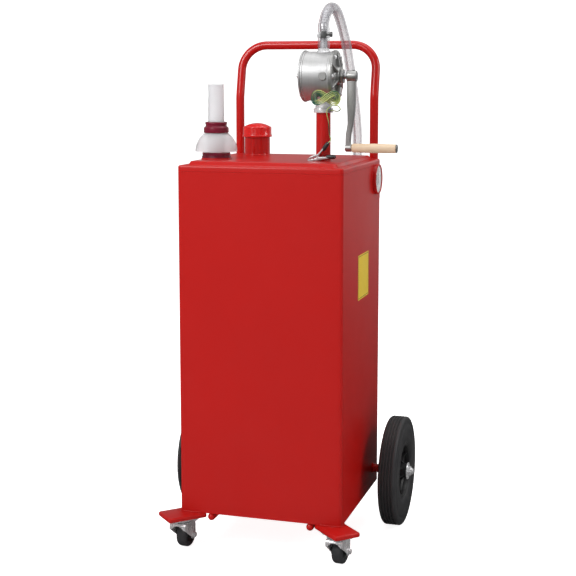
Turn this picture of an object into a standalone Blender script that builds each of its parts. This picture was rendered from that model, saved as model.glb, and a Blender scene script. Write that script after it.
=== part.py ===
"""Wheeled fuel caddy: a red sheet-steel tank on two rear wheels and two front casters,
with a rotary hand pump, its hose and nozzle, a filler, a float gauge, a level dial and
an earthing lead. Metres, +Z up. The front faces -Y and +X is to the viewer's right.
The origin is on the floor, in the middle of the footprint."""

import math

import bmesh
import bpy
import numpy as np
from mathutils import Matrix, Vector

# Shop rules that every piece follows
GAP = 0.0003              # air between two pieces that touch
OVERRUN = 0.004           # how far a cutter runs past what it cuts
BEAD = 0.003              # leg of a weld fillet
ROUND_STEPS = 20          # facets round a turned piece that shows
TYRE_STEPS = 24           # facets round a tyre and its rim
SMALL_STEPS = 12          # facets round a small turned piece
MERGE = 0.00005           # merge distance of the modifiers

# Tank
TANK_WIDTH = 0.405
TANK_DEPTH = 0.386
TANK_HEIGHT = 0.846       # underside to the shoulder of the lid
TANK_LIFT = 0.092         # floor to the tank's underside
SHEET = 0.002             # tank steel
FLOOR_SHEET = 0.003       # steel of the tank's floor pan
CORNER_RADIUS = 0.008     # the four upright bends
LID_SKIRT = 0.014         # turned-down edge of the lid
LID_ROUND = 0.005         # bend between the lid and its skirt
PANEL_INSET = 0.018       # flat shoulder round the raised panel
PANEL_SLOPE = 0.006       # width of the sloping step
PANEL_CORNER = 0.012      # corner radius of the raised panel
PANEL_RISE = 0.009        # height of the raised panel

# Front caster plates, set across the two front corners
PLATE_WIDTH = 0.068
PLATE_LENGTH = 0.100
PLATE_THICK = 0.0117
PLATE_ROUND = 0.004       # rounded edges of the folded plate
PLATE_TURN = math.radians(45.0)
PLATE_OUT = 0.0275        # middle of the outer edge, sideways from the tank's corner
PLATE_FORWARD = 0.043     # the same point, forward of the tank's front

# Rear wheels
TYRE_RADIUS = 0.1385
TYRE_WIDTH = 0.057
TYRE_BORE = 0.0665        # radius where the sidewall meets the rim
TYRE_SHOULDER = 0.011
TREAD_GROOVES = 3
GROOVE_WIDTH = 0.0032
GROOVE_DEPTH = 0.0022
WHEEL_OUT = 0.0645        # tank side to the middle of the tyre
AXLE_BACK = 0.327         # tank front to the axle
AXLE_RADIUS = 0.008
AXLE_END = 0.107          # tank side to the end of the axle
AXLE_CHAMFER = 0.0008
HUB_RADIUS = 0.019
HUB_HALF = 0.027
WEB_THICK = 0.004
RIM_WALL = 0.004
RIM_LIP = 0.004
RIM_HALF = 0.0235
SLEEVE_WALL = 0.0025
NUT_HALF_FLATS = 0.0115
NUT_LENGTH = 0.011
NUT_FLANGE_RADIUS = 0.0215
NUT_FLANGE = 0.0025

# Rails that run front to back under the tank
RAIL_RADIUS = 0.009
RAIL_FROM_SIDE = 0.078    # tank side to the rail's middle
RAIL_PROUD = 0.0025       # the rail's rounded tip, forward of the tank's front

# Casters
CASTER_IN = 0.0065        # swivel axis, inboard of the tank's side
CASTER_FORWARD = 0.009    # swivel axis, forward of the tank's front
CASTER_TRAIL = 0.022
CASTER_TURN = math.radians(5.0)    # where the wheel trails, right of straight back
CASTER_RADIUS = 0.031
CASTER_WIDTH = 0.028
CASTER_BORE = 0.0045
CASTER_TREAD_ROUND = 0.007
CASTER_HUB_RADIUS = 0.010
CASTER_HUB_PROUD = 0.0038
CASTER_DISH = 0.003
RACE_RADIUS = 0.027
RACE_HEIGHT = 0.0067
RACE_TAPER = 0.003
PAD_WIDTH = 0.058
PAD_LENGTH = 0.070
PAD_THICK = 0.0025
PAD_CORNER = 0.008
FORK_WALL = 0.0024
FORK_CLEAR = 0.0046       # wheel side to fork wall
FORK_LEAD = 0.026         # swivel axis to the front of the hood
FORK_BACK = 0.028         # swivel axis to the back of the hood
FORK_LIP = 0.015          # depth of the hood's front lip
FORK_ROUND = 0.005
FORK_BOSS = 0.0105        # radius of the leg's end round the bolt
CASTER_BOLT = 0.004
BOLT_HEAD_HALF = 0.0060
BOLT_HEAD = 0.0055

# Handle
HANDLE_RADIUS = 0.011
HANDLE_SPREAD = 0.363     # middle to middle of the legs
HANDLE_KNEE = 0.155       # where the legs lean back, above the shoulder
HANDLE_TOP = 0.290        # middle of the top bar, above the shoulder
HANDLE_LEAN = 0.030
HANDLE_BEND = 0.065
HANDLE_KNEE_BEND = 0.060
HANDLE_DROP = 0.138       # foot of the legs, below the shoulder
BRACKET_SHEET = 0.003
BRACKET_TOP = 0.028       # bracket's upper edge, below the shoulder
BRACKET_HEIGHT = 0.080
BOLT_DROP = 0.052         # handle bolts, below the shoulder
EAR_REACH = 0.001         # ear past the leg's back
EAR_CORNER = 0.008
HANDLE_BOLT_RADIUS = 0.004
HANDLE_BOLT_HEAD = 0.0070
HANDLE_BOLT_HALF = 0.0085

# Filler
FILLER_FROM_SIDE = 0.095  # from the left side
FILLER_BACK = 0.320
NECK_RADIUS = 0.0325
NECK_WALL = 0.0025
NECK_ABOVE = 0.067
NECK_BELOW = 0.012
CAP_RADIUS = 0.0365
CAP_LIP = 0.0378
CAP_LIP_HEIGHT = 0.005
CAP_BOTTOM = 0.0455       # cap's mouth above the panel
CAP_SIDE = 0.0245         # straight side of the cap
CAP_CROWN = 0.011         # rise of the domed top
CAP_WALL = 0.003
GASKET_THICK = 0.002

# Float gauge
GAUGE_FROM_SIDE = 0.0555
GAUGE_BACK = 0.120
BUNG_RADIUS = 0.0365
BUNG_HEIGHT = 0.003
BUNG_BORE = 0.026
BASE_RADIUS = 0.0345
BASE_HEIGHT = 0.0125
BASE_SPIGOT_WALL = 0.0035
BASE_FOOT = 0.0355
BASE_FOOT_HEIGHT = 0.004
GUIDE_WEB = 0.003         # web that guides the float's rod
DOME_RADIUS = 0.055
DOME_HEIGHT = 0.047
DOME_WALL = 0.0022
DOME_MOUTH = 0.013        # dome's rim above the bung
DOME_TOP_RADIUS = 0.030
COLLAR_RADIUS = 0.0305
COLLAR_TOP_RADIUS = 0.027
COLLAR_HEIGHT = 0.0265
COLLAR_STEP = 0.0135
TUBE_RADIUS = 0.0200
TUBE_TOP_RADIUS = 0.0190
TUBE_HEIGHT = 0.091
TUBE_WALL = 0.0018
TUBE_FOOT = 0.006         # tube's foot inside the collar
FLOAT_RADIUS = 0.016
FLOAT_HEIGHT = 0.060
FLOAT_DROP = 0.190        # float's top, below the panel
FLOAT_ROD = 0.002
MARKER_RADIUS = 0.013
MARKER_HEIGHT = 0.006

# Level dial on the right side
DIAL_BACK = 0.337
DIAL_BELOW = 0.049        # dial's middle, below the shoulder
DIAL_RADIUS = 0.0385
DIAL_DEPTH = 0.009
DIAL_RIM = 0.0045
DIAL_STEM = 0.010
DIAL_STEM_LENGTH = 0.016
DIAL_FACE = 0.0012
DIAL_LENS = 0.0014
DIAL_LENS_SINK = 0.0012
NEEDLE_LENGTH = 0.027
NEEDLE_TAIL = 0.011
NEEDLE_HALF = 0.0016
NEEDLE_TAIL_HALF = 0.0042
NEEDLE_HUB = 0.0042
NEEDLE_THICK = 0.0008

# Pump, its shaft along X
PUMP_FROM_SIDE = 0.082    # from the right side to the standpipe
PUMP_BACK = 0.130
PUMP_RISE = 0.209         # shaft above the shoulder
PIPE_RADIUS = 0.01725
PIPE_WALL = 0.0025
PIPE_TOP = 0.1247         # standpipe's end above the shoulder
PIPE_BELOW = 0.015
SUCTION_RADIUS = 0.0125
SUCTION_WALL = 0.0015
SUCTION_CLEAR = 0.018     # suction tube's foot above the tank's floor
COLLAR_NUT_RADIUS = 0.024
COLLAR_NUT_HEIGHT = 0.0086
COLLAR_NUT_SKIRT = 0.0015
SOCKET_RADIUS = 0.0188
PUMP_RADIUS = 0.058
PUMP_BORE = 0.050
PUMP_LEFT = 0.042         # body's left end from the standpipe
PUMP_RIGHT = 0.026        # body's right end from the standpipe
COVER_RADIUS = 0.061
COVER_THICK = 0.005
COVER_DISH = 0.002
FRONT_THICK = 0.0062
FRONT_RIBS = 6
RIB_HALF = 0.003
RIB_RISE = 0.005
GLAND_BASE = 0.0225
GLAND_BASE_LENGTH = 0.010
GLAND_RADIUS = 0.016
GLAND_LENGTH = 0.007
OUTLET_RADIUS = 0.0100
OUTLET_BASE_RADIUS = 0.0145
OUTLET_TOP = 0.110        # end of the barb above the shaft
OUTLET_BASE = 0.0845      # shoulder of the outlet boss above the shaft
OUTLET_BORE = 0.0065
BARB_STEP = 0.0006
BARB_PITCH = 0.007
BARB_COUNT = 3
PLUG_RADIUS = 0.0062
PLUG_LENGTH = 0.010
ROTOR_RADIUS = 0.030
VANE_COUNT = 4
VANE_THICK = 0.003
VANE_CLEAR = 0.001
SHAFT_RADIUS = 0.0065
SHAFT_RUNNING = 0.0003
SHAFT_END = 0.083         # shaft's end from the standpipe
CRANK_FROM_PIPE = 0.0695  # middle of the crank's hub from the standpipe
CRANK_HUB = 0.013
CRANK_HUB_LENGTH = 0.024
CRANK_RADIUS = 0.169
CRANK_JOG = 0.0085
JOG_FROM_SHARE = 0.62     # where the jog starts and ends, as a share of the radius
JOG_TO_SHARE = 0.74
CRANK_THICK = 0.011
CRANK_WIDE = 0.011        # half width of the arm at the hub
CRANK_NARROW = 0.0072     # half width of the arm at the grip
CRANK_EYE = 0.0105
GRIP_OFF = 0.0036         # shoulder of the spindle between arm and grip
GRIP_LENGTH = 0.107
GRIP_RADIUS = 0.0104
GRIP_BELLY = 0.0111
GRIP_BORE = 0.0045
GRIP_RECESS = 0.007
GRIP_RECESS_DEPTH = 0.006
SPINDLE_RADIUS = 0.0042
SPINDLE_HEAD = 0.0062

# Hose and nozzle
HOSE_RADIUS = 0.0125
HOSE_SWELL = 0.0142       # the hose where it is pushed over the barb
HOSE_LAP = 0.022          # how much of the barb the hose covers
CLAMP_WIDTH = 0.010
CLAMP_THICK = 0.0012
CLAMP_SCREW = 0.0036
CLAMP_SCREW_LENGTH = 0.017
HOSE_BEHIND = 0.0365      # hose's middle behind the tank
HOSE_DOWN_X = 0.1325      # the run that falls behind the tank
HOSE_LOOP_Z = 0.300       # where the loop at the bottom starts
NOZZLE_X = -0.0725
NOZZLE_FOOT = 0.620       # where the hose meets the nozzle, above the floor
INLET_RADIUS = 0.0145
INLET_LENGTH = 0.030
STOCK_RADIUS = 0.0125     # the part that a hand holds
STOCK_LENGTH = 0.105
HEAD_RADIUS = 0.0215
HEAD_LENGTH = 0.058
HEAD_CAP_RADIUS = 0.0165
HEAD_CAP_LENGTH = 0.014
SPOUT_RADIUS = 0.0105
SPOUT_WALL = 0.0014
SPOUT_SOCKET = 0.0135
SPOUT_SOCKET_LENGTH = 0.016
SPOUT_STRAIGHT = 0.018
SPOUT_BEND = 0.060
SPOUT_TURN = math.radians(55.0)
SPOUT_END = 0.050
GUARD_RADIUS = 0.0035
GUARD_REACH = 0.052       # guard's outer run from the nozzle's middle
GUARD_BEND = 0.014
TRIGGER_OUT = 0.027       # trigger's middle from the nozzle's middle
TRIGGER_HALF = 0.007
TRIGGER_THICK = 0.005
TRIGGER_LENGTH = 0.078
TRIGGER_PIN = 0.004
PIN_RADIUS = 0.0018
HOOK_RADIUS = 0.004
HOOK_LIP = 0.018
HOOK_BEND = 0.008
HOOK_FOOT_HALF = 0.014
HOOK_FOOT_THICK = 0.003

# Earthing lead
WIRE_RADIUS = 0.0014
LUG_THICK = 0.0012
LUG_RADIUS = 0.0065
LUG_SCREW_RADIUS = 0.0038
LUG_SCREW_HEAD = 0.0035
HANK_TURNS = 8            # figures of eight, four in each of two layers
HANK_POINTS = 22
HANK_PITCH = 2 * WIRE_RADIUS + 0.0008
HANK_REACH = 0.0285       # length of a lobe's middle strand
HANK_DEEP = 0.0102        # half height of a lobe's middle strand
HANK_CROSS = 1.25         # how far the crossing strands part, in pitches
HANK_LAYER = 1.2          # step between the two layers, in pitches
HANK_SWAP = 0.12          # share of a turn in which the wire changes layer
HANK_FORWARD = 0.0635     # hank's middle in front of the standpipe
HANK_SHIFT = 0.0235       # hank's middle, right of the standpipe
HANK_DROP = 0.050         # hank's middle below the shaft
CLIP_FORWARD = 0.0262     # clip's plane in front of the standpipe
CLIP_LEFT = 0.006         # pivot, left of the standpipe
CLIP_JAW = 0.0256
CLIP_GRIP = 0.042
CLIP_DEEP = 0.0075        # half height of the clip at its pivot
CLIP_SHEET = 0.0022
CLIP_HALF = 0.0045
CLIP_TILT = math.radians(14.0)
CLIP_SPREAD = math.radians(26.0)
CLIP_OPEN = math.radians(25.0)     # how far the upper half swings

# Places worked out from the sizes above
SHOULDER = TANK_LIFT + TANK_HEIGHT
PANEL_TOP = SHOULDER + PANEL_RISE
HALF_WIDTH = TANK_WIDTH / 2
PLATE_DIAGONAL = (PLATE_WIDTH / 2) * math.sqrt(2) / 2
PLATE_CORNER_SAVED = PLATE_ROUND * (math.sqrt(2) - 1)
FRONT_REACH = PLATE_FORWARD + PLATE_DIAGONAL - PLATE_CORNER_SAVED
FRONT = (FRONT_REACH - AXLE_BACK - TYRE_RADIUS) / 2
BACK = FRONT + TANK_DEPTH
PIPE_X = HALF_WIDTH - PUMP_FROM_SIDE
PIPE_Y = FRONT + PUMP_BACK
SHAFT_Z = SHOULDER + PUMP_RISE
AXLE_Y = FRONT + AXLE_BACK
WHEEL_X = HALF_WIDTH + WHEEL_OUT

# Colours: name, red, green, blue, roughness, metallic
FINISHES = {
    "red_powder_coat": (0.45, 0.012, 0.010, 0.38, 0.0),
    "black_plastic": (0.02, 0.02, 0.02, 0.5, 0.0),
    "rubber": (0.028, 0.028, 0.03, 0.8, 0.0),
    "zinc": (0.70, 0.71, 0.73, 0.28, 1.0),
    "cast_aluminium": (0.56, 0.56, 0.57, 0.35, 1.0),
    "bare_steel": (0.45, 0.45, 0.46, 0.4, 1.0),
    "wood": (0.78, 0.58, 0.40, 0.6, 0.0),
    "burgundy_plastic": (0.10, 0.003, 0.018, 0.3, 0.0),
    "frosted_plastic": (0.85, 0.85, 0.86, 0.35, 0.0),
    "clear_plastic": (0.90, 0.91, 0.92, 0.15, 0.0),
    "white_face": (0.82, 0.80, 0.78, 0.5, 0.0),
    "hose_pvc": (0.72, 0.70, 0.72, 0.3, 0.0),
    "wire_sheath": (0.20, 0.42, 0.12, 0.45, 0.0),
    "nitrile": (0.03, 0.03, 0.03, 0.7, 0.0),
}

PARTS = "fuel_caddy"
CUTTERS = "cutters"


# Helpers: scene, materials, solids

def clear_scene():
    for item in list(bpy.data.objects):
        bpy.data.objects.remove(item, do_unlink=True)
    for group in list(bpy.data.collections):
        bpy.data.collections.remove(group)
    for name in (PARTS, CUTTERS):
        bpy.context.scene.collection.children.link(bpy.data.collections.new(name))


def finish_of(name):
    """The material of a finish, made once."""
    found = bpy.data.materials.get(name)
    if found:
        return found
    red, green, blue, roughness, metallic = FINISHES[name]
    made = bpy.data.materials.new(name)
    made.use_nodes = True
    shader = made.node_tree.nodes["Principled BSDF"]
    shader.inputs["Base Color"].default_value = (red, green, blue, 1.0)
    shader.inputs["Roughness"].default_value = roughness
    shader.inputs["Metallic"].default_value = metallic
    made.diffuse_color = (red, green, blue, 1.0)
    return made


def own_finish(piece, finish):
    """Give a piece its own copy of a finish, named for the piece."""
    made = finish_of(finish).copy()
    made.name = piece.name + "_" + finish
    piece.data.materials.clear()
    piece.data.materials.append(made)


def place(name, data, finish=None, matrix=None):
    """Link a piece to the parts, or a cutter to the cutters when it has no finish."""
    piece = bpy.data.objects.new(name, data)
    if finish:
        bpy.data.collections[PARTS].objects.link(piece)
        own_finish(piece, finish)
    else:
        bpy.data.collections[CUTTERS].objects.link(piece)
        piece.hide_render = True
        piece.display_type = 'WIRE'
    if matrix is not None:
        piece.matrix_world = matrix
    return piece


def mesh_from(shape, name, sharp=35.0):
    mesh = bpy.data.meshes.new(name)
    shape.to_mesh(mesh)
    shape.free()
    mesh.shade_smooth()
    mesh.set_sharp_from_angle(angle=math.radians(sharp))
    return mesh


def frame_at(origin, z_axis=(0, 0, 1), x_axis=(1, 0, 0)):
    """A matrix with the given Z axis and, as nearly as it can, the given X axis."""
    up = Vector(z_axis).normalized()
    side = Vector(x_axis)
    side = (side - up * side.dot(up)).normalized()
    across = up.cross(side)
    turn = Matrix((side, across, up)).transposed().to_4x4()
    return Matrix.Translation(Vector(origin)) @ turn


def along_x(origin):
    """A frame whose local Z runs along the world's +X and whose local X points up."""
    return frame_at(origin, (1, 0, 0), (0, 0, 1))


def box(name, low, high, finish=None, matrix=None, radius=0.0, segments=2):
    """A box between two corners, with rounded edges when a radius is given."""
    low = Vector(low)
    high = Vector(high)
    shape = bmesh.new()
    bmesh.ops.create_cube(shape, size=1.0)
    bmesh.ops.scale(shape, vec=high - low, verts=shape.verts)
    bmesh.ops.translate(shape, vec=(low + high) / 2, verts=shape.verts)
    if radius:
        bmesh.ops.bevel(shape, geom=shape.edges[:], offset=radius, segments=segments,
                        affect='EDGES', profile=0.5)
    return place(name, mesh_from(shape, name), finish, matrix)


def rod(name, radius, low, high, finish=None, matrix=None, steps=SMALL_STEPS, top=None):
    """A cylinder, or a cone when the top radius differs, along local Z."""
    shape = bmesh.new()
    bmesh.ops.create_cone(shape, cap_ends=True, segments=steps, radius1=radius,
                          radius2=radius if top is None else top, depth=high - low)
    bmesh.ops.translate(shape, vec=(0, 0, (low + high) / 2), verts=shape.verts)
    return place(name, mesh_from(shape, name), finish, matrix)


def turned(name, profile, finish=None, matrix=None, steps=ROUND_STEPS, closed=False):
    """A turned solid. The profile holds (radius, height) pairs down the outer side, from
    the axis at the top to the axis at the bottom, or once round when it is closed."""
    shape = bmesh.new()
    corners = [shape.verts.new((radius, 0, height)) for radius, height in profile]
    for first, second in zip(corners, corners[1:]):
        shape.edges.new((first, second))
    if closed:
        shape.edges.new((corners[-1], corners[0]))
    mesh = bpy.data.meshes.new(name)
    shape.to_mesh(mesh)
    shape.free()
    piece = place(name, mesh, finish, matrix)
    screw = piece.modifiers.new("turn", 'SCREW')
    screw.axis = 'Z'
    screw.angle = math.tau
    screw.steps = steps
    screw.render_steps = steps
    screw.use_merge_vertices = True
    screw.merge_threshold = MERGE
    return piece


def arc(centre, radius, start, end, count):
    """Points on an arc, angles in degrees, as (x, y) pairs."""
    angles = np.radians(np.linspace(start, end, count + 1))
    return [(centre[0] + radius * math.cos(a), centre[1] + radius * math.sin(a))
            for a in angles]


def rounded_rectangle(width, height, radius, count=4, centre=(0.0, 0.0)):
    x = width / 2 - radius
    y = height / 2 - radius
    corners = (((x, y), 0), ((-x, y), 90), ((-x, -y), 180), ((x, -y), 270))
    outline = []
    for (cx, cy), start in corners:
        middle = (centre[0] + cx, centre[1] + cy)
        outline += arc(middle, radius, start, start + 90, count)
    return outline


def flat(name, outline, thickness, finish=None, matrix=None, holes=()):
    """A flat plate: an outline in local XY, extruded up from local z = 0."""
    curve = bpy.data.curves.new(name, 'CURVE')
    curve.dimensions = '2D'
    curve.fill_mode = 'BOTH'
    curve.extrude = thickness / 2
    for loop in (outline, *holes):
        spline = curve.splines.new('POLY')
        spline.points.add(len(loop) - 1)
        for point, (x, y) in zip(spline.points, loop):
            point.co = (x, y, 0.0, 1.0)
        spline.use_cyclic_u = True
    lift = Matrix.Translation((0, 0, thickness / 2))
    whole = (matrix if matrix is not None else Matrix.Identity(4)) @ lift
    return as_mesh(place(name, curve, finish, whole))


def rounded_path(corners, radii, count=6):
    """A path through corners, each rounded to its radius (0 keeps it sharp)."""
    points = [Vector(corners[0])]
    for before, here, after, radius in zip(corners, corners[1:], corners[2:], radii):
        here = Vector(here)
        back = (Vector(before) - here).normalized()
        ahead = (Vector(after) - here).normalized()
        if radius == 0:
            points.append(here)
            continue
        half = back.angle(ahead) / 2
        reach = radius / math.tan(half)
        middle = here + (back + ahead).normalized() * (radius / math.sin(half))
        start = here + back * reach - middle
        end = here + ahead * reach - middle
        start_way = start.normalized()
        end_way = end.normalized()
        for step in range(count + 1):
            points.append(middle + start_way.slerp(end_way, step / count) * radius)
    points.append(Vector(corners[-1]))
    return points


def smooth_path(knots, spacing):
    """Points a set distance apart on a smooth curve through the knots."""
    ends = [2 * Vector(knots[0]) - Vector(knots[1])]
    ends += [Vector(knot) for knot in knots]
    ends.append(2 * Vector(knots[-1]) - Vector(knots[-2]))
    fine = []
    for a, b, c, d in zip(ends, ends[1:], ends[2:], ends[3:]):
        for step in range(40):
            t = step / 40
            fine.append(0.5 * ((2 * b) + (c - a) * t + (2 * a - 5 * b + 4 * c - d) * t ** 2
                               + (3 * b - a - 3 * c + d) * t ** 3))
    fine.append(Vector(knots[-1]))
    walked = np.concatenate([[0.0], np.cumsum([(q - p).length for p, q in
                                               zip(fine, fine[1:])])])
    count = max(2, round(walked[-1] / spacing))
    wanted = np.linspace(0.0, walked[-1], count + 1)
    places = np.array([tuple(point) for point in fine])
    return [Vector([np.interp(w, walked, places[:, axis]) for axis in range(3)])
            for w in wanted]


def path_length(points):
    return sum((second - first).length for first, second in zip(points, points[1:]))


def tube(name, points, radius, finish=None, resolution=3, matrix=None, sizes=()):
    """A round bar or wire along a path. Sizes scale the radius of the first points."""
    curve = bpy.data.curves.new(name, 'CURVE')
    curve.dimensions = '3D'
    curve.bevel_depth = radius
    curve.bevel_resolution = resolution
    curve.use_fill_caps = True
    spline = curve.splines.new('POLY')
    spline.points.add(len(points) - 1)
    for point, co in zip(spline.points, points):
        point.co = (*co, 1.0)
    for point, size in zip(spline.points, sizes):
        point.radius = size
    return place(name, curve, finish, matrix)


def as_mesh(piece):
    """Turn a curve object into a mesh object of the same name, with its caps welded."""
    bpy.context.view_layer.update()
    graph = bpy.context.evaluated_depsgraph_get()
    mesh = bpy.data.meshes.new_from_object(piece.evaluated_get(graph))
    shape = bmesh.new()
    shape.from_mesh(mesh)
    bmesh.ops.remove_doubles(shape, verts=shape.verts, dist=MERGE / 5)
    bmesh.ops.recalc_face_normals(shape, faces=shape.faces)
    shape.to_mesh(mesh)
    shape.free()
    mesh.shade_smooth()
    mesh.set_sharp_from_angle(angle=math.radians(35.0))
    name = piece.name
    where = piece.matrix_world.copy()
    home = piece.users_collection[0]
    finishes = [slot.material for slot in piece.material_slots]
    is_cutter = piece.hide_render
    old = piece.data
    bpy.data.objects.remove(piece, do_unlink=True)
    bpy.data.curves.remove(old)
    made = bpy.data.objects.new(name, mesh)
    home.objects.link(made)
    made.matrix_world = where
    made.hide_render = is_cutter
    if is_cutter:
        made.display_type = 'WIRE'
    mesh.materials.clear()
    for finish in finishes:
        mesh.materials.append(finish)
    return made


def combine(target, other, operation):
    """A Boolean modifier on target that uses other, which becomes a cutter."""
    boolean = target.modifiers.new(operation.lower() + "_" + other.name, 'BOOLEAN')
    boolean.operation = operation
    boolean.solver = 'EXACT'
    boolean.object = other
    other.hide_render = True
    other.display_type = 'WIRE'
    return target


def cut(target, *others):
    for other in others:
        combine(target, other, 'DIFFERENCE')
    return target


def add(target, *others):
    for other in others:
        combine(target, other, 'UNION')
    return target


def hexagon(half_flats):
    corner = half_flats / math.cos(math.radians(30.0))
    return [(corner * math.cos(a), corner * math.sin(a))
            for a in np.radians(np.arange(0, 360, 60) + 30)]


# The tank

def tank_shell():
    """The wrapper: four sides of one folded sheet, open above and below."""
    shape = bmesh.new()
    bmesh.ops.create_cube(shape, size=1.0)
    ends = [face for face in shape.faces if abs(face.normal.z) > 0.5]
    bmesh.ops.delete(shape, geom=ends, context='FACES_ONLY')
    top = SHOULDER - LID_SKIRT - GAP
    height = top - TANK_LIFT
    bmesh.ops.scale(shape, vec=(TANK_WIDTH, TANK_DEPTH, height), verts=shape.verts)
    middle = (0, FRONT + TANK_DEPTH / 2, TANK_LIFT + height / 2)
    bmesh.ops.translate(shape, vec=middle, verts=shape.verts)
    uprights = [edge for edge in shape.edges
                if abs(edge.verts[0].co.z - edge.verts[1].co.z) > height / 2]
    bmesh.ops.bevel(shape, geom=uprights, offset=CORNER_RADIUS, segments=4,
                    affect='EDGES', profile=0.5)
    shell = place("tank_shell", mesh_from(shape, "tank_shell"), "red_powder_coat")
    wall = shell.modifiers.new("sheet", 'SOLIDIFY')
    wall.thickness = SHEET
    wall.offset = -1.0
    wall.use_even_offset = True
    sleeve_hole = rod("sleeve_hole", AXLE_RADIUS + GAP + SLEEVE_WALL + GAP,
                      -HALF_WIDTH - OVERRUN, HALF_WIDTH + OVERRUN, None,
                      along_x((0, AXLE_Y, TYRE_RADIUS)))
    dial_hole = rod("dial_hole", DIAL_STEM + GAP, HALF_WIDTH - OVERRUN - SHEET,
                    HALF_WIDTH + OVERRUN, None,
                    along_x((0, FRONT + DIAL_BACK, SHOULDER - DIAL_BELOW)), ROUND_STEPS)
    return cut(shell, sleeve_hole, dial_hole)


def tank_top():
    """The lid: a pressed pan with a rounded edge and a raised panel."""
    levels = [(0.0, SHOULDER - LID_SKIRT)]
    for x, z in arc((0.0, 0.0), LID_ROUND, 0, 90, 3):
        levels.append((LID_ROUND - x, SHOULDER - LID_ROUND + z))
    levels += [(PANEL_INSET, SHOULDER), (PANEL_INSET + PANEL_SLOPE, PANEL_TOP)]
    middle = (0.0, FRONT + TANK_DEPTH / 2)
    shape = bmesh.new()
    before = None
    for inset, height in levels:
        corner = CORNER_RADIUS - inset if inset < CORNER_RADIUS else PANEL_CORNER
        outline = rounded_rectangle(TANK_WIDTH - 2 * inset, TANK_DEPTH - 2 * inset,
                                    corner, 3, middle)
        loop = [shape.verts.new((x, y, height)) for x, y in outline]
        if before:
            for index in range(len(loop)):
                shape.faces.new((before[index - 1], before[index], loop[index],
                                 loop[index - 1]))
        before = loop
    shape.faces.new(before)
    bmesh.ops.recalc_face_normals(shape, faces=shape.faces)
    top = place("tank_top", mesh_from(shape, "tank_top"), "red_powder_coat")
    wall = top.modifiers.new("sheet", 'SOLIDIFY')
    wall.thickness = SHEET
    wall.offset = -1.0
    wall.use_even_offset = True
    low = PANEL_TOP - SHEET - OVERRUN
    high = PANEL_TOP + OVERRUN
    holes = (("neck_hole", NECK_RADIUS + GAP, filler_spot()),
             ("bung_hole", BUNG_BORE, gauge_spot()),
             ("pipe_hole", PIPE_RADIUS + GAP, (PIPE_X, PIPE_Y)))
    for name, radius, (x, y) in holes:
        cut(top, rod(name, radius, low, high, None, Matrix.Translation((x, y, 0)),
                     ROUND_STEPS))
    return top


def tank_bottom():
    outline = rounded_rectangle(TANK_WIDTH - 2 * (SHEET + GAP),
                                TANK_DEPTH - 2 * (SHEET + GAP), CORNER_RADIUS - SHEET)
    where = Matrix.Translation((0, FRONT + TANK_DEPTH / 2, TANK_LIFT))
    return flat("tank_bottom", outline, FLOOR_SHEET, "red_powder_coat", where)


def filler_spot():
    return -HALF_WIDTH + FILLER_FROM_SIDE, FRONT + FILLER_BACK


def gauge_spot():
    return -HALF_WIDTH + GAUGE_FROM_SIDE, FRONT + GAUGE_BACK


def ring(name, outer, inner, low, high, finish, matrix, steps=ROUND_STEPS):
    profile = [(outer, high), (outer, low), (inner, low), (inner, high)]
    return turned(name, profile, finish, matrix, steps, closed=True)


def filler_neck():
    x, y = filler_spot()
    foot = PANEL_TOP + GAP
    inner = NECK_RADIUS - NECK_WALL
    top = PANEL_TOP + NECK_ABOVE
    low = PANEL_TOP - NECK_BELOW
    profile = [(NECK_RADIUS, top), (NECK_RADIUS, foot + BEAD),
               (NECK_RADIUS + BEAD, foot), (NECK_RADIUS, foot), (NECK_RADIUS, low),
               (inner, low), (inner, top)]
    turned("filler_neck", profile, "red_powder_coat", Matrix.Translation((x, y, 0)),
           closed=True)


def filler_cap():
    """A screw cap with a domed top and a flared lip, and the gasket inside it."""
    x, y = filler_spot()
    where = Matrix.Translation((x, y, PANEL_TOP + CAP_BOTTOM))
    crown_radius = (CAP_RADIUS ** 2 + CAP_CROWN ** 2) / (2 * CAP_CROWN)
    half_angle = math.degrees(math.asin(CAP_RADIUS / crown_radius))
    dome = arc((0.0, CAP_SIDE + CAP_CROWN - crown_radius), crown_radius, 90,
               90 - half_angle, 5)
    inner = CAP_RADIUS - CAP_WALL
    ceiling = CAP_SIDE
    profile = [*dome, (CAP_RADIUS, CAP_LIP_HEIGHT), (CAP_LIP, CAP_LIP_HEIGHT / 2),
               (CAP_LIP, 0.0), (inner, 0.0), (inner, ceiling), (0.0, ceiling)]
    turned("filler_cap", profile, "red_powder_coat", where)
    gasket_top = ceiling - GAP
    clearance = CAP_BOTTOM + gasket_top - GASKET_THICK - NECK_ABOVE
    seat = gasket_top - GASKET_THICK - max(clearance - GAP, 0.0)
    ring("filler_gasket", inner - GAP, NECK_RADIUS - NECK_WALL, seat, gasket_top,
         "nitrile", where)


def axle_sleeve():
    """The cross tube that the axle runs in, welded through both sides of the tank."""
    end = WHEEL_X - HUB_HALF - GAP
    inner = AXLE_RADIUS + GAP
    ring("axle_sleeve", inner + SLEEVE_WALL, inner, -end, end, "red_powder_coat",
         along_x((0, AXLE_Y, TYRE_RADIUS)), SMALL_STEPS)


def rails():
    """Two bars with rounded front ends, under the tank from front to back."""
    height = TANK_LIFT - GAP - RAIL_RADIUS
    start = FRONT - RAIL_PROUD
    length = BACK - start
    tip = arc((0.0, length - RAIL_RADIUS), RAIL_RADIUS, 90, 0, 4)
    profile = [*tip, (RAIL_RADIUS, 0.0), (0.0, 0.0)]
    for side, name in ((-1, "frame_rail_left"), (1, "frame_rail_right")):
        x = side * (HALF_WIDTH - RAIL_FROM_SIDE)
        turned(name, profile, "red_powder_coat",
               frame_at((x, BACK, height), (0, -1, 0)), SMALL_STEPS)


# The casters and their plates

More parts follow.
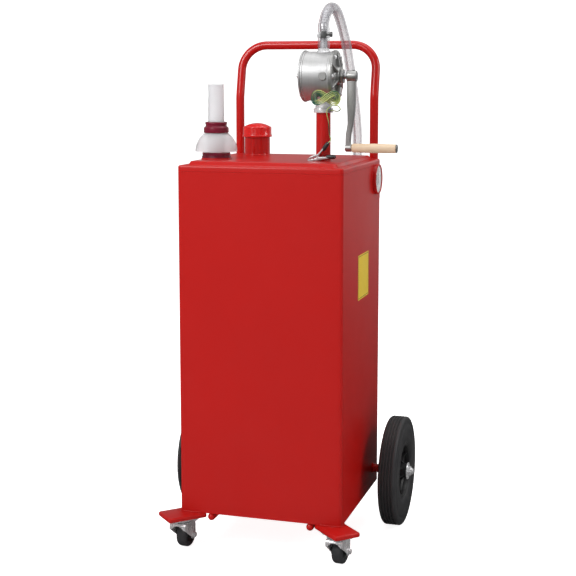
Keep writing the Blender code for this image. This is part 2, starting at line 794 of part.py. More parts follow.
def corner_frame(side, height):
    """A frame at the middle of a caster plate's outer edge, local +X pointing inward."""
    x = side * (HALF_WIDTH + PLATE_OUT)
    y = FRONT - PLATE_FORWARD
    inward = (-side * math.sin(PLATE_TURN), math.cos(PLATE_TURN), 0.0)
    return frame_at((x, y, height), (0, 0, 1), inward)


def caster_plates():
    for side, name in ((-1, "caster_plate_left"), (1, "caster_plate_right")):
        top = TANK_LIFT - GAP
        box(name, (0, -PLATE_WIDTH / 2, -PLATE_THICK), (PLATE_LENGTH, PLATE_WIDTH / 2, 0),
            "red_powder_coat", corner_frame(side, top), PLATE_ROUND, 3)


def swivel_spot(side):
    return side * (HALF_WIDTH - CASTER_IN), FRONT - CASTER_FORWARD


def caster_top():
    """Height of the face that a caster bolts up to."""
    return TANK_LIFT - GAP - PLATE_THICK - GAP


def casters():
    crown = caster_top() - PAD_THICK - RACE_HEIGHT - GAP
    for side, suffix in ((-1, "left"), (1, "right")):
        x, y = swivel_spot(side)
        plate = corner_frame(side, caster_top())
        local = plate.inverted() @ Vector((x, y, caster_top()))
        pad_middle = (local.x, local.y)
        outline = rounded_rectangle(PAD_LENGTH, PAD_WIDTH, PAD_CORNER, 3, pad_middle)
        pad = flat("caster_mount_" + suffix, outline, PAD_THICK, "zinc",
                   plate @ Matrix.Translation((0, 0, -PAD_THICK)))
        under = caster_top() - PAD_THICK
        race_profile = [(0.0, under + OVERRUN / 4), (RACE_RADIUS, under + OVERRUN / 4),
                        (RACE_RADIUS, under - RACE_HEIGHT / 2),
                        (RACE_RADIUS - RACE_TAPER, under - RACE_HEIGHT),
                        (0.0, under - RACE_HEIGHT)]
        race = turned("race_" + suffix, race_profile, None,
                      Matrix.Translation((x, y, 0)), ROUND_STEPS)
        add(pad, race)
        caster_fork(suffix, (x, y), crown)
        caster_wheel(suffix, (x, y))


def trail_frame(spot, height):
    """A frame at a swivel axis, local +X pointing where the wheel trails."""
    behind = (math.sin(CASTER_TURN), math.cos(CASTER_TURN), 0.0)
    return frame_at((*spot, height), (0, 0, 1), behind)


def caster_fork(suffix, spot, crown):
    """A pressed fork: a hood with a front lip over the wheel, and two legs to the bolt."""
    half = CASTER_WIDTH / 2 + FORK_CLEAR + FORK_WALL
    base = trail_frame(spot, 0.0)
    side_view = base @ Matrix.Rotation(math.radians(90.0), 4, 'X')
    boss = arc((CASTER_TRAIL, CASTER_RADIUS), FORK_BOSS, 200, 380, 8)
    lip = crown - FORK_LIP
    outline = [(-FORK_LEAD + FORK_ROUND / 2, crown), (-FORK_LEAD, crown - FORK_ROUND),
               (-FORK_LEAD, lip), *boss,
               (FORK_BACK + FORK_ROUND, lip), (FORK_BACK, crown - FORK_ROUND),
               (FORK_BACK - FORK_ROUND, crown)]
    fork = flat("caster_fork_" + suffix, outline, 2 * half, "zinc",
                side_view @ Matrix.Translation((0, 0, -half)))
    inner = half - FORK_WALL
    slot_top = crown - FORK_WALL
    slot = box("fork_slot_" + suffix, (FORK_WALL - FORK_LEAD, -inner, -OVERRUN),
               (FORK_BACK + CASTER_RADIUS, inner, slot_top), None, base)
    axle = rod("fork_bolt_" + suffix, CASTER_BOLT, -half - OVERRUN / 4,
               half + OVERRUN / 4, None,
               base @ frame_at((CASTER_TRAIL, 0, CASTER_RADIUS), (0, 1, 0)))
    outer = half - FORK_WALL / 4
    nut = flat("fork_nut_" + suffix, hexagon(BOLT_HEAD_HALF), BOLT_HEAD + FORK_WALL / 4,
               None, base @ frame_at((CASTER_TRAIL, outer, CASTER_RADIUS), (0, 1, 0)))
    head = flat("fork_head_" + suffix, hexagon(BOLT_HEAD_HALF), BOLT_HEAD, None,
                base @ frame_at((CASTER_TRAIL, -outer, CASTER_RADIUS), (0, -1, 0)))
    cut(fork, slot)
    return add(fork, axle, nut, head)


def caster_wheel(suffix, spot):
    """A moulded wheel with a rounded tread and a raised hub on each side."""
    half = CASTER_WIDTH / 2
    hub = half + CASTER_HUB_PROUD
    rim = CASTER_RADIUS - CASTER_TREAD_ROUND
    dish_out = rim - CASTER_DISH
    right = arc((rim, half - CASTER_TREAD_ROUND), CASTER_TREAD_ROUND, 90, 0, 2)
    left = arc((rim, CASTER_TREAD_ROUND - half), CASTER_TREAD_ROUND, 0, -90, 2)
    profile = [(CASTER_BORE, hub), (CASTER_HUB_RADIUS, hub),
               (CASTER_HUB_RADIUS, half - CASTER_DISH), (dish_out, half - CASTER_DISH),
               *right, *left,
               (dish_out, CASTER_DISH - half), (CASTER_HUB_RADIUS, CASTER_DISH - half),
               (CASTER_HUB_RADIUS, -hub), (CASTER_BORE, -hub)]
    base = trail_frame(spot, 0.0)
    turned("caster_wheel_" + suffix, profile, "black_plastic",
           base @ frame_at((CASTER_TRAIL, 0, CASTER_RADIUS), (0, 1, 0)),
           ROUND_STEPS - 4, closed=True)


# The rear wheels

def tyre_profile():
    """Half round the tyre: sidewall, shoulder, grooved tread, shoulder, sidewall."""
    half = TYRE_WIDTH / 2
    tread_half = half - TYRE_SHOULDER * 0.45
    top = TYRE_RADIUS
    bead = TYRE_BORE + RIM_LIP
    right = [(TYRE_BORE, RIM_HALF - RIM_LIP), (bead, half - RIM_LIP),
             ((bead + top) / 2, half), (top - TYRE_SHOULDER, half - RIM_LIP / 4),
             (top - TYRE_SHOULDER / 4, tread_half)]
    tread = []
    pitch = 2 * (tread_half - GROOVE_WIDTH) / (TREAD_GROOVES + 1)
    for index in range(TREAD_GROOVES):
        middle = (TREAD_GROOVES - 1) * pitch / 2 - index * pitch
        edge = GROOVE_WIDTH / 2
        tread += [(top, middle + edge), (top - GROOVE_DEPTH, middle),
                  (top, middle - edge)]
    left = [(radius, -z) for radius, z in reversed(right)]
    return right + [(top, tread_half - GROOVE_WIDTH)] + tread \
        + [(top, GROOVE_WIDTH - tread_half)] + left


def rim_profile():
    """A dished wheel centre: hub, web and a rim with turned-out lips."""
    bore = AXLE_RADIUS + GAP
    seat = TYRE_BORE - GAP
    inside = seat - RIM_WALL
    web = WEB_THICK / 2
    lip = TYRE_BORE + RIM_LIP - GAP
    tip = RIM_HALF + GAP
    return [(bore, HUB_HALF), (HUB_RADIUS, HUB_HALF), (HUB_RADIUS, web), (inside, web),
            (inside, RIM_HALF - RIM_LIP), (inside + RIM_LIP / 2, tip),
            (lip, tip + RIM_LIP / 2), (seat, RIM_HALF - RIM_LIP),
            (seat, RIM_LIP - RIM_HALF), (lip, -tip - RIM_LIP / 2),
            (inside + RIM_LIP / 2, -tip), (inside, RIM_LIP - RIM_HALF), (inside, -web),
            (HUB_RADIUS, -web), (HUB_RADIUS, -HUB_HALF), (bore, -HUB_HALF)]


def rear_wheels():
    for side, suffix in ((-1, "left"), (1, "right")):
        where = along_x((side * WHEEL_X, AXLE_Y, TYRE_RADIUS))
        turned("tyre_" + suffix, tyre_profile(), "rubber", where, TYRE_STEPS,
               closed=True)
        turned("rim_" + suffix, rim_profile(), "black_plastic", where, TYRE_STEPS,
               closed=True)
        axle_nut(side, suffix)


def axle_nut(side, suffix):
    """A flanged castle nut that holds the wheel on the axle's end."""
    start = WHEEL_X + HUB_HALF + GAP
    where = frame_at((side * start, AXLE_Y, TYRE_RADIUS), (side, 0, 0), (0, 0, 1))
    nut = rod("axle_nut_" + suffix, NUT_FLANGE_RADIUS, 0.0, NUT_FLANGE, "zinc", where,
              ROUND_STEPS)
    body = flat("nut_body_" + suffix, hexagon(NUT_HALF_FLATS),
                NUT_LENGTH - NUT_FLANGE / 2, None,
                where @ Matrix.Translation((0, 0, NUT_FLANGE / 2)))
    bore = rod("nut_bore_" + suffix, AXLE_RADIUS + GAP, -OVERRUN, NUT_LENGTH + OVERRUN,
               None, where)
    add(nut, body)
    return cut(nut, bore)


def axle():
    """One solid axle across both wheels, with chamfered ends."""
    end = HALF_WIDTH + AXLE_END
    inner = AXLE_RADIUS - AXLE_CHAMFER
    profile = [(0.0, end), (inner, end), (AXLE_RADIUS, end - AXLE_CHAMFER),
               (AXLE_RADIUS, AXLE_CHAMFER - end), (inner, -end), (0.0, -end)]
    turned("axle", profile, "zinc", along_x((0, AXLE_Y, TYRE_RADIUS)), SMALL_STEPS)


# The handle and its bracket

def handle_y():
    return BACK + GAP + BRACKET_SHEET + GAP + HANDLE_RADIUS


def bolt_z():
    return SHOULDER - BOLT_DROP


def handle():
    """A bent tube: two legs that lean back above the knee, and a top bar."""
    x = HANDLE_SPREAD / 2
    y = handle_y()
    lean_y = y + HANDLE_LEAN
    foot = SHOULDER - HANDLE_DROP
    knee = SHOULDER + HANDLE_KNEE
    top = SHOULDER + HANDLE_TOP
    corners = [(-x, y, foot), (-x, y, knee), (-x, lean_y, top), (x, lean_y, top),
               (x, y, knee), (x, y, foot)]
    radii = [HANDLE_KNEE_BEND, HANDLE_BEND, HANDLE_BEND, HANDLE_KNEE_BEND]
    bar = as_mesh(tube("handle", rounded_path(corners, radii, 5), HANDLE_RADIUS,
                       "red_powder_coat", 3))
    hole = rod("handle_bolt_hole", HANDLE_BOLT_RADIUS + GAP, -HALF_WIDTH, HALF_WIDTH,
               None, along_x((0, y, bolt_z())), 12)
    return cut(bar, hole)


def handle_bracket():
    """A channel across the tank's back, with an ear outside each leg."""
    ear = HANDLE_SPREAD / 2 + HANDLE_RADIUS + GAP
    outer = ear + BRACKET_SHEET
    depth = BRACKET_SHEET + GAP + 2 * HANDLE_RADIUS + EAR_REACH
    low = SHOULDER - BRACKET_TOP - BRACKET_HEIGHT
    start = BACK + GAP
    bracket = box("handle_bracket", (-outer, start, low),
                  (outer, start + depth, low + BRACKET_HEIGHT), "red_powder_coat")
    middle = box("bracket_inside", (-ear, start + BRACKET_SHEET, low - OVERRUN),
                 (ear, start + depth + OVERRUN, low + BRACKET_HEIGHT + OVERRUN))
    holes = rod("bracket_holes", HANDLE_BOLT_RADIUS + GAP, -HALF_WIDTH, HALF_WIDTH, None,
                along_x((0, handle_y(), bolt_z())), 12)
    back = start + depth
    for index, edge in enumerate((low, low + BRACKET_HEIGHT)):
        outward = 1 if index else -1
        corner = [(back - EAR_CORNER, edge + outward * OVERRUN),
                  (back - EAR_CORNER, edge), (back, edge - outward * EAR_CORNER),
                  (back + OVERRUN, edge - outward * EAR_CORNER),
                  (back + OVERRUN, edge + outward * OVERRUN)]
        trim = flat("ear_trim_%d" % index, corner, TANK_WIDTH, None,
                    frame_at((-HALF_WIDTH, 0, 0), (1, 0, 0), (0, 1, 0)))
        cut(bracket, trim)
    return cut(bracket, middle, holes)


def handle_bolts():
    """One bolt with its nut through each ear and leg."""
    for side, suffix in ((-1, "left"), (1, "right")):
        ear = HANDLE_SPREAD / 2 + HANDLE_RADIUS + GAP + BRACKET_SHEET + GAP
        inner = HANDLE_SPREAD / 2 - HANDLE_RADIUS - GAP
        nut_end = inner - HANDLE_BOLT_HEAD
        where = frame_at((0, handle_y(), bolt_z()), (side, 0, 0), (0, 0, 1))
        bolt = rod("handle_bolt_" + suffix, HANDLE_BOLT_RADIUS, nut_end - OVERRUN / 2,
                   ear + HANDLE_BOLT_HEAD / 2, "zinc", where, 12)
        head = flat("bolt_head_" + suffix, hexagon(HANDLE_BOLT_HALF), HANDLE_BOLT_HEAD,
                    None, where @ Matrix.Translation((0, 0, ear)))
        nut = flat("bolt_nut_" + suffix, hexagon(HANDLE_BOLT_HALF), HANDLE_BOLT_HEAD,
                   None, where @ Matrix.Translation((0, 0, nut_end)))
        add(bolt, head, nut)


# The float gauge

def float_gauge():
    """A bung, a screwed base, a domed shield, a collar and a clear sight tube."""
    x, y = gauge_spot()
    where = Matrix.Translation((x, y, PANEL_TOP))
    ring("gauge_bung", BUNG_RADIUS, BUNG_BORE, GAP, BUNG_HEIGHT, "red_powder_coat", where)

    foot = BUNG_HEIGHT + GAP
    base_top = foot + BASE_HEIGHT
    spigot = BUNG_BORE - GAP
    bore = spigot - BASE_SPIGOT_WALL
    low = -SHEET - BUNG_HEIGHT
    guide = FLOAT_ROD + GAP
    base = [(BASE_RADIUS, base_top), (BASE_RADIUS, foot + BASE_FOOT_HEIGHT),
            (BASE_FOOT, foot + BASE_FOOT_HEIGHT / 2), (BASE_FOOT, foot), (spigot, foot),
            (spigot, low), (guide, low), (guide, low + GUIDE_WEB),
            (bore, low + GUIDE_WEB), (bore, base_top)]
    turned("gauge_base", base, "burgundy_plastic", where, closed=True)

    rim = DOME_MOUTH + BUNG_HEIGHT
    crown = rim + DOME_HEIGHT
    seat = base_top + GAP
    outer = []
    inner = []
    for share in np.linspace(0.0, 1.0, 5):
        angle = share * math.acos(DOME_TOP_RADIUS / DOME_RADIUS)
        radius = DOME_RADIUS * math.cos(angle)
        rise = DOME_HEIGHT * math.sin(angle) / math.sin(math.acos(
            DOME_TOP_RADIUS / DOME_RADIUS))
        outer.append((radius, rim + rise))
        inner.append((radius - DOME_WALL, rim + rise * (1 - DOME_WALL / DOME_HEIGHT)))
    sleeve = TUBE_RADIUS + GAP
    skirt = sleeve + DOME_WALL
    ceiling = crown - DOME_WALL
    dome = [(sleeve, crown), *reversed(outer), *inner[:-1], (skirt, ceiling),
            (skirt, seat), (sleeve, seat)]
    turned("gauge_dome", dome, "frosted_plastic", where, closed=True)

    collar_low = crown + GAP
    collar_top = collar_low + COLLAR_HEIGHT
    hole = TUBE_RADIUS + GAP
    collar = [(hole, collar_top), (COLLAR_TOP_RADIUS - BEAD / 2, collar_top),
              (COLLAR_TOP_RADIUS, collar_top - BEAD / 2),
              (COLLAR_TOP_RADIUS, collar_low + COLLAR_STEP),
              (COLLAR_RADIUS - BEAD / 2, collar_low + COLLAR_STEP - BEAD / 2),
              (COLLAR_RADIUS, collar_low + COLLAR_STEP - BEAD), (COLLAR_RADIUS, collar_low),
              (hole, collar_low)]
    turned("gauge_collar", collar, "burgundy_plastic", where, closed=True)

    tube_low = seat + GAP
    tube_top = collar_top + TUBE_HEIGHT
    lip = TUBE_RADIUS - TUBE_WALL
    narrow = TUBE_TOP_RADIUS - TUBE_WALL
    sight = [(0.0, tube_top), (TUBE_TOP_RADIUS - TUBE_WALL / 2, tube_top),
             (TUBE_TOP_RADIUS, tube_top - TUBE_WALL / 2), (TUBE_RADIUS, collar_top),
             (TUBE_RADIUS, tube_low), (lip, tube_low), (lip, collar_top),
             (narrow, tube_top - TUBE_WALL), (0.0, tube_top - TUBE_WALL)]
    turned("sight_tube", sight, "clear_plastic", where)

    marker_low = collar_low + TUBE_FOOT
    bottom = -FLOAT_DROP - FLOAT_HEIGHT
    float_top = -FLOAT_DROP
    marker_top = marker_low + MARKER_HEIGHT
    bob = [(0.0, marker_top), (MARKER_RADIUS, marker_top), (MARKER_RADIUS, marker_low),
           (FLOAT_ROD, marker_low), (FLOAT_ROD, float_top),
           (FLOAT_RADIUS - BEAD, float_top), (FLOAT_RADIUS, float_top - BEAD),
           (FLOAT_RADIUS, bottom + BEAD), (FLOAT_RADIUS - BEAD, bottom), (0.0, bottom)]
    turned("gauge_float", bob, "burgundy_plastic", where, SMALL_STEPS)


# The level dial

def level_dial():
    """A round dial on the right side: cup with stem, face, needle and lens."""
    spot = (HALF_WIDTH, FRONT + DIAL_BACK, SHOULDER - DIAL_BELOW)
    where = along_x(spot)
    inner = DIAL_RADIUS - DIAL_RIM
    back = GAP
    cup_floor = DIAL_DEPTH / 3
    front = DIAL_DEPTH
    cup = [(0.0, cup_floor), (inner, cup_floor), (inner, front),
           (inner + DIAL_RIM / 2, front), (DIAL_RADIUS, front - DIAL_RIM / 2),
           (DIAL_RADIUS, back), (DIAL_STEM, back), (DIAL_STEM, -DIAL_STEM_LENGTH),
           (0.0, -DIAL_STEM_LENGTH)]
    turned("dial_housing", cup, "red_powder_coat", where)
    face_top = cup_floor + GAP + DIAL_FACE
    rod("dial_face", inner - GAP, cup_floor + GAP, face_top, "white_face", where,
        ROUND_STEPS)
    lens_top = front - DIAL_LENS_SINK
    rod("dial_lens", inner - GAP, lens_top - DIAL_LENS, lens_top, "clear_plastic", where,
        ROUND_STEPS)
    low = face_top + GAP
    outline = [(NEEDLE_LENGTH, 0.0), (NEEDLE_HUB, NEEDLE_HALF), *arc(
        (0.0, 0.0), NEEDLE_HUB, 40, 130, 4), (-NEEDLE_TAIL, NEEDLE_TAIL_HALF),
        (-NEEDLE_TAIL, -NEEDLE_TAIL_HALF), *arc((0.0, 0.0), NEEDLE_HUB, 230, 320, 4),
        (NEEDLE_HUB, -NEEDLE_HALF)]
    flat("dial_needle", outline, NEEDLE_THICK, "black_plastic",
         where @ Matrix.Translation((0, 0, low)))


# The pump

def standpipe():
    where = Matrix.Translation((PIPE_X, PIPE_Y, 0))
    foot = PANEL_TOP + GAP
    inner = PIPE_RADIUS - PIPE_WALL
    top = SHOULDER + PIPE_TOP
    low = PANEL_TOP - PIPE_BELOW
    profile = [(PIPE_RADIUS, top), (PIPE_RADIUS, foot + BEAD),
               (PIPE_RADIUS + BEAD, foot), (PIPE_RADIUS, foot), (PIPE_RADIUS, low),
               (inner, low), (inner, top)]
    turned("standpipe", profile, "red_powder_coat", where, closed=True)
    suction_top = top + COLLAR_NUT_HEIGHT
    ring("suction_tube", SUCTION_RADIUS, SUCTION_RADIUS - SUCTION_WALL,
         TANK_LIFT + FLOOR_SHEET + SUCTION_CLEAR, suction_top, "bare_steel", where,
         SMALL_STEPS)


def inlet_collar():
    """The union nut between the standpipe and the pump's inlet."""
    where = Matrix.Translation((PIPE_X, PIPE_Y, SHOULDER + PIPE_TOP))
    step = COLLAR_NUT_HEIGHT
    inside = SUCTION_RADIUS + GAP
    skirt = -COLLAR_NUT_SKIRT
    profile = [(inside, step), (COLLAR_NUT_RADIUS - BEAD / 3, step),
               (COLLAR_NUT_RADIUS, step - BEAD / 3), (COLLAR_NUT_RADIUS, skirt),
               (PIPE_RADIUS + GAP, skirt), (PIPE_RADIUS + GAP, GAP), (inside, GAP)]
    turned("inlet_collar", profile, "cast_aluminium", where, closed=True)


def pump_body():
    """The cast body: a drum with its inlet socket below and the barbed outlet above."""
    where = along_x((PIPE_X, PIPE_Y, SHAFT_Z))
    body = ring("pump_body", PUMP_RADIUS, PUMP_BORE, -PUMP_LEFT, PUMP_RIGHT,
                "cast_aluminium", where)
    upright = Matrix.Translation((PIPE_X, PIPE_Y, SHAFT_Z))
    inside = (PUMP_RADIUS + PUMP_BORE) / 2
    socket_low = SHOULDER + PIPE_TOP + COLLAR_NUT_HEIGHT + GAP - SHAFT_Z
    socket = rod("pump_socket", SOCKET_RADIUS, socket_low, -inside, None, upright,
                 ROUND_STEPS)
    boss = rod("outlet_boss", OUTLET_BASE_RADIUS, inside, OUTLET_BASE, None, upright,
               ROUND_STEPS, OUTLET_BASE_RADIUS - BEAD / 6)
    ridges = []
    for index in range(BARB_COUNT):
        top = OUTLET_TOP - index * BARB_PITCH
        ridges += [(OUTLET_RADIUS - BARB_STEP, top),
                   (OUTLET_RADIUS, top - BARB_PITCH + GAP)]
    barb_profile = [(0.0, OUTLET_TOP), *ridges,
                    (OUTLET_RADIUS - BARB_STEP, OUTLET_BASE + BEAD),
                    (OUTLET_RADIUS - BARB_STEP, OUTLET_BASE - BEAD),
                    (0.0, OUTLET_BASE - BEAD)]
    barb = turned("outlet_barb", barb_profile, None, upright, SMALL_STEPS)
    plug_at = where @ Matrix.Translation((0, -PUMP_RADIUS + BEAD, PUMP_RIGHT / 2))
    plug = flat("relief_plug", hexagon(PLUG_RADIUS), PLUG_LENGTH + BEAD, None,
                plug_at @ Matrix.Rotation(math.radians(90.0), 4, 'X'))
    bore = rod("port_bore", OUTLET_BORE, socket_low - OVERRUN, OUTLET_TOP + OVERRUN,
               None, upright, 16)
    add(body, socket, boss, barb, plug)
    inlet = rod("inlet_bore", SUCTION_RADIUS + GAP, socket_low - OVERRUN,
                -PUMP_BORE + OVERRUN, None, upright, SMALL_STEPS)
    return cut(body, bore, inlet)


def pump_covers():
    where = along_x((PIPE_X, PIPE_Y, SHAFT_Z))
    left = -PUMP_LEFT - GAP
    outer = left - COVER_THICK
    rear = [(0.0, left), (COVER_RADIUS - COVER_DISH / 2, left),
            (COVER_RADIUS, left - COVER_DISH / 2), (COVER_RADIUS, outer + COVER_DISH),
            (COVER_RADIUS - COVER_DISH, outer), (PUMP_BORE, outer),
            (PUMP_BORE - COVER_DISH, outer + COVER_DISH), (0.0, outer + COVER_DISH)]
    turned("pump_rear_cover", rear, "cast_aluminium", where)

    right = PUMP_RIGHT + GAP
    face = right + FRONT_THICK
    gland_end = face + GLAND_BASE_LENGTH
    bore = SHAFT_RADIUS + SHAFT_RUNNING
    front = [(bore, gland_end), (GLAND_BASE - BEAD / 2, gland_end),
             (GLAND_BASE, gland_end - BEAD / 2), (GLAND_BASE + BEAD / 2, face),
             (COVER_RADIUS - COVER_DISH, face), (COVER_RADIUS, face - COVER_DISH),
             (COVER_RADIUS, right), (bore, right)]
    cover = turned("pump_front_cover", front, "cast_aluminium", where, closed=True)
    for index in range(FRONT_RIBS):
        turn = Matrix.Rotation(index * math.tau / FRONT_RIBS, 4, 'Z')
        low_side = GLAND_BASE - BEAD
        high_side = COVER_RADIUS - COVER_DISH - BEAD
        side_view = [(low_side, face - BEAD), (high_side, face - BEAD),
                     (high_side, face + BEAD / 2), (low_side, face + RIB_RISE + BEAD)]
        rib = flat("cover_rib_%d" % index, side_view, 2 * RIB_HALF, None,
                   where @ turn @ frame_at((0, RIB_HALF, 0), (0, -1, 0)))
        add(cover, rib)
    return cover


def gland_nut():
    """The packing nut where the shaft leaves the cover."""
    where = along_x((PIPE_X, PIPE_Y, SHAFT_Z))
    start = PUMP_RIGHT + GAP + FRONT_THICK + GLAND_BASE_LENGTH + GAP
    nut = flat("gland_nut", hexagon(GLAND_RADIUS), GLAND_LENGTH, "cast_aluminium",
               where @ Matrix.Translation((0, 0, start)))
    bore = rod("gland_bore", SHAFT_RADIUS + SHAFT_RUNNING, start - OVERRUN,
               start + GLAND_LENGTH + OVERRUN, None, where)
    return cut(nut, bore)


def pump_rotor():
    """The rotor with its vanes, and the shaft that carries the crank."""
    where = along_x((PIPE_X, PIPE_Y, SHAFT_Z))
    low = -PUMP_LEFT + GAP
    high = PUMP_RIGHT - GAP
    profile = [(0.0, SHAFT_END), (SHAFT_RADIUS, SHAFT_END), (SHAFT_RADIUS, high),
               (ROTOR_RADIUS, high), (ROTOR_RADIUS, low), (0.0, low)]
    rotor = turned("pump_rotor", profile, "bare_steel", where)
    for index in range(VANE_COUNT):
        turn = Matrix.Rotation((index + 0.5) * math.tau / VANE_COUNT, 4, 'Z')
        vane = box("vane_%d" % index, (ROTOR_RADIUS / 2, -VANE_THICK / 2, low + GAP),
                   (PUMP_BORE - VANE_CLEAR, VANE_THICK / 2, high - GAP), None,
                   where @ turn)
        add(rotor, vane)
    return rotor


def crank_arm():
    """A cast arm: hub on the shaft, a tapered bar with a jog, and an eye for the grip."""
    hub_x = PIPE_X + CRANK_FROM_PIPE
    base = Matrix.Translation((hub_x, PIPE_Y, SHAFT_Z))
    half = CRANK_THICK / 2
    jog_top = -CRANK_RADIUS * JOG_FROM_SHARE
    jog_end = -CRANK_RADIUS * JOG_TO_SHARE
    side = [(half, 0.0), (half, jog_top), (half - CRANK_JOG, jog_end),
            (half - CRANK_JOG, -CRANK_RADIUS - CRANK_EYE),
            (-half - CRANK_JOG, -CRANK_RADIUS - CRANK_EYE),
            (-half - CRANK_JOG, jog_end), (-half, jog_top), (-half, 0.0)]
    slab = 2 * CRANK_WIDE + OVERRUN
    arm = flat("crank_arm", side, slab, "cast_aluminium",
               base @ frame_at((0, slab / 2, 0), (0, -1, 0)))
    joins = math.degrees(math.acos(CRANK_NARROW / CRANK_EYE))
    front = [(CRANK_WIDE, 0.0), *arc((0.0, -CRANK_RADIUS), CRANK_EYE, joins,
                                     -180 - joins, 12), (-CRANK_WIDE, 0.0)]
    deep = 2 * (CRANK_THICK + CRANK_JOG)
    shape = flat("crank_outline", front, 2 * deep, None,
                 base @ frame_at((-deep, 0, 0), (1, 0, 0), (0, 1, 0)))
    combine(arm, shape, 'INTERSECT')
    hub = rod("crank_hub", CRANK_HUB, -CRANK_HUB_LENGTH / 2, CRANK_HUB_LENGTH / 2, None,
              base @ along_x((0, 0, 0)), ROUND_STEPS)
    shaft_hole = rod("crank_bore", SHAFT_RADIUS + GAP, -CRANK_HUB_LENGTH,
                     CRANK_HUB_LENGTH, None, base @ along_x((0, 0, 0)))
    eye_hole = rod("eye_bore", SPINDLE_RADIUS + GAP, -CRANK_JOG - CRANK_THICK - OVERRUN,
                   CRANK_THICK, None, base @ along_x((0, 0, -CRANK_RADIUS)))
    add(arm, hub)
    return cut(arm, shaft_hole, eye_hole)


def crank_grip():
    """A turned wooden grip, free on a spindle that is riveted to the arm's eye."""
    eye = PIPE_X + CRANK_FROM_PIPE - CRANK_JOG
    start = eye + CRANK_THICK / 2 + GRIP_OFF + 2 * GAP
    where = along_x((start, PIPE_Y, SHAFT_Z - CRANK_RADIUS))
    end_round = BEAD
    belly = [(GRIP_RADIUS + (GRIP_BELLY - GRIP_RADIUS) * math.sin(share * math.pi),
              GRIP_LENGTH - end_round - share * (GRIP_LENGTH - 2 * end_round))
             for share in np.linspace(0.0, 1.0, 5)]
    profile = [(GRIP_RECESS, GRIP_LENGTH), (GRIP_RADIUS - end_round / 2, GRIP_LENGTH),
               *belly, (GRIP_RADIUS - end_round / 2, 0.0), (GRIP_BORE, 0.0),
               (GRIP_BORE, GRIP_LENGTH - GRIP_RECESS_DEPTH),
               (GRIP_RECESS, GRIP_LENGTH - GRIP_RECESS_DEPTH)]
    turned("crank_grip", profile, "wood", where, SMALL_STEPS + 4,
           closed=True)
    shoulder = GAP + GRIP_OFF
    rivet = shoulder + CRANK_THICK + 2 * GAP
    floor = GRIP_LENGTH - GRIP_RECESS_DEPTH + GAP
    spindle = [(0.0, floor + BEAD), (SPINDLE_HEAD - BEAD / 2, floor + BEAD),
               (SPINDLE_HEAD, floor + BEAD / 2), (SPINDLE_HEAD, floor),
               (SPINDLE_RADIUS, floor), (SPINDLE_RADIUS, -GAP), (SPINDLE_HEAD, -GAP),
               (SPINDLE_HEAD, -shoulder), (SPINDLE_RADIUS, -shoulder),
               (SPINDLE_RADIUS, -rivet), (SPINDLE_HEAD, -rivet),
               (SPINDLE_HEAD, -rivet - BEAD / 2), (0.0, -rivet - BEAD)]
    turned("grip_spindle", spindle, "zinc", where, SMALL_STEPS - 4)


# The hose, its clamp and the nozzle

def hose_route():
    """The hose's own middle line, from the outlet over the back to the nozzle."""
    x = PIPE_X
    y = PIPE_Y
    out = SHAFT_Z + OUTLET_TOP - HOSE_LAP
    behind = BACK + HOSE_BEHIND
    knots = [(x, y, out), (x, y, out + HOSE_LAP), (x, y + 0.0015, out + 0.037),
             (x + 0.0015, y + 0.0195, out + 0.065), (x + 0.003, y + 0.0595, out + 0.082),
             (x + 0.004, y + 0.1145, out + 0.070), (x + 0.005, y + 0.1845, out + 0.005),
             (x + 0.008, y + 0.222, out - 0.062), (x + 0.011, y + 0.262, out - 0.150),
             (HOSE_DOWN_X, y + 0.2895, out - 0.234), (HOSE_DOWN_X, behind, out - 0.320)]
    for height in (0.800, 0.640, 0.480):
        knots.append((HOSE_DOWN_X, behind, height))
    radius = (HOSE_DOWN_X - NOZZLE_X) / 2
    middle = (HOSE_DOWN_X + NOZZLE_X) / 2
    for angle in np.radians(np.arange(0, 181, 30)):
        knots.append((middle + radius * math.cos(angle), behind,
                      HOSE_LOOP_Z - radius * math.sin(angle)))
    knots += [(NOZZLE_X, behind, (HOSE_LOOP_Z + NOZZLE_FOOT) / 2),
              (NOZZLE_X, behind, NOZZLE_FOOT)]
    return knots


def hose():
    points = smooth_path(hose_route(), HOSE_RADIUS * 3)
    swell = HOSE_SWELL / HOSE_RADIUS
    near = [(point - points[0]).length / HOSE_LAP for point in points[:6]]
    sizes = [swell + (1 - swell) * min(max(share - 1.0, 0.0), 1.0) for share in near]
    outer = as_mesh(tube("hose", points, HOSE_RADIUS, "hose_pvc", 3, None, sizes))
    bore = rod("hose_bore", OUTLET_RADIUS + GAP, -OVERRUN, HOSE_LAP + GAP, None,
               Matrix.Translation(points[0]), SMALL_STEPS)
    print("hose length %.3f m" % path_length(points))
    return cut(outer, bore)


def hose_clamp():
    """A worm-drive band round the hose, over the barb."""
    middle = SHAFT_Z + OUTLET_TOP - HOSE_LAP / 2
    where = Matrix.Translation((PIPE_X, PIPE_Y, middle))
    inner = HOSE_SWELL + GAP
    outer = inner + CLAMP_THICK
    band = rod("hose_clamp", outer, -CLAMP_WIDTH / 2, CLAMP_WIDTH / 2, "zinc", where,
               ROUND_STEPS - 4)
    screw_y = -(outer + CLAMP_SCREW)
    half = CLAMP_SCREW_LENGTH / 2
    tall = CLAMP_WIDTH / 2 - GAP
    housing = box("clamp_housing", (-half / 2, screw_y - CLAMP_SCREW - GAP, -tall),
                  (half, -inner, tall), None, where)
    screw = rod("clamp_screw", CLAMP_SCREW, 0.0, CLAMP_SCREW_LENGTH, None,
                where @ along_x((0, screw_y, 0)), 8)
    bore = rod("clamp_bore", inner, -CLAMP_WIDTH, CLAMP_WIDTH, None, where,
               ROUND_STEPS - 4)
    add(band, housing, screw)
    return cut(band, bore)


def nozzle_frame():
    return Matrix.Translation((NOZZLE_X, BACK + HOSE_BEHIND, NOZZLE_FOOT + GAP))


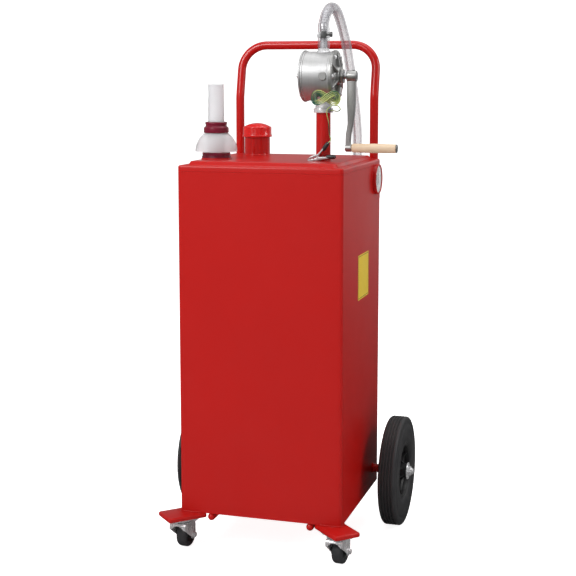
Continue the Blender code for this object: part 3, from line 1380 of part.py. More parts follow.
def nozzle_levels():
    """Heights along the nozzle: stock, head and the top of the head."""
    stock = INLET_LENGTH
    head = stock + STOCK_LENGTH
    return stock, head, head + HEAD_LENGTH


def nozzle_body():
    """Inlet swivel, stock, valve head and the bent guard round the trigger."""
    stock, head, top = nozzle_levels()
    where = nozzle_frame()
    step = INLET_RADIUS - STOCK_RADIUS
    profile = [(0.0, top), (SPOUT_SOCKET, top), (HEAD_RADIUS - BEAD, top - BEAD),
               (HEAD_RADIUS, top - 2 * BEAD), (HEAD_RADIUS, head + 2 * BEAD),
               (STOCK_RADIUS, head - BEAD), (STOCK_RADIUS, stock + step),
               (INLET_RADIUS, stock), (INLET_RADIUS, BEAD), (INLET_RADIUS - BEAD / 2, 0.0),
               (0.0, 0.0)]
    body = turned("nozzle_body", profile, "cast_aluminium", where, SMALL_STEPS + 4)
    guard_low = stock + GUARD_RADIUS * 2
    guard_top = head + HEAD_LENGTH / 2
    corners = [(-STOCK_RADIUS / 2, 0, guard_low), (-GUARD_REACH, 0, guard_low),
               (-GUARD_REACH, 0, guard_top), (-HEAD_RADIUS / 2, 0, guard_top)]
    guard = as_mesh(tube("nozzle_guard", rounded_path(corners, [GUARD_BEND] * 2, 5),
                         GUARD_RADIUS, None, 2, where))
    cap = rod("valve_cap", HEAD_CAP_RADIUS, HEAD_RADIUS - BEAD,
              HEAD_RADIUS + HEAD_CAP_LENGTH, None,
              where @ along_x((0, 0, head + HEAD_LENGTH / 2)), SMALL_STEPS,
              HEAD_CAP_RADIUS - BEAD)
    pivot = head - 2 * TRIGGER_PIN
    ear = box("trigger_ear", (-TRIGGER_OUT - TRIGGER_PIN, -TRIGGER_THICK / 2,
                              pivot - TRIGGER_PIN),
              (0, TRIGGER_THICK / 2, pivot + 2 * TRIGGER_PIN), None, where)
    bore = rod("spout_seat", SPOUT_RADIUS + GAP, top - SPOUT_SOCKET_LENGTH,
               top + OVERRUN, None, where)
    pin_hole = rod("trigger_pin_hole", PIN_RADIUS + GAP, -TRIGGER_THICK, TRIGGER_THICK,
                   None, where @ frame_at((-TRIGGER_OUT, 0, pivot), (0, 1, 0)), 12)
    add(body, guard, cap, ear)
    return cut(body, bore, pin_hole)


def nozzle_spout():
    """The outlet tube, bent away from the stock."""
    top = nozzle_levels()[2]
    low = top - SPOUT_SOCKET_LENGTH + GAP
    turn_at = top + SPOUT_STRAIGHT + SPOUT_BEND * math.tan(SPOUT_TURN / 2)
    reach = SPOUT_END + SPOUT_BEND * math.tan(SPOUT_TURN / 2)
    tip = (reach * math.sin(SPOUT_TURN), 0.0, turn_at + reach * math.cos(SPOUT_TURN))
    path = rounded_path([(0, 0, low), (0, 0, turn_at), tip], [SPOUT_BEND], 8)
    spout = as_mesh(tube("nozzle_spout", path, SPOUT_RADIUS, "bare_steel", 4,
                         nozzle_frame()))
    ahead = (path[-1] - path[-2]).normalized()
    bore = rod("spout_bore", SPOUT_RADIUS - SPOUT_WALL, -SPOUT_END * 0.8, OVERRUN, None,
               nozzle_frame() @ frame_at(path[-1], ahead), 16)
    return cut(spout, bore)


def nozzle_trigger():
    """The lever inside the guard: a channel on its pin under the valve head."""
    head = nozzle_levels()[1]
    pivot = head - 2 * TRIGGER_PIN
    ear = TRIGGER_THICK / 2 + GAP
    where = nozzle_frame()
    thick = TRIGGER_THICK / 2
    side = TRIGGER_PIN * 2
    outline = [(-TRIGGER_OUT - side, pivot + side / 2),
               (-TRIGGER_OUT - side, pivot - side),
               (-TRIGGER_OUT - 3 * thick, pivot - TRIGGER_LENGTH * 0.6),
               (-TRIGGER_OUT - side, pivot - TRIGGER_LENGTH),
               (-TRIGGER_OUT - side + thick, pivot - TRIGGER_LENGTH - thick),
               (-TRIGGER_OUT + thick, pivot - TRIGGER_LENGTH * 0.6),
               (-TRIGGER_OUT + side / 2, pivot - side),
               (-TRIGGER_OUT + side / 2, pivot + side / 2)]
    lever = flat("nozzle_trigger", outline, 2 * TRIGGER_HALF, "black_plastic",
                 where @ frame_at((0, TRIGGER_HALF, 0), (0, -1, 0)))
    slot = box("trigger_slot", (-TRIGGER_OUT - side - OVERRUN, -ear, pivot - 2 * side),
               (-TRIGGER_OUT + side, ear, pivot + side), None, where)
    pin = rod("trigger_pin", PIN_RADIUS, -TRIGGER_HALF - GAP, TRIGGER_HALF + GAP, None,
              where @ frame_at((-TRIGGER_OUT, 0, pivot), (0, 1, 0)), 12)
    cut(lever, slot)
    return add(lever, pin)


def nozzle_hook():
    """A rod hook on a foot plate; the nozzle's guard hangs on it."""
    head = nozzle_levels()[1]
    guard_top = NOZZLE_FOOT + GAP + head + HEAD_LENGTH / 2
    x = NOZZLE_X - (GUARD_REACH + HEAD_RADIUS) / 2
    z = guard_top - GUARD_RADIUS - GAP - HOOK_RADIUS
    tip = BACK + HOSE_BEHIND + GUARD_RADIUS + GAP + 2 * HOOK_RADIUS + HOOK_BEND
    start = BACK + GAP
    foot = box("nozzle_hook", (x - HOOK_FOOT_HALF, start, z - 2 * HOOK_FOOT_HALF),
               (x + HOOK_FOOT_HALF, start + HOOK_FOOT_THICK, z + HOOK_FOOT_HALF),
               "red_powder_coat")
    corners = [(x, start + HOOK_FOOT_THICK / 2, z), (x, tip, z), (x, tip, z + HOOK_LIP)]
    bar = as_mesh(tube("hook_bar", rounded_path(corners, [HOOK_BEND], 5), HOOK_RADIUS,
                       None, 3))
    return add(foot, bar)


# The earthing lead

def hank_points():
    """A butterfly hank: the wire spirals across one layer and back across the next."""
    points = []
    layer = HANK_TURNS / 2
    for index in range(HANK_TURNS * HANK_POINTS + 1):
        turn = index / HANK_POINTS
        angle = math.radians(135.0) + turn * math.tau
        swap = min(max((turn - layer) / HANK_SWAP, 0.0), 1.0)
        swap = swap * swap * (3 - 2 * swap)
        out = layer / 2 - turn
        if turn > layer + HANK_SWAP:
            out = turn - 1.5 * layer - 2 * HANK_SWAP
        along = Vector((math.cos(angle) * HANK_REACH, 0.0,
                        2 * math.cos(2 * angle) * HANK_DEEP)).normalized()
        side = Vector((-along.z, 0.0, along.x))
        middle = Vector((math.sin(angle) * HANK_REACH, 0.0,
                         math.sin(2 * angle) * HANK_DEEP))
        deep = HANK_PITCH * (HANK_LAYER * (0.5 - swap) - HANK_CROSS * math.cos(angle))
        points.append(middle + side * (out * HANK_PITCH) + Vector((0.0, deep, 0.0)))
    return points


def least_gap(points, radius, skip):
    """Least distance between two stretches of one wire, less its thickness."""
    places = np.array([tuple(point) for point in points])
    fine = np.concatenate([places[:-1] + (places[1:] - places[:-1]) * share
                           for share in (0.0, 0.25, 0.5, 0.75)])
    order = np.concatenate([np.arange(len(places) - 1) + share
                            for share in (0.0, 0.25, 0.5, 0.75)])
    apart = np.linalg.norm(fine[:, None, :] - fine[None, :, :], axis=2)
    near = np.abs(order[:, None] - order[None, :]) < skip
    apart[near] = np.inf
    return apart.min() - 2 * radius


def lug_spot():
    """Where the lead is screwed to the collar under the pump."""
    height = SHOULDER + PIPE_TOP + COLLAR_NUT_HEIGHT / 2
    angle = math.radians(-38.0)
    ahead = Vector((math.cos(angle), math.sin(angle), 0.0))
    return Vector((PIPE_X, PIPE_Y, height)), ahead


def earthing_lug():
    """A ring terminal under a small screw."""
    centre, ahead = lug_spot()
    face = COLLAR_NUT_RADIUS + GAP
    where = frame_at(centre + ahead * face, ahead, (0, 0, 1))
    lug = rod("earth_lug", LUG_RADIUS, 0.0, LUG_THICK, "bare_steel", where)
    screw = rod("lug_screw", LUG_SCREW_RADIUS, LUG_THICK / 2,
                LUG_THICK + LUG_SCREW_HEAD, None, where, 12)
    return add(lug, screw)


def clip_pivot():
    """The clip's pin, just above the lid in front of the standpipe."""
    tip = CLIP_JAW * math.sin(CLIP_TILT) + CLIP_SHEET * 1.2 * math.cos(CLIP_TILT)
    return Vector((PIPE_X - CLIP_LEFT, PIPE_Y - CLIP_FORWARD,
                   PANEL_TOP + 2 * GAP + max(tip, CLIP_DEEP)))


def earth_lead():
    """The lead from the lug into the hank, and its tail down to the clip."""
    hank_middle = Vector((PIPE_X + HANK_SHIFT, PIPE_Y - HANK_FORWARD, SHAFT_Z - HANK_DROP))
    turns = [hank_middle + point for point in hank_points()]
    centre, ahead = lug_spot()
    face = COLLAR_NUT_RADIUS + LUG_THICK + LUG_SCREW_HEAD + 3 * GAP
    start = centre + ahead * face
    first = turns[0]
    lead = smooth_path([start, start + ahead * 0.007,
                        first + Vector((0.002, 0.013, -0.014)),
                        first + Vector((0.0115, 0.0045, -0.0095)),
                        first + Vector((0.008, 0.0006, -0.0018)), first],
                       WIRE_RADIUS * 3)
    whole = lead + turns[1:]
    gap = least_gap(whole, WIRE_RADIUS, 5)
    print("earth hank least gap to itself %.2f mm, length %.3f m"
          % (gap * 1000, path_length(whole)))
    tube("earth_hank", whole, WIRE_RADIUS, "wire_sheath", 1)

    away = (whole[-1] - whole[-2]).normalized()
    begin = whole[-1] + away * GAP * 2
    grip = clip_grip_end()
    drop_x = PIPE_X + PIPE_RADIUS + 2 * WIRE_RADIUS
    drop_y = PIPE_Y - CLIP_FORWARD + 0.006
    knots = [begin, begin + away * 0.007 + Vector((0, 0, -0.0008)),
             (PIPE_X + 0.024, begin.y + 0.004, begin.z - 0.014),
             (drop_x + 0.001, drop_y - 0.012, begin.z - 0.042),
             (drop_x, drop_y, begin.z - 0.068), (grip.x + 0.006, grip.y + 0.001,
                                                 grip.z + 0.008), grip]
    tail = smooth_path(knots, WIRE_RADIUS * 4)
    print("earth tail length %.3f m" % path_length(tail))
    tube("earth_tail", tail, WIRE_RADIUS, "wire_sheath", 1)


def clip_grip_end():
    """Where the lead enters the upper grip of the clip."""
    lean = 2 * CLIP_TILT + CLIP_SPREAD
    reach = CLIP_GRIP + 2 * GAP
    return clip_pivot() + Vector((reach * math.cos(lean), 0.0, reach * math.sin(lean)))


def clip_half(name, upper):
    """One half of the spring clip: a jaw with a hooked nose, and a grip."""
    flip = 1 if upper else -1
    nose = CLIP_JAW
    lean = CLIP_SPREAD + (CLIP_TILT if upper else -CLIP_TILT)
    grip = Vector((math.cos(lean), flip * math.sin(lean)))
    out = Vector((-grip.y, grip.x)) * flip
    belly = CLIP_DEEP - GAP
    heel = nose * 0.20
    swing = math.tan(CLIP_OPEN + math.radians(3.0)) * heel if upper else 0.0
    outline = [(-nose, flip * GAP), (-nose, flip * CLIP_SHEET * 1.2),
               (-nose * 0.80, flip * CLIP_SHEET * 1.7), (-nose * 0.30, flip * belly),
               (nose * 0.10, flip * belly), tuple(grip * CLIP_GRIP + out * CLIP_SHEET * 0.5),
               tuple(grip * CLIP_GRIP - out * CLIP_SHEET * 0.5),
               tuple(grip * (CLIP_GRIP * 0.30) - out * CLIP_SHEET * 0.2),
               (heel, flip * GAP + swing), (0.0, flip * GAP), (-nose * 0.30, flip * GAP),
               (-nose * 0.45, flip * CLIP_SHEET), (-nose * 0.80, flip * CLIP_SHEET),
               (-nose * 0.85, flip * GAP)]
    turn = Matrix.Rotation(-CLIP_TILT, 4, 'Y')
    where = Matrix.Translation(clip_pivot()) @ turn
    return flat(name, outline, 2 * CLIP_HALF, "zinc",
                where @ frame_at((0, CLIP_HALF, 0), (0, -1, 0)))


def earth_clip():
    lower = clip_half("clip_lower", False)
    upper = clip_half("clip_upper", True)
    return lower, upper


def build():
    clear_scene()
    tank_shell()
    tank_top()
    tank_bottom()
    axle_sleeve()
    rails()
    caster_plates()
    casters()
    rear_wheels()
    axle()
    handle()
    handle_bracket()
    handle_bolts()
    filler_neck()
    filler_cap()
    float_gauge()
    level_dial()
    standpipe()
    inlet_collar()
    pump_body()
    pump_covers()
    gland_nut()
    pump_rotor()
    crank_arm()
    crank_grip()
    hose()
    hose_clamp()
    nozzle_body()
    nozzle_spout()
    nozzle_trigger()
    nozzle_hook()
    earthing_lug()
    earth_lead()
    earth_clip()
    bpy.context.view_layer.update()


build()
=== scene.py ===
"""Looks of a wheeled fuel caddy, laid out as an add-on. Each operator models and finishes
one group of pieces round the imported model: a red sheet-steel tank with its lid, casters and
wheels, a handle, a filler, a float gauge, a level dial, a rotary hand pump with its crank,
a clear hose with a nozzle, and an earthing lead with its clip. Metres, +Z up."""

import math

import bmesh
import bpy
from bpy.props import FloatProperty, FloatVectorProperty, IntProperty, PointerProperty
from bpy.types import Operator, Panel, PropertyGroup
from mathutils import Matrix, Vector


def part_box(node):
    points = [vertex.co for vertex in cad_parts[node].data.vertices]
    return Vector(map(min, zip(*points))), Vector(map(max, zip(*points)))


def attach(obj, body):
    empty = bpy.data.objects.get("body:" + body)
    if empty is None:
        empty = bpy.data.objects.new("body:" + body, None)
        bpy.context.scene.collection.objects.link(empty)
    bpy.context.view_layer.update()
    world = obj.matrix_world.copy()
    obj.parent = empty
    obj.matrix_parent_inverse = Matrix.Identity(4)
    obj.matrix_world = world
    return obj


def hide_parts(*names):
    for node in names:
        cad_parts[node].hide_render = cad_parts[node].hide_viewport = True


bl_info = {
    "name": "Fuel caddy looks",
    "version": (1, 0, 0),
    "blender": (4, 5, 0),
    "location": "3D View > Sidebar > Caddy",
    "description": "Models and finishes the pieces of a wheeled fuel caddy",
    "category": "Object",
}

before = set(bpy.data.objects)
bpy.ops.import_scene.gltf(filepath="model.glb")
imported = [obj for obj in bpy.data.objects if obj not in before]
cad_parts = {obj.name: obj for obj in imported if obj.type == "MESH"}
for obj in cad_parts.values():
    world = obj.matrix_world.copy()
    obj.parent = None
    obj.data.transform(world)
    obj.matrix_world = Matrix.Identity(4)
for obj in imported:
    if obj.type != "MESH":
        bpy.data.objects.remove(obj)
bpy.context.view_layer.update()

# Workshop values
MERGE = 0.00002            # points nearer than this are one point
SEED = 0.01                # side of the plane that a drawn outline starts from
OVERRUN = 0.004            # how far a cutter runs past what it cuts
SHARP = 32.0               # edges sharper than this many degrees stay sharp
TAU = math.tau


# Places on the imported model

def low(node):
    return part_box(node)[0]


def high(node):
    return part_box(node)[1]


def centre(node):
    return (low(node) + high(node)) / 2


def across(node):
    return high(node) - low(node)


def frame_at(origin, z_axis, x_axis=(1, 0, 0)):
    """A matrix at a point with the given Z axis and, as nearly as it can, the X axis."""
    up = Vector(z_axis).normalized()
    side = Vector(x_axis)
    side = (side - up * side.dot(up)).normalized()
    turn = Matrix((side, up.cross(side), up)).transposed().to_4x4()
    return Matrix.Translation(Vector(origin)) @ turn


def along_x(origin, side=1):
    """A frame whose local Z runs along the world's X and whose local X points up."""
    return frame_at(origin, (side, 0, 0), (0, 0, 1))


def at(origin):
    return Matrix.Translation(Vector(origin))


def turned(angle, axis='Z'):
    return Matrix.Rotation(angle, 4, axis)


# Modelling steps, each a few of Blender's own tools

def deselect():
    if bpy.context.object and bpy.context.object.mode != 'OBJECT':
        bpy.ops.object.mode_set(mode='OBJECT')
    bpy.ops.object.select_all(action='DESELECT')


def take(piece):
    """Make a piece the only selected object and the active one."""
    deselect()
    piece.select_set(True)
    bpy.context.view_layer.objects.active = piece
    return piece


def named(name):
    piece = bpy.context.object
    piece.name = name
    piece.data.name = name
    return piece


def settle(piece, place=None):
    """Put a piece in its place and keep the place in its mesh."""
    take(piece)
    if place is not None:
        piece.matrix_world = place @ piece.matrix_world
    bpy.ops.object.transform_apply(location=True, rotation=True, scale=True)
    return piece


def edit(piece):
    take(piece)
    bpy.ops.object.mode_set(mode='EDIT')


def pick(kind, test):
    """Select, in edit mode, the points, edges or faces that pass a test."""
    bpy.ops.mesh.select_mode(type=kind)
    bpy.ops.mesh.select_all(action='DESELECT')
    mesh = bpy.context.object.data
    shape = bmesh.from_edit_mesh(mesh)
    for item in {'VERT': shape.verts, 'EDGE': shape.edges, 'FACE': shape.faces}[kind]:
        if test(item):
            item.select_set(True)
    bmesh.update_edit_mesh(mesh)


def close_up():
    """Merge doubled points and turn all faces outwards, in edit mode."""
    bpy.ops.mesh.select_mode(type='VERT')
    bpy.ops.mesh.select_all(action='SELECT')
    bpy.ops.mesh.remove_doubles(threshold=MERGE)
    bpy.ops.mesh.normals_make_consistent(inside=False)


def draw(name, points):
    """Extrude one point along the given places, and stay in edit mode."""
    deselect()
    bpy.ops.mesh.primitive_plane_add(size=SEED, location=(0, 0, 0))
    piece = named(name)
    bpy.ops.object.mode_set(mode='EDIT')
    bpy.ops.mesh.select_mode(type='VERT')
    bpy.ops.mesh.select_all(action='SELECT')
    bpy.ops.mesh.merge(type='CENTER')
    here = Vector(points[0])
    bpy.ops.transform.translate(value=here)
    for point in points[1:]:
        extrude(Vector(point) - here)
        here = Vector(point)
    return piece


def extrude(move):
    bpy.ops.mesh.extrude_region_move(TRANSFORM_OT_translate={"value": move})


def join_ends():
    pick('VERT', lambda point: len(point.link_edges) == 1)
    bpy.ops.mesh.edge_face_add()


def fill_outline():
    """Close a drawn outline and put a face in it, in edit mode."""
    join_ends()
    bpy.ops.mesh.select_all(action='SELECT')
    bpy.ops.mesh.edge_face_add()


def lathe(name, profile, place, steps, closed=False):
    """A turned piece: a (radius, height) profile spun round local Z."""
    piece = draw(name, [(radius, 0.0, height) for radius, height in profile])
    if closed:
        join_ends()
    bpy.ops.mesh.select_all(action='SELECT')
    bpy.ops.mesh.spin(steps=steps, angle=TAU, center=(0, 0, 0), axis=(0, 0, 1))
    close_up()
    return settle(piece, place)


def plate(name, outline, thickness, place):
    """A flat outline in local XY, extruded up from local z = 0."""
    piece = draw(name, [(x, y, 0.0) for x, y in outline])
    fill_outline()
    extrude((0, 0, thickness))
    close_up()
    return settle(piece, place)


def block(name, corner, other, place=None):
    corner = Vector(corner)
    other = Vector(other)
    deselect()
    bpy.ops.mesh.primitive_cube_add(size=1.0, location=(corner + other) / 2)
    piece = named(name)
    piece.scale = other - corner
    return settle(settle(piece), place)


def bent_rod(name, points, radius, rings):
    """A bar bent along a path, from a curve with a round bevel and filled ends."""
    deselect()
    bpy.ops.curve.primitive_nurbs_path_add(location=(0, 0, 0))
    piece = named(name)
    curve = piece.data
    curve.splines.clear()
    line = curve.splines.new('POLY')
    line.points.add(len(points) - 1)
    for point, where in zip(line.points, points):
        point.co = (*where, 1.0)
    curve.bevel_depth = radius
    curve.bevel_resolution = rings
    curve.use_fill_caps = True
    bpy.ops.object.convert(target='MESH')
    edit(piece)
    close_up()
    return settle(piece)


def apply_all(piece):
    take(piece)
    for modifier in list(piece.modifiers):
        bpy.ops.object.modifier_apply(modifier=modifier.name)
    return piece


def soften(piece, width, segments, angle=40.0):
    """Round the edges that are sharper than an angle."""
    rounding = piece.modifiers.new("rounding", 'BEVEL')
    rounding.width = width
    rounding.segments = segments
    rounding.limit_method = 'ANGLE'
    rounding.angle_limit = math.radians(angle)
    rounding.use_clamp_overlap = True
    return apply_all(piece)


def thicken(piece, wall):
    sheet = piece.modifiers.new("sheet", 'SOLIDIFY')
    sheet.thickness = wall
    sheet.offset = -1.0
    sheet.use_even_offset = True
    return apply_all(piece)


def shape_with(piece, tool, operation):
    """Cut, join or trim a piece with a tool piece, which is then removed."""
    step = piece.modifiers.new(operation, 'BOOLEAN')
    step.operation = operation
    step.solver = 'EXACT'
    step.object = tool
    apply_all(piece)
    drop(tool)
    return piece


def cut(piece, *tools):
    for tool in tools:
        shape_with(piece, tool, 'DIFFERENCE')
    return piece


def gather(name, pieces):
    """Join pieces of one finish into one object."""
    deselect()
    for piece in pieces:
        piece.select_set(True)
    bpy.context.view_layer.objects.active = pieces[0]
    bpy.ops.object.join()
    return named(name)


def copy_to(piece, name, place):
    """A copy with its own mesh, moved by a matrix."""
    twin = piece.copy()
    twin.data = piece.data.copy()
    twin.name = name
    twin.data.name = name
    bpy.context.scene.collection.objects.link(twin)
    return settle(twin, place)


def hex_bar(name, half_flats, tall, place, rounding, segments=2):
    """A hexagonal head or nut along local Z, with softened edges."""
    return soften(plate(name, hex_outline(half_flats), tall, place), rounding, segments)


def all_round(piece, count, start=0.0):
    """Copies of a piece turned evenly round the world's Z axis, joined."""
    name = piece.name
    copies = [copy_to(piece, "%s_%02d" % (name, index),
                      turned(start + index * TAU / count))
              for index in range(count)]
    drop(piece)
    return gather(name, copies)


def drop(*pieces):
    for piece in pieces:
        bpy.data.objects.remove(piece, do_unlink=True)


def wear(piece, look):
    piece.data.materials.clear()
    piece.data.materials.append(bpy.data.materials[look])


def mount(piece, look, body, *stands_for, slot=None, angle=SHARP):
    """Shade and finish a piece, and let it ride in place of the nodes it stands for."""
    take(piece)
    bpy.ops.object.shade_smooth_by_angle(angle=math.radians(angle))
    wear(piece, look)
    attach(piece, body)
    if stands_for:
        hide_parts(*stands_for)
    return piece


def repaint(node, look):
    """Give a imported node, which stays as it is, a better finish."""
    wear(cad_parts[node], look)


# Outlines and paths

def arc(middle, radius, start, end, count):
    """Points on an arc, angles in degrees, as (x, y) pairs."""
    turns = [math.radians(start + (end - start) * step / count) for step in range(count + 1)]
    return [(middle[0] + radius * math.cos(turn), middle[1] + radius * math.sin(turn))
            for turn in turns]


def rounded_rectangle(width, height, radius, middle=(0.0, 0.0)):
    outline = []
    for index, (sx, sy) in enumerate(((1, 1), (-1, 1), (-1, -1), (1, -1))):
        corner = (middle[0] + sx * (width / 2 - radius), middle[1] + sy * (height / 2 - radius))
        outline += arc(corner, radius, index * 90, index * 90 + 90, 6)
    return outline


def hex_outline(half_flats):
    corner = half_flats / math.cos(math.pi / 6)
    return [(corner * math.cos((index + 0.5) * TAU / 6),
             corner * math.sin((index + 0.5) * TAU / 6)) for index in range(6)]


def ring_outline(inner, outer, bottom, top):
    """The profile of a plain ring or, from a radius of 0, of a plain disc or pin."""
    return [(inner, top), (outer, top), (outer, bottom), (inner, bottom)]


def mirrored(half):
    """The mirror image, at heights below 0, that ends a profile begun with its upper half."""
    return [(radius, -height) for radius, height in reversed(half)]


def rounded_path(corners, radii, count):
    """A path through corners, each rounded to its radius."""
    points = [Vector(corners[0])]
    for before, here, after, radius in zip(corners, corners[1:], corners[2:], radii):
        here = Vector(here)
        back = (Vector(before) - here).normalized()
        ahead = (Vector(after) - here).normalized()
        half = back.angle(ahead) / 2
        middle = here + (back + ahead).normalized() * (radius / math.sin(half))
        start = here + back * (radius / math.tan(half)) - middle
        end = here + ahead * (radius / math.tan(half)) - middle
        for step in range(count + 1):
            way = start.normalized().slerp(end.normalized(), step / count)
            points.append(middle + way * radius)
    points.append(Vector(corners[-1]))
    return points


def smooth_path(knots, spacing):
    """Points a set distance apart on a smooth curve through the knots."""
    ends = [2 * Vector(knots[0]) - Vector(knots[1])]
    ends += [Vector(knot) for knot in knots]
    ends.append(2 * Vector(knots[-1]) - Vector(knots[-2]))
    fine = []
    for a, b, c, d in zip(ends, ends[1:], ends[2:], ends[3:]):
        for step in range(40):
            t = step / 40
            fine.append(0.5 * ((2 * b) + (c - a) * t + (2 * a - 5 * b + 4 * c - d) * t ** 2
                               + (3 * b - a - 3 * c + d) * t ** 3))
    fine.append(Vector(knots[-1]))
    whole = path_length(fine)
    count = max(2, round(whole / spacing))
    points = [fine[0]]
    walked = 0.0
    for first, second in zip(fine, fine[1:]):
        step = (second - first).length
        while len(points) < count and walked + step >= len(points) * whole / count:
            share = (len(points) * whole / count - walked) / step
            points.append(first.lerp(second, share))
        walked += step
    points.append(fine[-1])
    return points


def path_length(points):
    return sum((second - first).length for first, second in zip(points, points[1:]))


def swept(name, points, radii, sides, inner=None):
    """A tube along a path whose UV map runs round it and, in metres, along it. With an
    inner radius it is a pipe with its bore and both end faces."""
    shape = bmesh.new()
    layer = shape.loops.layers.uv.new("UVMap")
    ahead = (points[1] - points[0]).normalized()
    side = ahead.orthogonal().normalized()
    walked = 0.0
    rings = {"outer": [], "inner": []}
    lengths = []
    turns = [TAU * step / sides for step in range(sides)]
    for index, point in enumerate(points):
        before = points[max(index - 1, 0)]
        after = points[min(index + 1, len(points) - 1)]
        way = (after - before).normalized()
        side = (ahead.rotation_difference(way) @ side).normalized()
        ahead = way
        up = way.cross(side)
        walked += (point - before).length
        lengths.append(walked)
        for which, radius in (("outer", radii[index]), ("inner", inner)):
            if radius is not None:
                ring = [point + (side * math.cos(turn) + up * math.sin(turn)) * radius
                        for turn in turns]
                rings[which].append([shape.verts.new(place) for place in ring])
    for which, flip in (("outer", False), ("inner", True)):
        for index, (ring, follow) in enumerate(zip(rings[which], rings[which][1:])):
            for step in range(sides):
                after = (step + 1) % sides
                corners = [(ring[step], step, index), (ring[after], step + 1, index),
                           (follow[after], step + 1, index + 1), (follow[step], step, index + 1)]
                corners = corners[::-1] if flip else corners
                face = shape.faces.new([corner[0] for corner in corners])
                for loop, corner in zip(face.loops, corners):
                    loop[layer].uv = (corner[1] / sides, lengths[corner[2]])
    for where, flip in ((0, True), (-1, False)):
        ring = rings["outer"][where]
        if inner is None:
            shape.faces.new(ring[::-1] if flip else ring)
            continue
        hole = rings["inner"][where]
        for step in range(sides):
            after = (step + 1) % sides
            corners = [ring[step], ring[after], hole[after], hole[step]]
            shape.faces.new(corners[::-1] if flip else corners)
    mesh = bpy.data.meshes.new(name)
    shape.to_mesh(mesh)
    shape.free()
    piece = bpy.data.objects.new(name, mesh)
    bpy.context.scene.collection.objects.link(piece)
    return piece


# Shared shader groups, each built once

def new_group(name, inputs, outputs):
    group = bpy.data.node_groups.new(name, 'ShaderNodeTree')
    for label, kind, value in inputs:
        socket = group.interface.new_socket(name=label, in_out='INPUT', socket_type=kind)
        socket.default_value = value
    for label, kind in outputs:
        group.interface.new_socket(name=label, in_out='OUTPUT', socket_type=kind)
    return group, group.nodes.new('NodeGroupInput'), group.nodes.new('NodeGroupOutput')


def node(tree, kind, feeds=None, **settings):
    """A node with its settings, and links or values for its inputs."""
    made = tree.nodes.new(kind)
    for key, value in settings.items():
        setattr(made, key, value)
    for key, value in (feeds or {}).items():
        if isinstance(value, bpy.types.NodeSocket):
            tree.links.new(value, made.inputs[key])
        else:
            made.inputs[key].default_value = value
    return made


def noise(tree, vector, scale, detail, rough=0.5):
    feeds = {"Vector": vector, "Scale": scale, "Detail": detail, "Roughness": rough}
    return node(tree, 'ShaderNodeTexNoise', feeds).outputs["Fac"]


def spread(tree, value, to_low, to_high, from_low=0.0, from_high=1.0):
    feeds = {"Value": value, "From Min": from_low, "From Max": from_high,
             "To Min": to_low, "To Max": to_high}
    return node(tree, 'ShaderNodeMapRange', feeds).outputs["Result"]


def maths(tree, operation, *values):
    return node(tree, 'ShaderNodeMath', dict(enumerate(values)), operation=operation).outputs[0]


def mix(tree, share, first, second):
    made = node(tree, 'ShaderNodeMix', {0: share, 6: first, 7: second}, data_type='RGBA')
    return made.outputs[2]


def stretched(tree, vector, stretch):
    return node(tree, 'ShaderNodeVectorMath', {0: vector, 1: stretch},
                operation='MULTIPLY').outputs[0]


def object_place(tree):
    return node(tree, 'ShaderNodeTexCoord').outputs["Object"]


def give(group, out, colour, rough, height):
    """Link a skin's three results to its group's outputs."""
    for label, value in (("Colour", colour), ("Roughness", rough), ("Height", height)):
        group.links.new(value, out.inputs[label])


def set_inputs(made, values):
    for label, value in values.items():
        made.inputs[label].default_value = value


SKIN_OUT = (("Colour", 'NodeSocketColor'), ("Roughness", 'NodeSocketFloat'),
            ("Height", 'NodeSocketFloat'))
COLOUR_IN = ("Colour", 'NodeSocketColor', (0.5, 0.5, 0.5, 1.0))


def coat_group():
    """Sprayed and baked powder coat: orange peel, faint mottle and handling marks."""
    group, given, out = new_group("powder_coat_skin", (
        COLOUR_IN, ("Peel", 'NodeSocketFloat', 260.0), ("Mottle", 'NodeSocketFloat', 0.06),
        ("Gloss", 'NodeSocketFloat', 0.3)), SKIN_OUT)
    place = object_place(group)
    cloud = spread(group, noise(group, place, 5.0, 3.0), -1.0, 1.0, 0.3, 0.7)
    tone = maths(group, 'MULTIPLY_ADD', cloud, given.outputs["Mottle"], 1.0)
    shade = node(group, 'ShaderNodeHueSaturation',
                 {"Color": given.outputs["Colour"], "Value": tone})
    smear = spread(group, noise(group, place, 7.0, 3.0), 0.0, 0.04, 0.45, 0.75)
    rough = maths(group, 'ADD', given.outputs["Gloss"], smear)
    peel = noise(group, place, given.outputs["Peel"], 1.0)
    fine = maths(group, 'MULTIPLY', noise(group, place, 1500.0, 1.0), 0.18)
    give(group, out, shade.outputs["Color"], rough, maths(group, 'ADD', peel, fine))


def metal_group():
    """Worked metal: fine lines along one way, soft blotches and a little tarnish."""
    group, given, out = new_group("worked_metal_skin", (
        COLOUR_IN, ("Lines", 'NodeSocketVector', (60.0, 60.0, 60.0)),
        ("Contrast", 'NodeSocketFloat', 0.25), ("Gloss", 'NodeSocketFloat', 0.25)), SKIN_OUT)
    place = object_place(group)
    lines = noise(group, stretched(group, place, given.outputs["Lines"]), 1.0, 4.0, 0.7)
    blotch = noise(group, place, 38.0, 4.0, 0.6)
    dark = spread(group, lines, 1.0, 0.0, 0.35, 0.65)
    amount = maths(group, 'MULTIPLY', dark, given.outputs["Contrast"])
    shade = mix(group, amount, given.outputs["Colour"], (0.16, 0.16, 0.165, 1.0))
    stain = spread(group, blotch, 0.0, 0.18, 0.52, 0.8)
    shade = mix(group, stain, shade, (0.3, 0.29, 0.27, 1.0))
    rough = maths(group, 'ADD', given.outputs["Gloss"], spread(group, lines, 0.0, 0.16))
    rough = maths(group, 'ADD', rough, spread(group, blotch, 0.0, 0.12, 0.4, 0.8))
    give(group, out, shade, rough, lines)


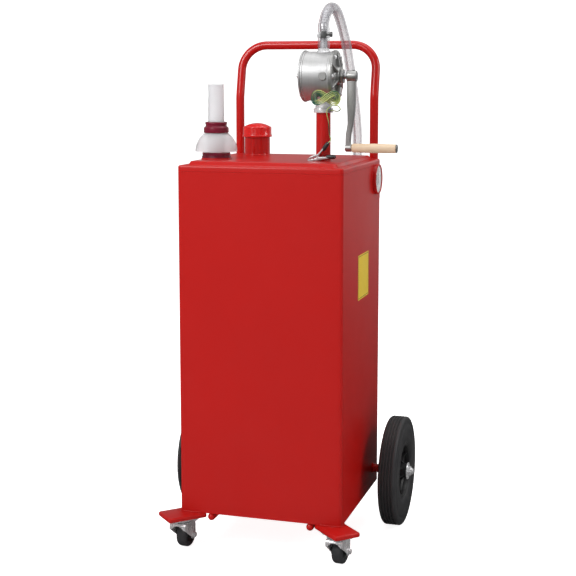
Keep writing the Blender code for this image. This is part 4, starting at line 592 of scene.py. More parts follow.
def cast_group():
    """Sand-cast or tumbled metal: pitted skin with brighter high spots."""
    group, given, out = new_group("cast_metal_skin", (
        COLOUR_IN, ("Grain", 'NodeSocketFloat', 700.0), ("Gloss", 'NodeSocketFloat', 0.36)),
        SKIN_OUT)
    place = object_place(group)
    grain = noise(group, place, given.outputs["Grain"], 3.0, 0.6)
    blotch = noise(group, place, 45.0, 4.0, 0.6)
    dark = spread(group, grain, 0.35, 0.0, 0.3, 0.6)
    shade = mix(group, dark, given.outputs["Colour"], (0.22, 0.22, 0.22, 1.0))
    shade = mix(group, spread(group, blotch, 0.0, 0.25, 0.45, 0.75), shade,
                (0.34, 0.33, 0.32, 1.0))
    rough = maths(group, 'ADD', given.outputs["Gloss"], spread(group, grain, 0.12, 0.0))
    give(group, out, shade, rough, grain)


def moulded_group():
    """Moulded plastic or rubber: fine texture, dust in the low places."""
    group, given, out = new_group("moulded_skin", (
        COLOUR_IN, ("Grain", 'NodeSocketFloat', 900.0), ("Gloss", 'NodeSocketFloat', 0.5),
        ("Dust", 'NodeSocketFloat', 0.1)), SKIN_OUT)
    place = object_place(group)
    grain = noise(group, place, given.outputs["Grain"], 2.0)
    drift = spread(group, noise(group, place, 24.0, 5.0, 0.65), 0.0, 1.0, 0.42, 0.8)
    shade = mix(group, maths(group, 'MULTIPLY', drift, given.outputs["Dust"]),
                given.outputs["Colour"], (0.42, 0.4, 0.37, 1.0))
    rough = maths(group, 'ADD', given.outputs["Gloss"],
                  maths(group, 'MULTIPLY', drift, 0.12))
    give(group, out, shade, rough, grain)


def wood_group():
    """Turned pale wood with its grain along X."""
    group, given, out = new_group("pale_wood_skin", (
        COLOUR_IN, ("Dark", 'NodeSocketColor', (0.5, 0.3, 0.15, 1.0)),
        ("Gloss", 'NodeSocketFloat', 0.5)), SKIN_OUT)
    place = object_place(group)
    warp = noise(group, stretched(group, place, (8.0, 60.0, 60.0)), 1.0, 3.0)
    grain = noise(group, stretched(group, place, (22.0, 420.0, 420.0)), 1.0, 4.0, 0.6)
    pores = noise(group, stretched(group, place, (70.0, 1500.0, 1500.0)), 1.0, 2.0)
    shade = mix(group, spread(group, warp, 0.0, 0.5, 0.4, 0.75), given.outputs["Colour"],
                given.outputs["Dark"])
    shade = mix(group, spread(group, grain, 0.0, 0.45, 0.5, 0.8), shade, given.outputs["Dark"])
    rough = maths(group, 'ADD', given.outputs["Gloss"], spread(group, grain, 0.0, 0.12))
    height = maths(group, 'SUBTRACT', grain, maths(group, 'MULTIPLY', pores, 0.5))
    give(group, out, shade, rough, height)


def stripe_group():
    """A band of a second colour that runs along or winds round a tube's UV map."""
    group, given, out = new_group("stripe_mask", (
        ("Twist", 'NodeSocketFloat', 0.0), ("Centre", 'NodeSocketFloat', 0.5),
        ("Half", 'NodeSocketFloat', 0.1)), (("Mask", 'NodeSocketFloat'),))
    parts = node(group, 'ShaderNodeSeparateXYZ',
                 {0: node(group, 'ShaderNodeUVMap', uv_map="UVMap").outputs[0]})
    wound = maths(group, 'MULTIPLY_ADD', parts.outputs["Y"], given.outputs["Twist"],
                  parts.outputs["X"])
    turn = maths(group, 'FRACT', wound)
    away = maths(group, 'ABSOLUTE', maths(group, 'SUBTRACT', turn, given.outputs["Centre"]))
    mask = maths(group, 'LESS_THAN', away, given.outputs["Half"])
    group.links.new(mask, out.inputs["Mask"])


def build_groups():
    for builder in (coat_group, metal_group, cast_group, moulded_group, wood_group,
                    stripe_group):
        builder()


# Finishes, each made once and then shared

def skinned(name, group, relief, depth, metallic=0.0, **values):
    """A material whose colour, roughness and relief come from a shared group."""
    made = bpy.data.materials.new(name)
    made.use_nodes = True
    tree = made.node_tree
    shader = tree.nodes["Principled BSDF"]
    skin = tree.nodes.new('ShaderNodeGroup')
    skin.node_tree = bpy.data.node_groups[group]
    set_inputs(skin, values)
    bump = node(tree, 'ShaderNodeBump', {"Height": skin.outputs["Height"],
                                         "Strength": relief, "Distance": depth})
    tree.links.new(skin.outputs["Colour"], shader.inputs["Base Color"])
    tree.links.new(skin.outputs["Roughness"], shader.inputs["Roughness"])
    tree.links.new(bump.outputs["Normal"], shader.inputs["Normal"])
    shader.inputs["Metallic"].default_value = metallic
    return shader


def paint():
    return bpy.context.scene.caddy_colours


def build_finishes():
    colours = paint()
    shader = skinned("red_powder_coat", "powder_coat_skin", 0.08, 0.0003, Colour=colours.red,
                     Peel=480.0, Mottle=0.02, Gloss=0.28)
    set_inputs(shader, {"Specular IOR Level": 0.3, "Coat Weight": 0.06, "Coat Roughness": 0.22})
    shader = skinned("red_tube_coat", "powder_coat_skin", 0.12, 0.0003, Colour=colours.red,
                     Peel=420.0, Mottle=0.03, Gloss=0.18)
    set_inputs(shader, {"Specular IOR Level": 0.35, "Coat Weight": 0.06, "Coat Roughness": 0.12})
    shader = skinned("red_cap_enamel", "powder_coat_skin", 0.08, 0.0003,
                     Colour=colours.cap_red, Peel=240.0, Mottle=0.03, Gloss=0.14)
    set_inputs(shader, {"Coat Weight": 0.15, "Coat Roughness": 0.05})
    skinned("zinc_plate", "worked_metal_skin", 0.05, 0.0002, 0.55, Colour=colours.zinc,
            Lines=(90.0, 90.0, 25.0), Contrast=0.06, Gloss=0.15)
    skinned("turned_aluminium", "worked_metal_skin", 0.12, 0.0002, 0.8,
            Colour=colours.aluminium, Lines=(1800.0, 12.0, 12.0), Contrast=0.22, Gloss=0.4)
    skinned("cast_aluminium", "cast_metal_skin", 0.22, 0.0003, 0.9,
            Colour=colours.casting, Grain=620.0, Gloss=0.36)
    skinned("bare_steel", "worked_metal_skin", 0.06, 0.0002, 1.0, Colour=colours.steel,
            Lines=(120.0, 120.0, 120.0), Contrast=0.25, Gloss=0.26)
    skinned("dark_steel", "worked_metal_skin", 0.06, 0.0002, 0.9, Colour=colours.dark_steel,
            Lines=(120.0, 120.0, 120.0), Contrast=0.35, Gloss=0.24)
    skinned("burgundy_plastic", "moulded_skin", 0.05, 0.0002, Colour=colours.burgundy,
            Grain=500.0, Gloss=0.17, Dust=0.02)
    skinned("black_plastic", "moulded_skin", 0.1, 0.0002, Colour=colours.black,
            Grain=800.0, Gloss=0.38, Dust=0.05)
    skinned("tyre_rubber", "moulded_skin", 0.22, 0.0003, Colour=colours.rubber,
            Grain=420.0, Gloss=0.55, Dust=0.05)
    skinned("roller_rubber", "moulded_skin", 0.12, 0.0003, Colour=colours.roller,
            Grain=600.0, Gloss=0.42, Dust=0.04)
    skinned("pale_wood", "pale_wood_skin", 0.25, 0.0003, Colour=colours.wood,
            Dark=colours.wood_dark, Gloss=0.48)
    skinned("label_vinyl", "moulded_skin", 0.03, 0.0001, Colour=colours.label,
            Grain=300.0, Gloss=0.32, Dust=0.03)
    skinned("label_border", "moulded_skin", 0.03, 0.0001, Colour=(0.03, 0.03, 0.03, 1.0),
            Grain=300.0, Gloss=0.32, Dust=0.0)
    skinned("dial_card", "moulded_skin", 0.02, 0.0001, Colour=(0.8, 0.78, 0.75, 1.0),
            Grain=900.0, Gloss=0.45, Dust=0.03)
    shader = skinned("frosted_plastic", "moulded_skin", 0.0, 0.0002,
                     Colour=(0.9, 0.9, 0.91, 1.0), Grain=350.0, Gloss=0.34, Dust=0.0)
    set_inputs(shader, {"Transmission Weight": 0.72, "IOR": 1.22})
    shader = skinned("clear_plastic", "moulded_skin", 0.02, 0.0001,
                     Colour=(0.95, 0.96, 0.96, 1.0), Grain=200.0, Gloss=0.05, Dust=0.0)
    set_inputs(shader, {"Transmission Weight": 0.95, "IOR": 1.35})
    hose_finish()
    wire_finish()


def use_stripe(tree, **values):
    made = tree.nodes.new('ShaderNodeGroup')
    made.node_tree = bpy.data.node_groups["stripe_mask"]
    set_inputs(made, values)
    return made


def hose_finish():
    """Clear hose: see-through where it faces the eye, denser towards its edges and darkened there
    by a painted shade.
    """
    shader = skinned("clear_hose", "moulded_skin", 0.0, 0.0002,
                     Colour=(0.5, 0.49, 0.53, 1.0), Grain=300.0, Gloss=0.13, Dust=0.0)
    tree = shader.id_data
    base = shader.inputs["Base Color"].links[0].from_socket
    facing = node(tree, 'ShaderNodeLayerWeight', {"Blend": 0.35}).outputs["Facing"]
    # painted shade: the hose's colour goes dark grey towards its edges
    shade = mix(tree, spread(tree, facing, 0.0, 1.0, 0.25, 0.95), base, (0.2, 0.19, 0.21, 1.0))
    line = use_stripe(tree, Twist=0.0, Centre=0.48, Half=0.03).outputs["Mask"]
    shade = mix(tree, line, shade, (0.2, 0.01, 0.022, 1.0))
    tree.links.new(shade, shader.inputs["Base Color"])
    dense = maths(tree, 'MAXIMUM', spread(tree, facing, 0.21, 0.7, 0.15, 0.95),
                  maths(tree, 'MULTIPLY', line, 0.6))
    tree.links.new(dense, shader.inputs["Alpha"])
    shader.inputs["Coat Weight"].default_value = 0.3


def wire_finish():
    """Earthing wire: green sheath with a yellow stripe that winds round it, widened towards +X as
    painted light on the hank's right lobe and painted shade on its left.
    """
    colours = paint()
    shader = skinned("earth_sheath", "moulded_skin", 0.04, 0.0002,
                     Colour=colours.wire_green, Grain=900.0, Gloss=0.26, Dust=0.02)
    tree = shader.id_data
    base = shader.inputs["Base Color"].links[0].from_socket
    band = use_stripe(tree, Twist=12.0, Centre=0.5, Half=0.25)
    # painted light and shade: the yellow stripe is narrow on the hank's left lobe and wide on its
    # right
    shade_to_light_x = node(tree, 'ShaderNodeSeparateXYZ', {0: object_place(tree)}).outputs["X"]
    tree.links.new(spread(tree, shade_to_light_x, 0.13, 0.34, 0.118, 0.162), band.inputs["Half"])
    tree.links.new(mix(tree, band.outputs["Mask"], base, colours.wire_yellow),
                   shader.inputs["Base Color"])
    shader.inputs["Coat Weight"].default_value = 0.2


# Sizes and colours that a user may change

def colour_of(label, value, note):
    return FloatVectorProperty(name=label, description=note, default=(*value, 1.0), size=4,
                               subtype='COLOR', min=0.0, max=1.0)


def length_of(label, value, note):
    return FloatProperty(name=label, description=note, default=value, min=0.0,
                         subtype='DISTANCE', unit='LENGTH')


class CaddyColours(PropertyGroup):
    """Colours of the caddy's finishes"""
    red: colour_of("Red coat", (0.5, 0.007, 0.0052), "Powder coat of the tank and tubes")
    cap_red: colour_of("Cap red", (0.68, 0.01, 0.008), "Enamel of the filler cap")
    burgundy: colour_of("Burgundy", (0.18, 0.003, 0.022), "Plastic of the float gauge")
    zinc: colour_of("Zinc", (0.88, 0.88, 0.89), "Plating of casters, bolts and nuts")
    aluminium: colour_of("Aluminium", (0.54, 0.54, 0.54), "Cast and turned pump parts")
    casting: colour_of("Casting", (0.42, 0.42, 0.41), "Cast cover, gland and crank lever")
    steel: colour_of("Steel", (0.52, 0.52, 0.53), "Bare steel of shaft, spout and clip")
    dark_steel: colour_of("Dark steel", (0.2, 0.2, 0.2), "Clamp and clip")
    black: colour_of("Black plastic", (0.018, 0.018, 0.019), "Rims, trigger and grips")
    rubber: colour_of("Tyre rubber", (0.03, 0.03, 0.032), "Rear tyres")
    roller: colour_of("Roller rubber", (0.036, 0.036, 0.039), "Caster treads")
    wood: colour_of("Wood", (0.78, 0.6, 0.42), "Crank grip")
    wood_dark: colour_of("Wood grain", (0.55, 0.34, 0.18), "Darker grain of the grip")
    label: colour_of("Label", (0.86, 0.6, 0.03), "Blank label on the side")
    wire_green: colour_of("Wire green", (0.008, 0.105, 0.06), "Sheath of the earthing wire")
    wire_yellow: colour_of("Wire yellow", (0.5, 0.58, 0.17), "Stripe of the earthing wire")
    floor: colour_of("Floor", (0.9, 0.9, 0.9), "Floor and backdrop")


class CaddySizes(PropertyGroup):
    """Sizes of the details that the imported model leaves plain"""
    bead: length_of("Weld bead", 0.003, "Leg of a weld fillet")
    sheet: length_of("Tank sheet", 0.002, "Thickness of the tank's steel")
    bend: length_of("Tank bend", 0.008, "Radius of the tank's upright bends")
    panel_inset: length_of("Panel inset", 0.018, "Flat shoulder round the raised panel")
    panel_slope: length_of("Panel slope", 0.006, "Width of the step up to the panel")
    panel_rise: length_of("Panel rise", 0.009, "Height of the raised panel")
    plate_width: length_of("Plate width", 0.068, "Width of a caster plate")
    plate_length: length_of("Plate length", 0.1, "Length of a caster plate")
    trail: length_of("Caster trail", 0.022, "Swivel axis to the roller's axle")
    caster_turn: FloatProperty(name="Caster turn", description="How far the casters trail "
                               "to the right", default=math.radians(5.0), subtype='ANGLE')
    tread_grooves: IntProperty(name="Tread grooves", description="Grooves round a tyre",
                               default=4, min=0, max=8)
    cover_screws: IntProperty(name="Cover screws", description="Screws round a pump cover",
                              default=6, min=3, max=12)
    hose_radius: length_of("Hose radius", 0.0125, "Outside radius of the hose")
    hose_bore: length_of("Hose bore", 0.0095, "Inside radius of the hose")
    wire_radius: length_of("Wire radius", 0.0014, "Radius of the earthing wire")
    tube_radius: length_of("Handle tube", 0.011, "Outside radius of the handle's tube")


def sizes():
    return bpy.context.scene.caddy_sizes


# The tank

def tank_wrapper():
    """Four sides of one folded sheet, open above and below."""
    bend = sizes().bend
    shell = block("tank_wrapper", low("tank_shell"), high("tank_shell"))
    edit(shell)
    pick('FACE', lambda face: abs(face.normal.z) > 0.5)
    bpy.ops.mesh.delete(type='ONLY_FACE')
    pick('EDGE', lambda edge: abs(edge.verts[0].co.z - edge.verts[1].co.z) > bend)
    bpy.ops.mesh.bevel(offset=bend, segments=8, affect='EDGES')
    thicken(shell, sizes().sheet)
    mount(shell, "red_powder_coat", "caddy", "tank_shell")


def tank_seam():
    """The welded lap where the wrapper's ends meet, down the middle of the back."""
    back = high("tank_shell").y
    half = 0.007
    bottom = low("tank_shell").z + half
    top = low("handle_bracket").z - half
    lap = block("tank_seam", (-half, back - sizes().sheet / 2, bottom),
                (half, back + sizes().sheet * 0.6, top))
    soften(lap, sizes().sheet * 0.5, 3)
    mount(lap, "red_powder_coat", "caddy", slot="tank_shell")


def lid_hole(piece, node_name, radius):
    """Cut the round hole that a fitting on the lid stands in."""
    spot = centre(node_name)
    top = high("tank_top").z + OVERRUN
    bottom = low("tank_top").z
    cut(piece, lathe("lid_hole", ring_outline(0.0, radius, bottom, top),
                     at((spot.x, spot.y, 0)), 64))


def tank_lid():
    """The pressed lid: turned-down edge, flat shoulder and raised panel."""
    own = sizes()
    bottom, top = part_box("tank_top")
    middle = centre("tank_top")
    width = top.x - bottom.x
    depth = top.y - bottom.y
    shoulder = top.z - own.panel_rise
    roll = own.bend * 0.6
    skirt = rounded_rectangle(width, depth, own.bend, middle)
    lid = draw("tank_lid", [(x, y, bottom.z) for x, y in skirt])
    fill_outline()
    bpy.ops.mesh.normals_make_consistent(inside=False)
    extrude((0, 0, shoulder - roll - bottom.z))
    reach = arc((0.0, 0.0), roll, 0, 90, 5)
    for (x, z), (next_x, next_z) in zip(reach, reach[1:]):
        bpy.ops.mesh.inset(thickness=x - next_x)
        bpy.ops.transform.translate(value=(0, 0, next_z - z))
    bpy.ops.mesh.delete(type='ONLY_FACE')
    pick('FACE', lambda face: face.calc_center_median().z < bottom.z + MERGE)
    bpy.ops.mesh.delete(type='ONLY_FACE')
    inset = 2 * own.panel_inset
    panel = rounded_rectangle(width - inset, depth - inset, own.panel_slope * 2, middle)
    raised = draw("raised_panel", [(x, y, shoulder) for x, y in panel])
    fill_outline()
    bpy.ops.mesh.inset(thickness=own.panel_slope)
    bpy.ops.transform.translate(value=(0, 0, own.panel_rise))
    bpy.ops.object.mode_set(mode='OBJECT')
    lid = gather("tank_lid", [lid, raised])
    edit(lid)
    pick('EDGE', lambda edge: len(edge.link_faces) < 2
         and min(point.co.z for point in edge.verts) > shoulder - MERGE)
    bpy.ops.mesh.bridge_edge_loops()
    close_up()
    soften(lid, own.panel_slope / 3, 3, 25.0)
    thicken(lid, own.sheet)
    lid_hole(lid, "filler_neck", across("filler_neck").x / 2 - own.bead * 1.1)
    lid_hole(lid, "gauge_collar", 0.026)
    lid_hole(lid, "standpipe", across("standpipe").x / 2 - own.bead * 1.1)
    mount(lid, "red_powder_coat", "caddy", "tank_top")


class CADDY_OT_tank(Operator):
    """Model the tank's wrapper, seam and lid, and finish its floor"""
    bl_idname = "caddy.tank"
    bl_label = "Tank"

    def execute(self, context):
        tank_wrapper()
        tank_seam()
        tank_lid()
        repaint("tank_bottom", "red_powder_coat")
        return {'FINISHED'}


# What is welded under the tank

def frame_rails():
    for suffix in ("left", "right"):
        bottom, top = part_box("frame_rail_" + suffix)
        middle = centre("frame_rail_" + suffix)
        radius = (top.z - bottom.z) / 2
        length = top.y - bottom.y
        tip = arc((0.0, length - radius), radius, 90, 0, 8)
        rail = lathe("rail_" + suffix, [*tip, (radius, 0.0), (0.0, 0.0)],
                     frame_at((middle.x, top.y, middle.z), (0, -1, 0)), 40)
        mount(rail, "red_powder_coat", "caddy", "frame_rail_" + suffix)


def inward(side):
    """The way from a front corner of the tank towards its middle."""
    return Vector((-side, 1.0, 0.0)).normalized()


def corner_plates():
    own = sizes()
    for side, suffix in ((-1, "left"), (1, "right")):
        name = "caster_plate_" + suffix
        middle = centre(name)
        half = Vector((own.plate_length / 2, own.plate_width / 2, across(name).z / 2))
        step = block("corner_plate_" + suffix, -half, half,
                     frame_at(middle, (0, 0, 1), inward(side)))
        soften(step, across(name).z * 0.36, 5)
        mount(step, "red_powder_coat", "caddy", name)
        plate_weld(side, suffix)


def plate_weld(side, suffix):
    """The bead that joins a corner plate to the tank's lower edge, in short ripples."""
    own = sizes()
    bottom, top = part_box("tank_shell")
    corner = Vector((side * top.x, bottom.y, bottom.z + own.bead * 0.2))
    reach = own.plate_width * 0.4
    path = smooth_path([
        corner + Vector((-side * reach * 1.9, -own.bead * 0.2, 0)),
        corner + Vector((-side * own.bend * 1.2, -own.bead * 0.2, 0)),
        corner + Vector((-side * own.bend * 0.25, own.bend * 0.25, 0)),
        corner + Vector((side * own.bead * 0.2, own.bend * 1.2, 0)),
        corner + Vector((side * own.bead * 0.2, reach, 0))], own.bead / 3)
    radii = [own.bead * (0.55 + 0.09 * math.sin(index * 2.1)) for index in range(len(path))]
    bead = swept("plate_weld_" + suffix, path, radii, 10)
    mount(bead, "red_powder_coat", "caddy", slot="caster_plate_" + suffix, angle=60.0)


def sleeve():
    """The cross tube through the tank that the axle runs in, with a bead at each side."""
    own = sizes()
    middle = centre("axle_sleeve")
    end = high("axle_sleeve").x
    outer = across("axle_sleeve").z / 2
    inner = outer - own.sheet * 1.2
    side = high("tank_shell").x
    half = [(inner, end), (outer, end), (outer, side + own.bead), (outer + own.bead, side)]
    tube = lathe("cross_tube", half + mirrored(half), along_x(middle), 48, closed=True)
    mount(tube, "red_powder_coat", "caddy", "axle_sleeve")


class CADDY_OT_underframe(Operator):
    """Model the rails, corner plates and cross tube under the tank"""
    bl_idname = "caddy.underframe"
    bl_label = "Underframe"

    def execute(self, context):
        frame_rails()
        corner_plates()
        sleeve()
        return {'FINISHED'}


# Casters, modelled once round the swivel axis and copied

FORK_HALF = 0.021          # half width of a caster's fork


def roller_radius():
    return across("caster_wheel_right").z / 2


def swivel_frame(suffix):
    """The floor point under a swivel axis, local +X where the roller trails."""
    middle = centre("caster_mount_" + suffix)
    turn = sizes().caster_turn
    return frame_at((middle.x, middle.y, 0.0), (0, 0, 1), (math.sin(turn), math.cos(turn), 0))


def caster_pad(pad_low, pad_high):
    """Top pad with the upper race, and a nut and bolt end at each corner."""
    thick = 0.0025
    race = 0.027
    pad = plate("pad", rounded_rectangle(0.07, 0.058, 0.008), thick, at((0, 0, pad_high - thick)))
    soften(pad, thick / 4, 2)
    under = pad_high - thick
    drop_z = under - pad_low
    cup = lathe("cup", [
        (0.0, under), (race, under), (race, under - drop_z * 0.35),
        (race - drop_z * 0.25, under - drop_z * 0.62), (0.0, under - drop_z * 0.62)], None, 56)
    ring = lathe("ring", ring_outline(0.0, race - 0.002, pad_low, pad_low + drop_z * 0.2),
                 None, 56)
    pieces = [pad, cup, ring]
    for x in (-0.0262, 0.0262):
        for y in (-0.0212, 0.0212):
            nut = hex_bar("nut", 0.0048, 0.0036, at((x, y, under - 0.0036)), 0.0004)
            end = lathe("end", [
                (0.0, under), (0.0028, under), (0.0028, under - 0.005), (0.0022, under - 0.0055),
                (0.0, under - 0.0055)], at((x, y, 0)), 20)
            pieces += [nut, end]
    return gather("caster_pad", pieces)


def caster_hood(crown):
    """Pressed fork: a hood over the roller with an arched front lip, and two legs."""
    own = sizes()
    wall = 0.0024
    half = FORK_HALF
    lead = 0.026
    back = 0.028
    roller = roller_radius()
    boss = arc((own.trail, roller), 0.0105, 195, 375, 20)
    lip = crown - 0.015
    outline = [(-lead + 0.005, crown), *arc((-lead + 0.007, crown - 0.007), 0.007, 100, 180, 6),
               (-lead, lip), *boss, (back + 0.005, lip), *arc(
                   (back - 0.005, crown - 0.007), 0.007, 5, 85, 6)]
    hood = plate("caster_hood", outline, 2 * half,
                 turned(math.radians(90.0), 'X') @ at((0, 0, -half)))
    soften(hood, 0.0035, 4, 50.0)
    inner = half - wall
    hollow = block("hollow", (wall - lead, -inner, -OVERRUN), (back + roller, inner, crown - wall))
    soften(hollow, 0.0022, 3)
    arch = plate("arch", [(-inner * 0.98, -crown), (inner * 0.98, -crown),
                          *arc((0.0, lip - 0.0095), inner * 0.98, 8, 172, 18)], OVERRUN * 2.6,
                 frame_at((-lead - OVERRUN, 0, 0), (1, 0, 0), (0, 1, 0)))
    dimple = lathe("dimple", ring_outline(0.0, 0.0026, -OVERRUN, OVERRUN),
                   frame_at((-lead, 0, crown - 0.0075), (-1, 0, 0)), 24)
    cut(hood, hollow, arch, dimple)
    return hood


def caster_bolt():
    """The roller's bolt with its head, washer, lock nut and both hexes."""
    half = FORK_HALF
    radius = 0.004
    where = frame_at((sizes().trail, 0, roller_radius()), (0, 1, 0))
    shank = lathe("shank", [
        (0.0, half + 0.0068), (radius - 0.0006, half + 0.0068), (radius, half + 0.006),
        (radius, -half - 0.002), (0.0, -half - 0.002)], where, 28)
    head = hex_bar("head", 0.006, 0.005, where @ at((0, 0, -half - 0.0058)), 0.0005)
    nut = hex_bar("nut", 0.006, 0.0046, where @ at((0, 0, half + 0.0008)), 0.0005)
    washers = [lathe("washer", ring_outline(radius, 0.0078, z, z + 0.0008), where, 36,
                     closed=True) for z in (half, -half - 0.0008)]
    return gather("caster_bolt", [shank, head, nut, *washers])


def roller_parts():
    """Tread and core of a roller, round local Z."""
    half = 0.014
    round_off = 0.0075
    rim = roller_radius() - round_off
    seat = rim - 0.0035
    tread = [(seat, half - 0.0008), *arc((rim, half - round_off), round_off, 90, 8, 10),
             *arc((rim, round_off - half), round_off, -8, -90, 10), (seat, 0.0008 - half)]
    tread = lathe("roller_tread", tread, None, 72, closed=True)
    hub = half + 0.0038
    core = [(0.0045, hub), (0.0092, hub), (0.01, hub - 0.001), (0.01, half - 0.0035),
            (seat - 0.0022, half - 0.003), (seat - 0.0004, half - 0.0014),
            (seat - 0.0004, 0.0014 - half), (seat - 0.0022, 0.003 - half),
            (0.01, 0.0035 - half), (0.01, 0.001 - hub), (0.0092, -hub), (0.0045, -hub)]
    core = lathe("roller_core", core, None, 56, closed=True)
    return tread, core


def race_seal(pad_low):
    """A black disc that fills the gap between the race and the hood."""
    return lathe("race_seal", ring_outline(0.0, 0.0256, pad_low + 0.0012, pad_low + 0.0035),
                 None, 56)


class CADDY_OT_casters(Operator):
    """Model one swivel caster and copy it under both front plates"""
    bl_idname = "caddy.casters"
    bl_label = "Casters"

    def execute(self, context):
        bottom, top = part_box("caster_mount_right")
        pad = caster_pad(bottom.z, top.z)
        gap_disc = race_seal(bottom.z)
        hood = caster_hood(high("caster_fork_right").z)
        bolt = caster_bolt()
        tread, core = roller_parts()
        for side, suffix in ((-1, "left"), (1, "right")):
            swivel = swivel_frame(suffix)
            pad_at = frame_at(swivel.translation, (0, 0, 1), inward(side))
            axle = swivel @ frame_at((sizes().trail, 0, roller_radius()), (0, 1, 0))
            fork = "caster_" + suffix
            roller = "roller_" + suffix
            for piece, name, look, place, body, home in (
                    (pad, "caster_pad_", "zinc_plate", pad_at, "caddy", "caster_mount_"),
                    (gap_disc, "race_seal_", "black_plastic", pad_at, "caddy", "caster_mount_"),
                    (hood, "caster_hood_", "zinc_plate", swivel, fork, "caster_fork_"),
                    (bolt, "caster_bolt_", "zinc_plate", swivel, fork, "caster_fork_"),
                    (tread, "roller_tread_", "roller_rubber", axle, roller, "caster_wheel_"),
                    (core, "roller_core_", "black_plastic", axle, roller, "caster_wheel_")):
                stands_for = [home + suffix] if piece in (pad, hood, tread) else []
                mount(copy_to(piece, name + suffix, place), look, body, *stands_for,
                      slot=home + suffix)
        drop(pad, gap_disc, hood, bolt, tread, core)
        return {'FINISHED'}


# Rear wheels, modelled once round local Z and copied

TYRE_SLIM = 0.0055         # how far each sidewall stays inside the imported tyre


def tyre_half():
    return across("tyre_right").x / 2 - TYRE_SLIM


def tyre_outline():
    """Half-round shoulders, a flat tread with grooves, and a stepped sidewall."""
    half = tyre_half()
    top = across("tyre_right").z / 2
    bore = across("rim_right").z / 2 - 0.004
    grooves = sizes().tread_grooves
    shoulder = 0.007
    tall = top - bore
    right = [(bore, half - 0.0085), (bore + 0.003, half - 0.004), (bore + 0.0052, half - 0.0018),
             (bore + 0.007, half - 0.0024), (bore + 0.009, half - 0.0008),
             (bore + tall * 0.3, half + 0.0002), (bore + tall * 0.55, half),
             (bore + tall * 0.72, half - 0.0008), (bore + tall * 0.74, half - 0.0018),
             (bore + tall * 0.765, half - 0.0014),
             *arc((top - shoulder, half - shoulder - 0.0012), shoulder, 74, 6, 8)]
    flat_half = half - shoulder - 0.001
    pitch = 2 * flat_half / grooves
    tread = []
    for index in range(grooves):
        middle = flat_half - (index + 0.5) * pitch
        for offset, sink in ((0.0023, 0.0), (0.0014, 0.003), (0.0, 0.0036), (-0.0014, 0.003),
                             (-0.0023, 0.0)):
            tread.append((top - sink, middle + offset))
    return [*right, (top, flat_half), *tread, (top, -flat_half), *mirrored(right)]


def wheel_centre():
    """Dished centre with its hub, ribs and rolled rim lips."""
    half = tyre_half()
    lip = across("rim_right").z / 2
    hub_half = across("rim_right").x / 2
    bore = across("axle").z / 2 + 0.0003
    seat = lip - 0.004
    inside = seat - 0.004
    rim_half = half - 0.0046
    web = 0.002
    side = [(bore, hub_half), (0.0178, hub_half), (0.019, hub_half - 0.0012),
            (0.0195, web + 0.004), (0.0225, web), (inside - 0.006, web), (inside, web + 0.006),
            (inside, rim_half - 0.004), (inside + 0.0015, rim_half),
            (inside + 0.0045, rim_half + 0.0014), (lip - 0.0004, rim_half + 0.0004),
            (lip - 0.0004, rim_half - 0.0008), (seat, rim_half - 0.004)]
    disc = lathe("disc", side + mirrored(side), None, 88, closed=True)
    rib_outline = [(0.017, web - 0.0005), (0.017, hub_half - 0.006), (0.026, web + 0.0095),
                   (inside - 0.012, web + 0.0075), (inside + 0.001, web + 0.0125),
                   (inside + 0.001, web - 0.0005)]
    rib = plate("rib", rib_outline, 0.0034,
                frame_at((0, 0.0017, 0), (0, -1, 0), (1, 0, 0)))
    soften(rib, 0.0006, 2)
    ribs = all_round(rib, 6)
    far_ribs = copy_to(ribs, "far_ribs", turned(math.pi, 'X'))
    return gather("wheel_centre", [disc, ribs, far_ribs])


def castle_nut():
    """Flanged nut with six slots, round local Z from its seat at z = 0."""
    flange = across("axle_nut_right").z / 2
    height = across("axle_nut_right").x
    bore = across("axle").z / 2
    skirt = lathe("skirt", [(bore, 0.0024), (flange - 0.0006, 0.0024), (flange, 0.0016),
                            (flange, 0.0), (bore, 0.0)], None, 56, closed=True)
    body = hex_bar("hex", 0.0115, height * 0.66, at((0, 0, 0.0015)), 0.0008, 3)
    crown = lathe("crown", [(bore, height), (0.0098, height), (0.0104, height - 0.0008),
                            (0.0104, height * 0.6), (bore, height * 0.6)], None, 48, closed=True)
    slot = block("slot", (-0.02, -0.0016, height * 0.72), (0.02, 0.0016, height + OVERRUN))
    for index in range(3):      # each cut makes two of the six slots
        cut(crown, copy_to(slot, "slot_cut", turned(index * TAU / 6)))
    drop(slot)
    return gather("castle_nut", [skirt, body, crown])


def cotter_pin():
    """The split pin through the axle's end, one leg bent down and one along."""
    height = across("axle_nut_right").x * 0.86
    radius = 0.0012
    head = [Vector((math.cos(turn) * 0.0026 + 0.0136, math.sin(turn) * 0.0026, height))
            for turn in [math.radians(angle) for angle in range(-140, 141, 20)]]
    head = bent_rod("head", head, radius, 3)
    legs = [bent_rod("leg", rounded_path([(0.0118, y, height), (-0.0122, y, height),
                                          (-0.0122 - 0.001, y * 5, height + bend)], [0.0012], 4),
                     radius * 0.8, 3)
            for y, bend in ((-0.0009, -0.0065), (0.0009, 0.0045))]
    return gather("cotter_pin", [head, *legs])


